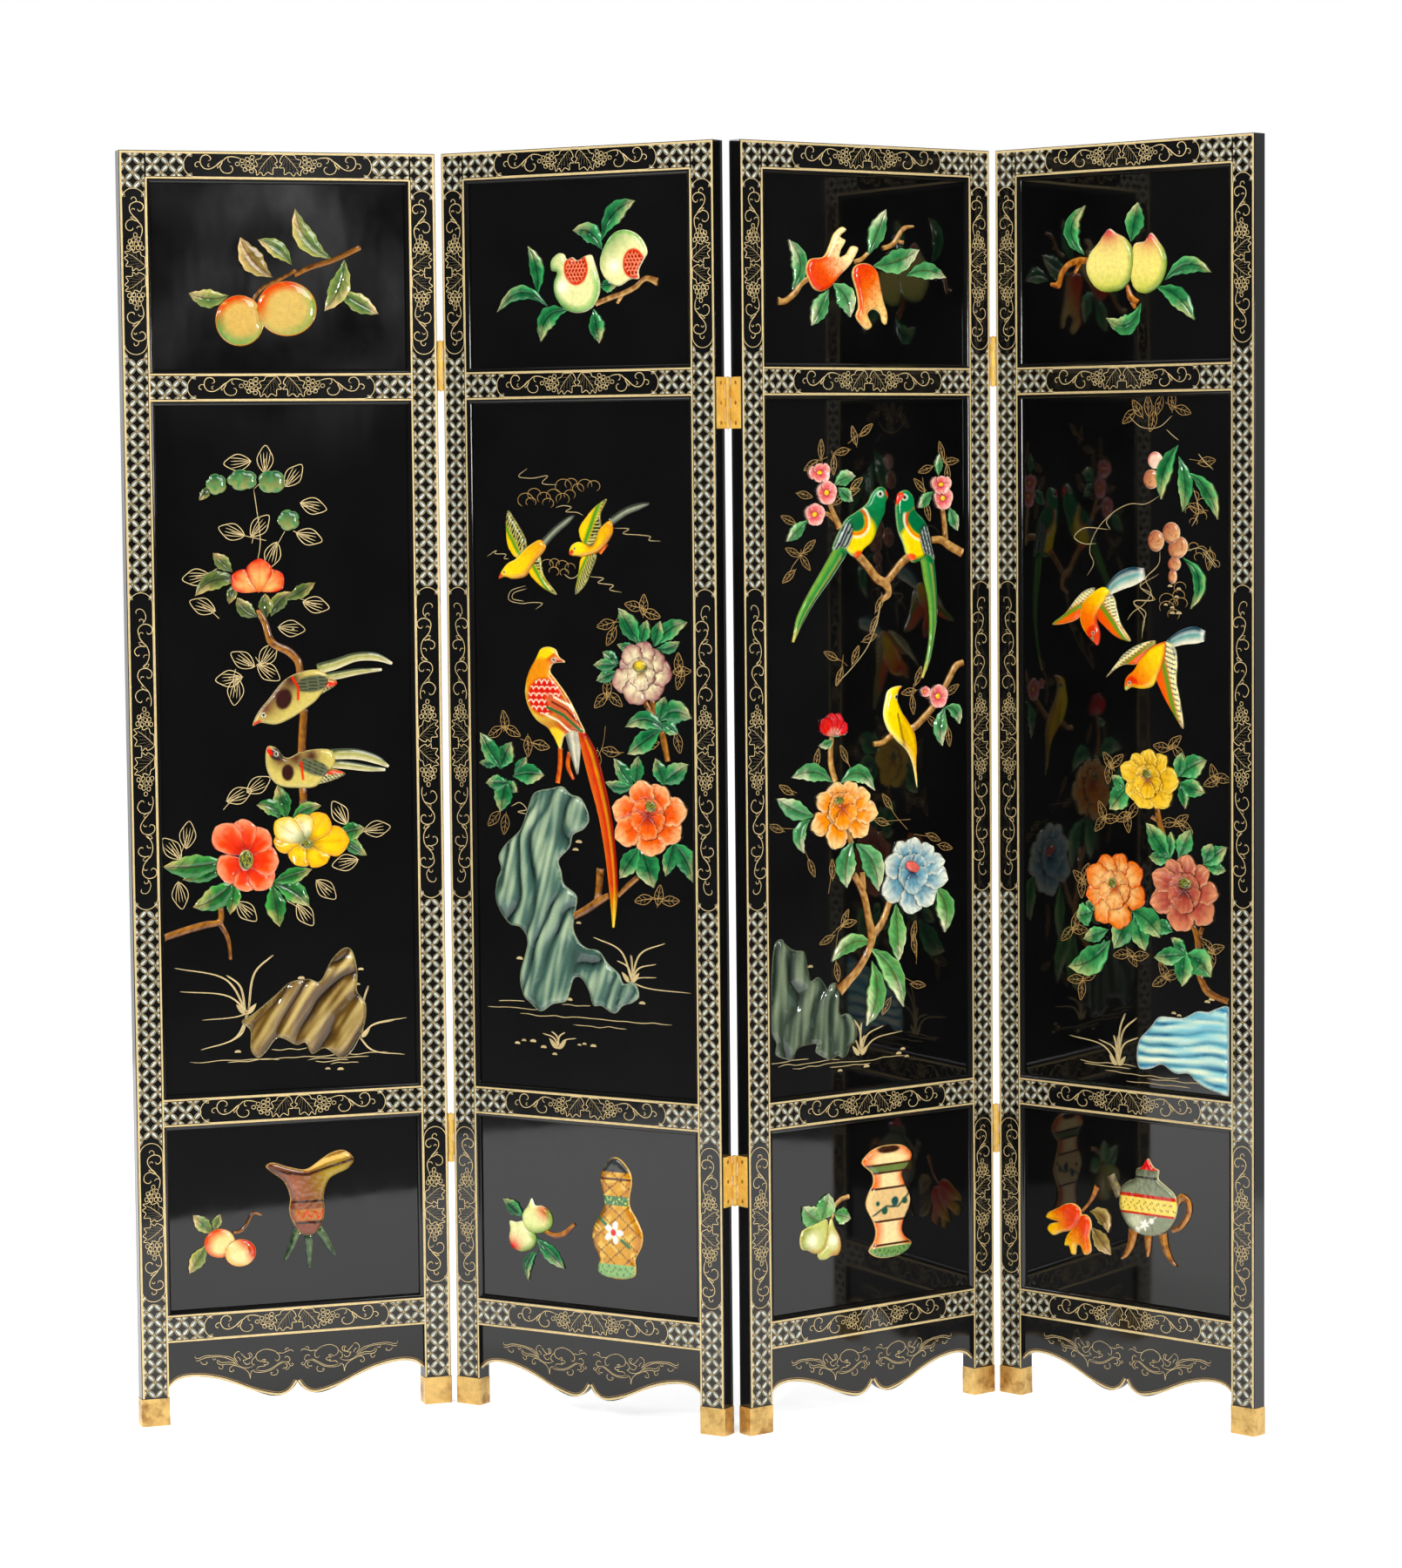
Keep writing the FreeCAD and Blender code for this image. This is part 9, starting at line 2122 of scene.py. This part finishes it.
def ground_line(mesh, up, left, right, rng):
    steps = max(4, int((right - left) / 4))
    points = [tall_point((left + (right - left) * step / steps, up + rng.uniform(-0.35, 0.35)))
              for step in range(steps + 1)]
    stroke(mesh, smooth(points, per=4), GROUND_LINE, BOARD_FACE, GOLD * rng.uniform(0.7, 0.9), 0.1)


def pebble(mesh, centre, rng):
    """A short dab of the brush, thinner at its ends."""
    x, z = tall_point(centre)
    radius = rng.uniform(3.2, 5.6)
    dab = smooth([(x - radius, z - 0.3), (x - radius * 0.3, z + 0.8), (x + radius * 0.5, z + 0.6),
                  (x + radius, z - 0.6)], per=3)
    stroke(mesh, dab, radius * 0.75, BOARD_FACE, GOLD * rng.uniform(0.7, 0.95), 0.35)


def loop(mesh, x, z, radius, rng):
    """An open ring, drawn from a point near its right side."""
    start = rng.uniform(-1.2, -0.2)
    line = [tall_point((x + radius * 1.15 * math.cos(angle), z + radius * 0.85 * math.sin(angle)))
            for angle in np.linspace(start, start + 4.6, 8)]
    stroke(mesh, smooth(line, per=2), LOOP_LINE, BOARD_FACE, DEEP_GOLD * rng.uniform(0.75, 0.95), 0.2)


def garden_gilding(leaf):
    """The gold painted on a leaf's tall board round its reliefs."""
    mesh = Mesh()
    rng = random.Random(500 + leaf)
    gilt_leaves(mesh, leaf, rng)
    for root, tips in GRASS[leaf]:
        tuft(mesh, root, tips, rng)
    for line in GROUND[leaf]:
        ground_line(mesh, *line, rng)
    for centre in STONES[leaf]:
        pebble(mesh, centre, rng)
    for ring_place in GILT_LOOPS.get(leaf, ()):
        loop(mesh, *ring_place, rng)
    for line in GILT_LINES[leaf]:
        stroke(mesh, smooth([tall_point(point) for point in line], per=6), BRANCH_LINE, BOARD_FACE,
               GOLD * rng.uniform(0.75, 0.95), 0.15)
    mesh.piece("leaf_%d_board_gilding" % leaf, leaf, GILT, "lacquer", smooth=False)


# ---- the screen

def coat(piece, material):
    """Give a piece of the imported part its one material."""
    piece.data.materials.clear()
    piece.data.materials.append(material)


for leaf in LEAVES:
    for member in ("left_stile", "right_stile", "top_rail", "middle_rails", "bottom_rail", "apron"):
        coat(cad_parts["leaf_%d_%s" % (leaf, member)], LACQUER)
    for member in ("top_board", "middle_board", "bottom_board"):
        coat(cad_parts["leaf_%d_%s" % (leaf, member)], BOARD_LACQUER)
for name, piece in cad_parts.items():
    if "sabots" in name:
        coat(piece, BRASS)
    elif "hinge" in name:
        coat(piece, HINGE_BRASS if "plates" in name else SCREW_BRASS)

for leaf in LEAVES:
    frame_gilding(leaf)
    garden_gilding(leaf)
    reliefs(leaf, "garden", ("tall",), ("leaf_%d_garden_relief" % leaf,))
    reliefs(leaf, "fruit_and_vessels", ("top", "low"), ("leaf_%d_fruit_reliefs" % leaf,))

# ---- floor, room, lights and camera, in metres

# The floor: its middle, its width and length, and how much it glows.
FLOOR_MIDDLE, FLOOR_SIZE, FLOOR_GLOW = (0, 18.5, 0), (5.4, 40, 1), 0.42
# The room: how bright it is for diffuse rays, and where its dim cloud of light lies, how wide and how strong.
ROOM_LIGHT = 0.62
CLOUD_WAY, CLOUD_RADIUS, CLOUD_STRENGTH = (0.53, -0.845, 0.062), 0.064, 1.6
# The camera: its place, how far it looks down and leans, its focal length in pixels and the picture's width.
CAMERA_PLACE = (0.01594, -6.22960, 1.38616)
PITCH, ROLL = math.radians(4.276), math.radians(-0.5356)
FOCAL_PIXELS, PICTURE_WIDTH, SENSOR = 4993.03, 1610, 36


def floor_material():
    """A pale floor that shows almost white to the camera and in gloss, but for the object's shadow."""
    material, tree, shader = new_material("floor")
    shader.inputs["Base Color"].default_value = (0.9, 0.9, 0.9, 1)
    shader.inputs["Roughness"].default_value = 0.6
    path = tree.nodes.new("ShaderNodeLightPath")
    lift = node(tree, "Math", operation="MAXIMUM")
    wire(tree, path, "Is Camera Ray", lift, 0)
    wire(tree, path, "Is Glossy Ray", lift, 1)
    share = node(tree, "Math", operation="MULTIPLY")
    wire(tree, lift, "Value", share, 0)
    share.inputs[1].default_value = FLOOR_GLOW
    shader.inputs["Emission Color"].default_value = (1, 1, 1, 1)
    wire(tree, share, "Value", shader, "Emission Strength")
    return material


def between(tree, source, output, low, high, first, last):
    """A value's share of a range, turned into a share of another."""
    item = node(tree, "MapRange")
    for name, value in (("From Min", low), ("From Max", high), ("To Min", first), ("To Max", last)):
        item.inputs[name].default_value = value
    wire(tree, source, output, item, "Value")
    return item


def sum_of(tree, first, socket, second, other):
    """The sum of two outputs, each a node and its socket."""
    item = node(tree, "Math", operation="ADD")
    wire(tree, first, socket, item, 0)
    wire(tree, second, other, item, 1)
    return item


def studio():
    """A room that is white to the camera and even for diffuse rays. Seen in gloss it is white beyond the
    screen and dark behind the camera, but for its floor and a dim cloud of light low on the right."""
    world = bpy.data.worlds.new("studio")
    world.use_nodes = True
    tree = world.node_tree
    place = tree.nodes.new("ShaderNodeTexCoord")
    split = tree.nodes.new("ShaderNodeSeparateXYZ")
    wire(tree, place, "Generated", split, "Vector")
    beyond = between(tree, split, "Y", -0.1, 0.5, 0.07, 1.0)
    ground = between(tree, split, "Z", -0.24, -0.1, 0.35, 0.0)
    gap = node(tree, "VectorMath", operation="DISTANCE")
    wire(tree, place, "Generated", gap, 0)
    gap.inputs[1].default_value = CLOUD_WAY
    cloud = between(tree, gap, "Value", 0.0, CLOUD_RADIUS, CLOUD_STRENGTH, 0.0)
    wisps = ramp(tree, noise(tree, 62), "Fac", ((0.46, 0.0), (0.62, 1.0)))
    broken = node(tree, "Math", operation="MULTIPLY")
    wire(tree, cloud, "Result", broken, 0)
    wire(tree, wisps, "Color", broken, 1)
    room = sum_of(tree, beyond, "Result", ground, "Result")
    room = sum_of(tree, room, "Value", broken, "Value")

    path = tree.nodes.new("ShaderNodeLightPath")
    shade = tree.nodes.new("ShaderNodeMix")
    wire(tree, path, "Is Glossy Ray", shade, 0)
    shade.inputs[2].default_value = ROOM_LIGHT
    wire(tree, room, "Value", shade, 3)
    light = tree.nodes["Background"]
    wire(tree, shade, 0, light, "Color")
    white = tree.nodes.new("ShaderNodeBackground")
    white.inputs["Color"].default_value = (1, 1, 1, 1)
    white.inputs["Strength"].default_value = 1.0
    seen = sum_of(tree, path, "Is Camera Ray", path, "Is Transmission Ray")
    either = tree.nodes.new("ShaderNodeMixShader")
    wire(tree, seen, "Value", either, "Fac")
    wire(tree, light, "Background", either, 1)
    wire(tree, white, "Background", either, 2)
    wire(tree, either, "Shader", tree.nodes["World Output"], "Surface")
    return world


def area_light(name, place, aim, size, power):
    data = bpy.data.lights.new(name, "AREA")
    data.shape = "RECTANGLE"
    data.size, data.size_y = size
    data.energy = power
    item = bpy.data.objects.new(name, data)
    item.location = place
    item.rotation_euler = (Vector(aim) - Vector(place)).to_track_quat("-Z", "Y").to_euler()
    bpy.context.scene.collection.objects.link(item)


def studio_camera():
    """A camera that looks along +Y, a little down and with a slight lean."""
    ahead = Vector((0, math.cos(PITCH), -math.sin(PITCH)))
    level_up = Vector((0, math.sin(PITCH), math.cos(PITCH)))
    level_right = Vector((1, 0, 0))
    right = level_right * math.cos(ROLL) + level_up * math.sin(ROLL)
    up = level_up * math.cos(ROLL) - level_right * math.sin(ROLL)
    data = bpy.data.cameras.new("camera")
    data.sensor_fit = "HORIZONTAL"
    data.sensor_width = SENSOR
    data.lens = FOCAL_PIXELS / PICTURE_WIDTH * SENSOR
    camera = bpy.data.objects.new("camera", data)
    turn = Matrix((right, up, -ahead)).transposed().to_4x4()
    camera.matrix_world = Matrix.Translation(CAMERA_PLACE) @ turn
    bpy.context.scene.collection.objects.link(camera)
    return camera


bpy.ops.mesh.primitive_plane_add(size=1, location=FLOOR_MIDDLE)
floor = bpy.context.object
floor.scale = FLOOR_SIZE
floor.name = "floor"
floor.data.materials.append(floor_material())

# Each light with its place, where it points, its size and its power in watts.
area_light("key", (-3.2, -4.2, 4.2), (0, 0, 0.9), (2.6, 2.6), 190)
area_light("fill", (4.0, -4.0, 4.0), (0, 0, 0.8), (2.4, 2.4), 150)
area_light("spark", (-1.4, -5.6, 3.4), (0, 0, 1.0), (0.3, 0.3), 90)
area_light("window", (3.6, -3.2, 1.5), (0, 0, 1.0), (0.3, 0.5), 45)
area_light("rim", (-4.2, 1.6, 2.4), (-0.6, 0, 0.9), (1.6, 2.6), 130)

scene = bpy.context.scene
scene.world = studio()
scene.camera = studio_camera()
scene.view_settings.view_transform = "Standard"
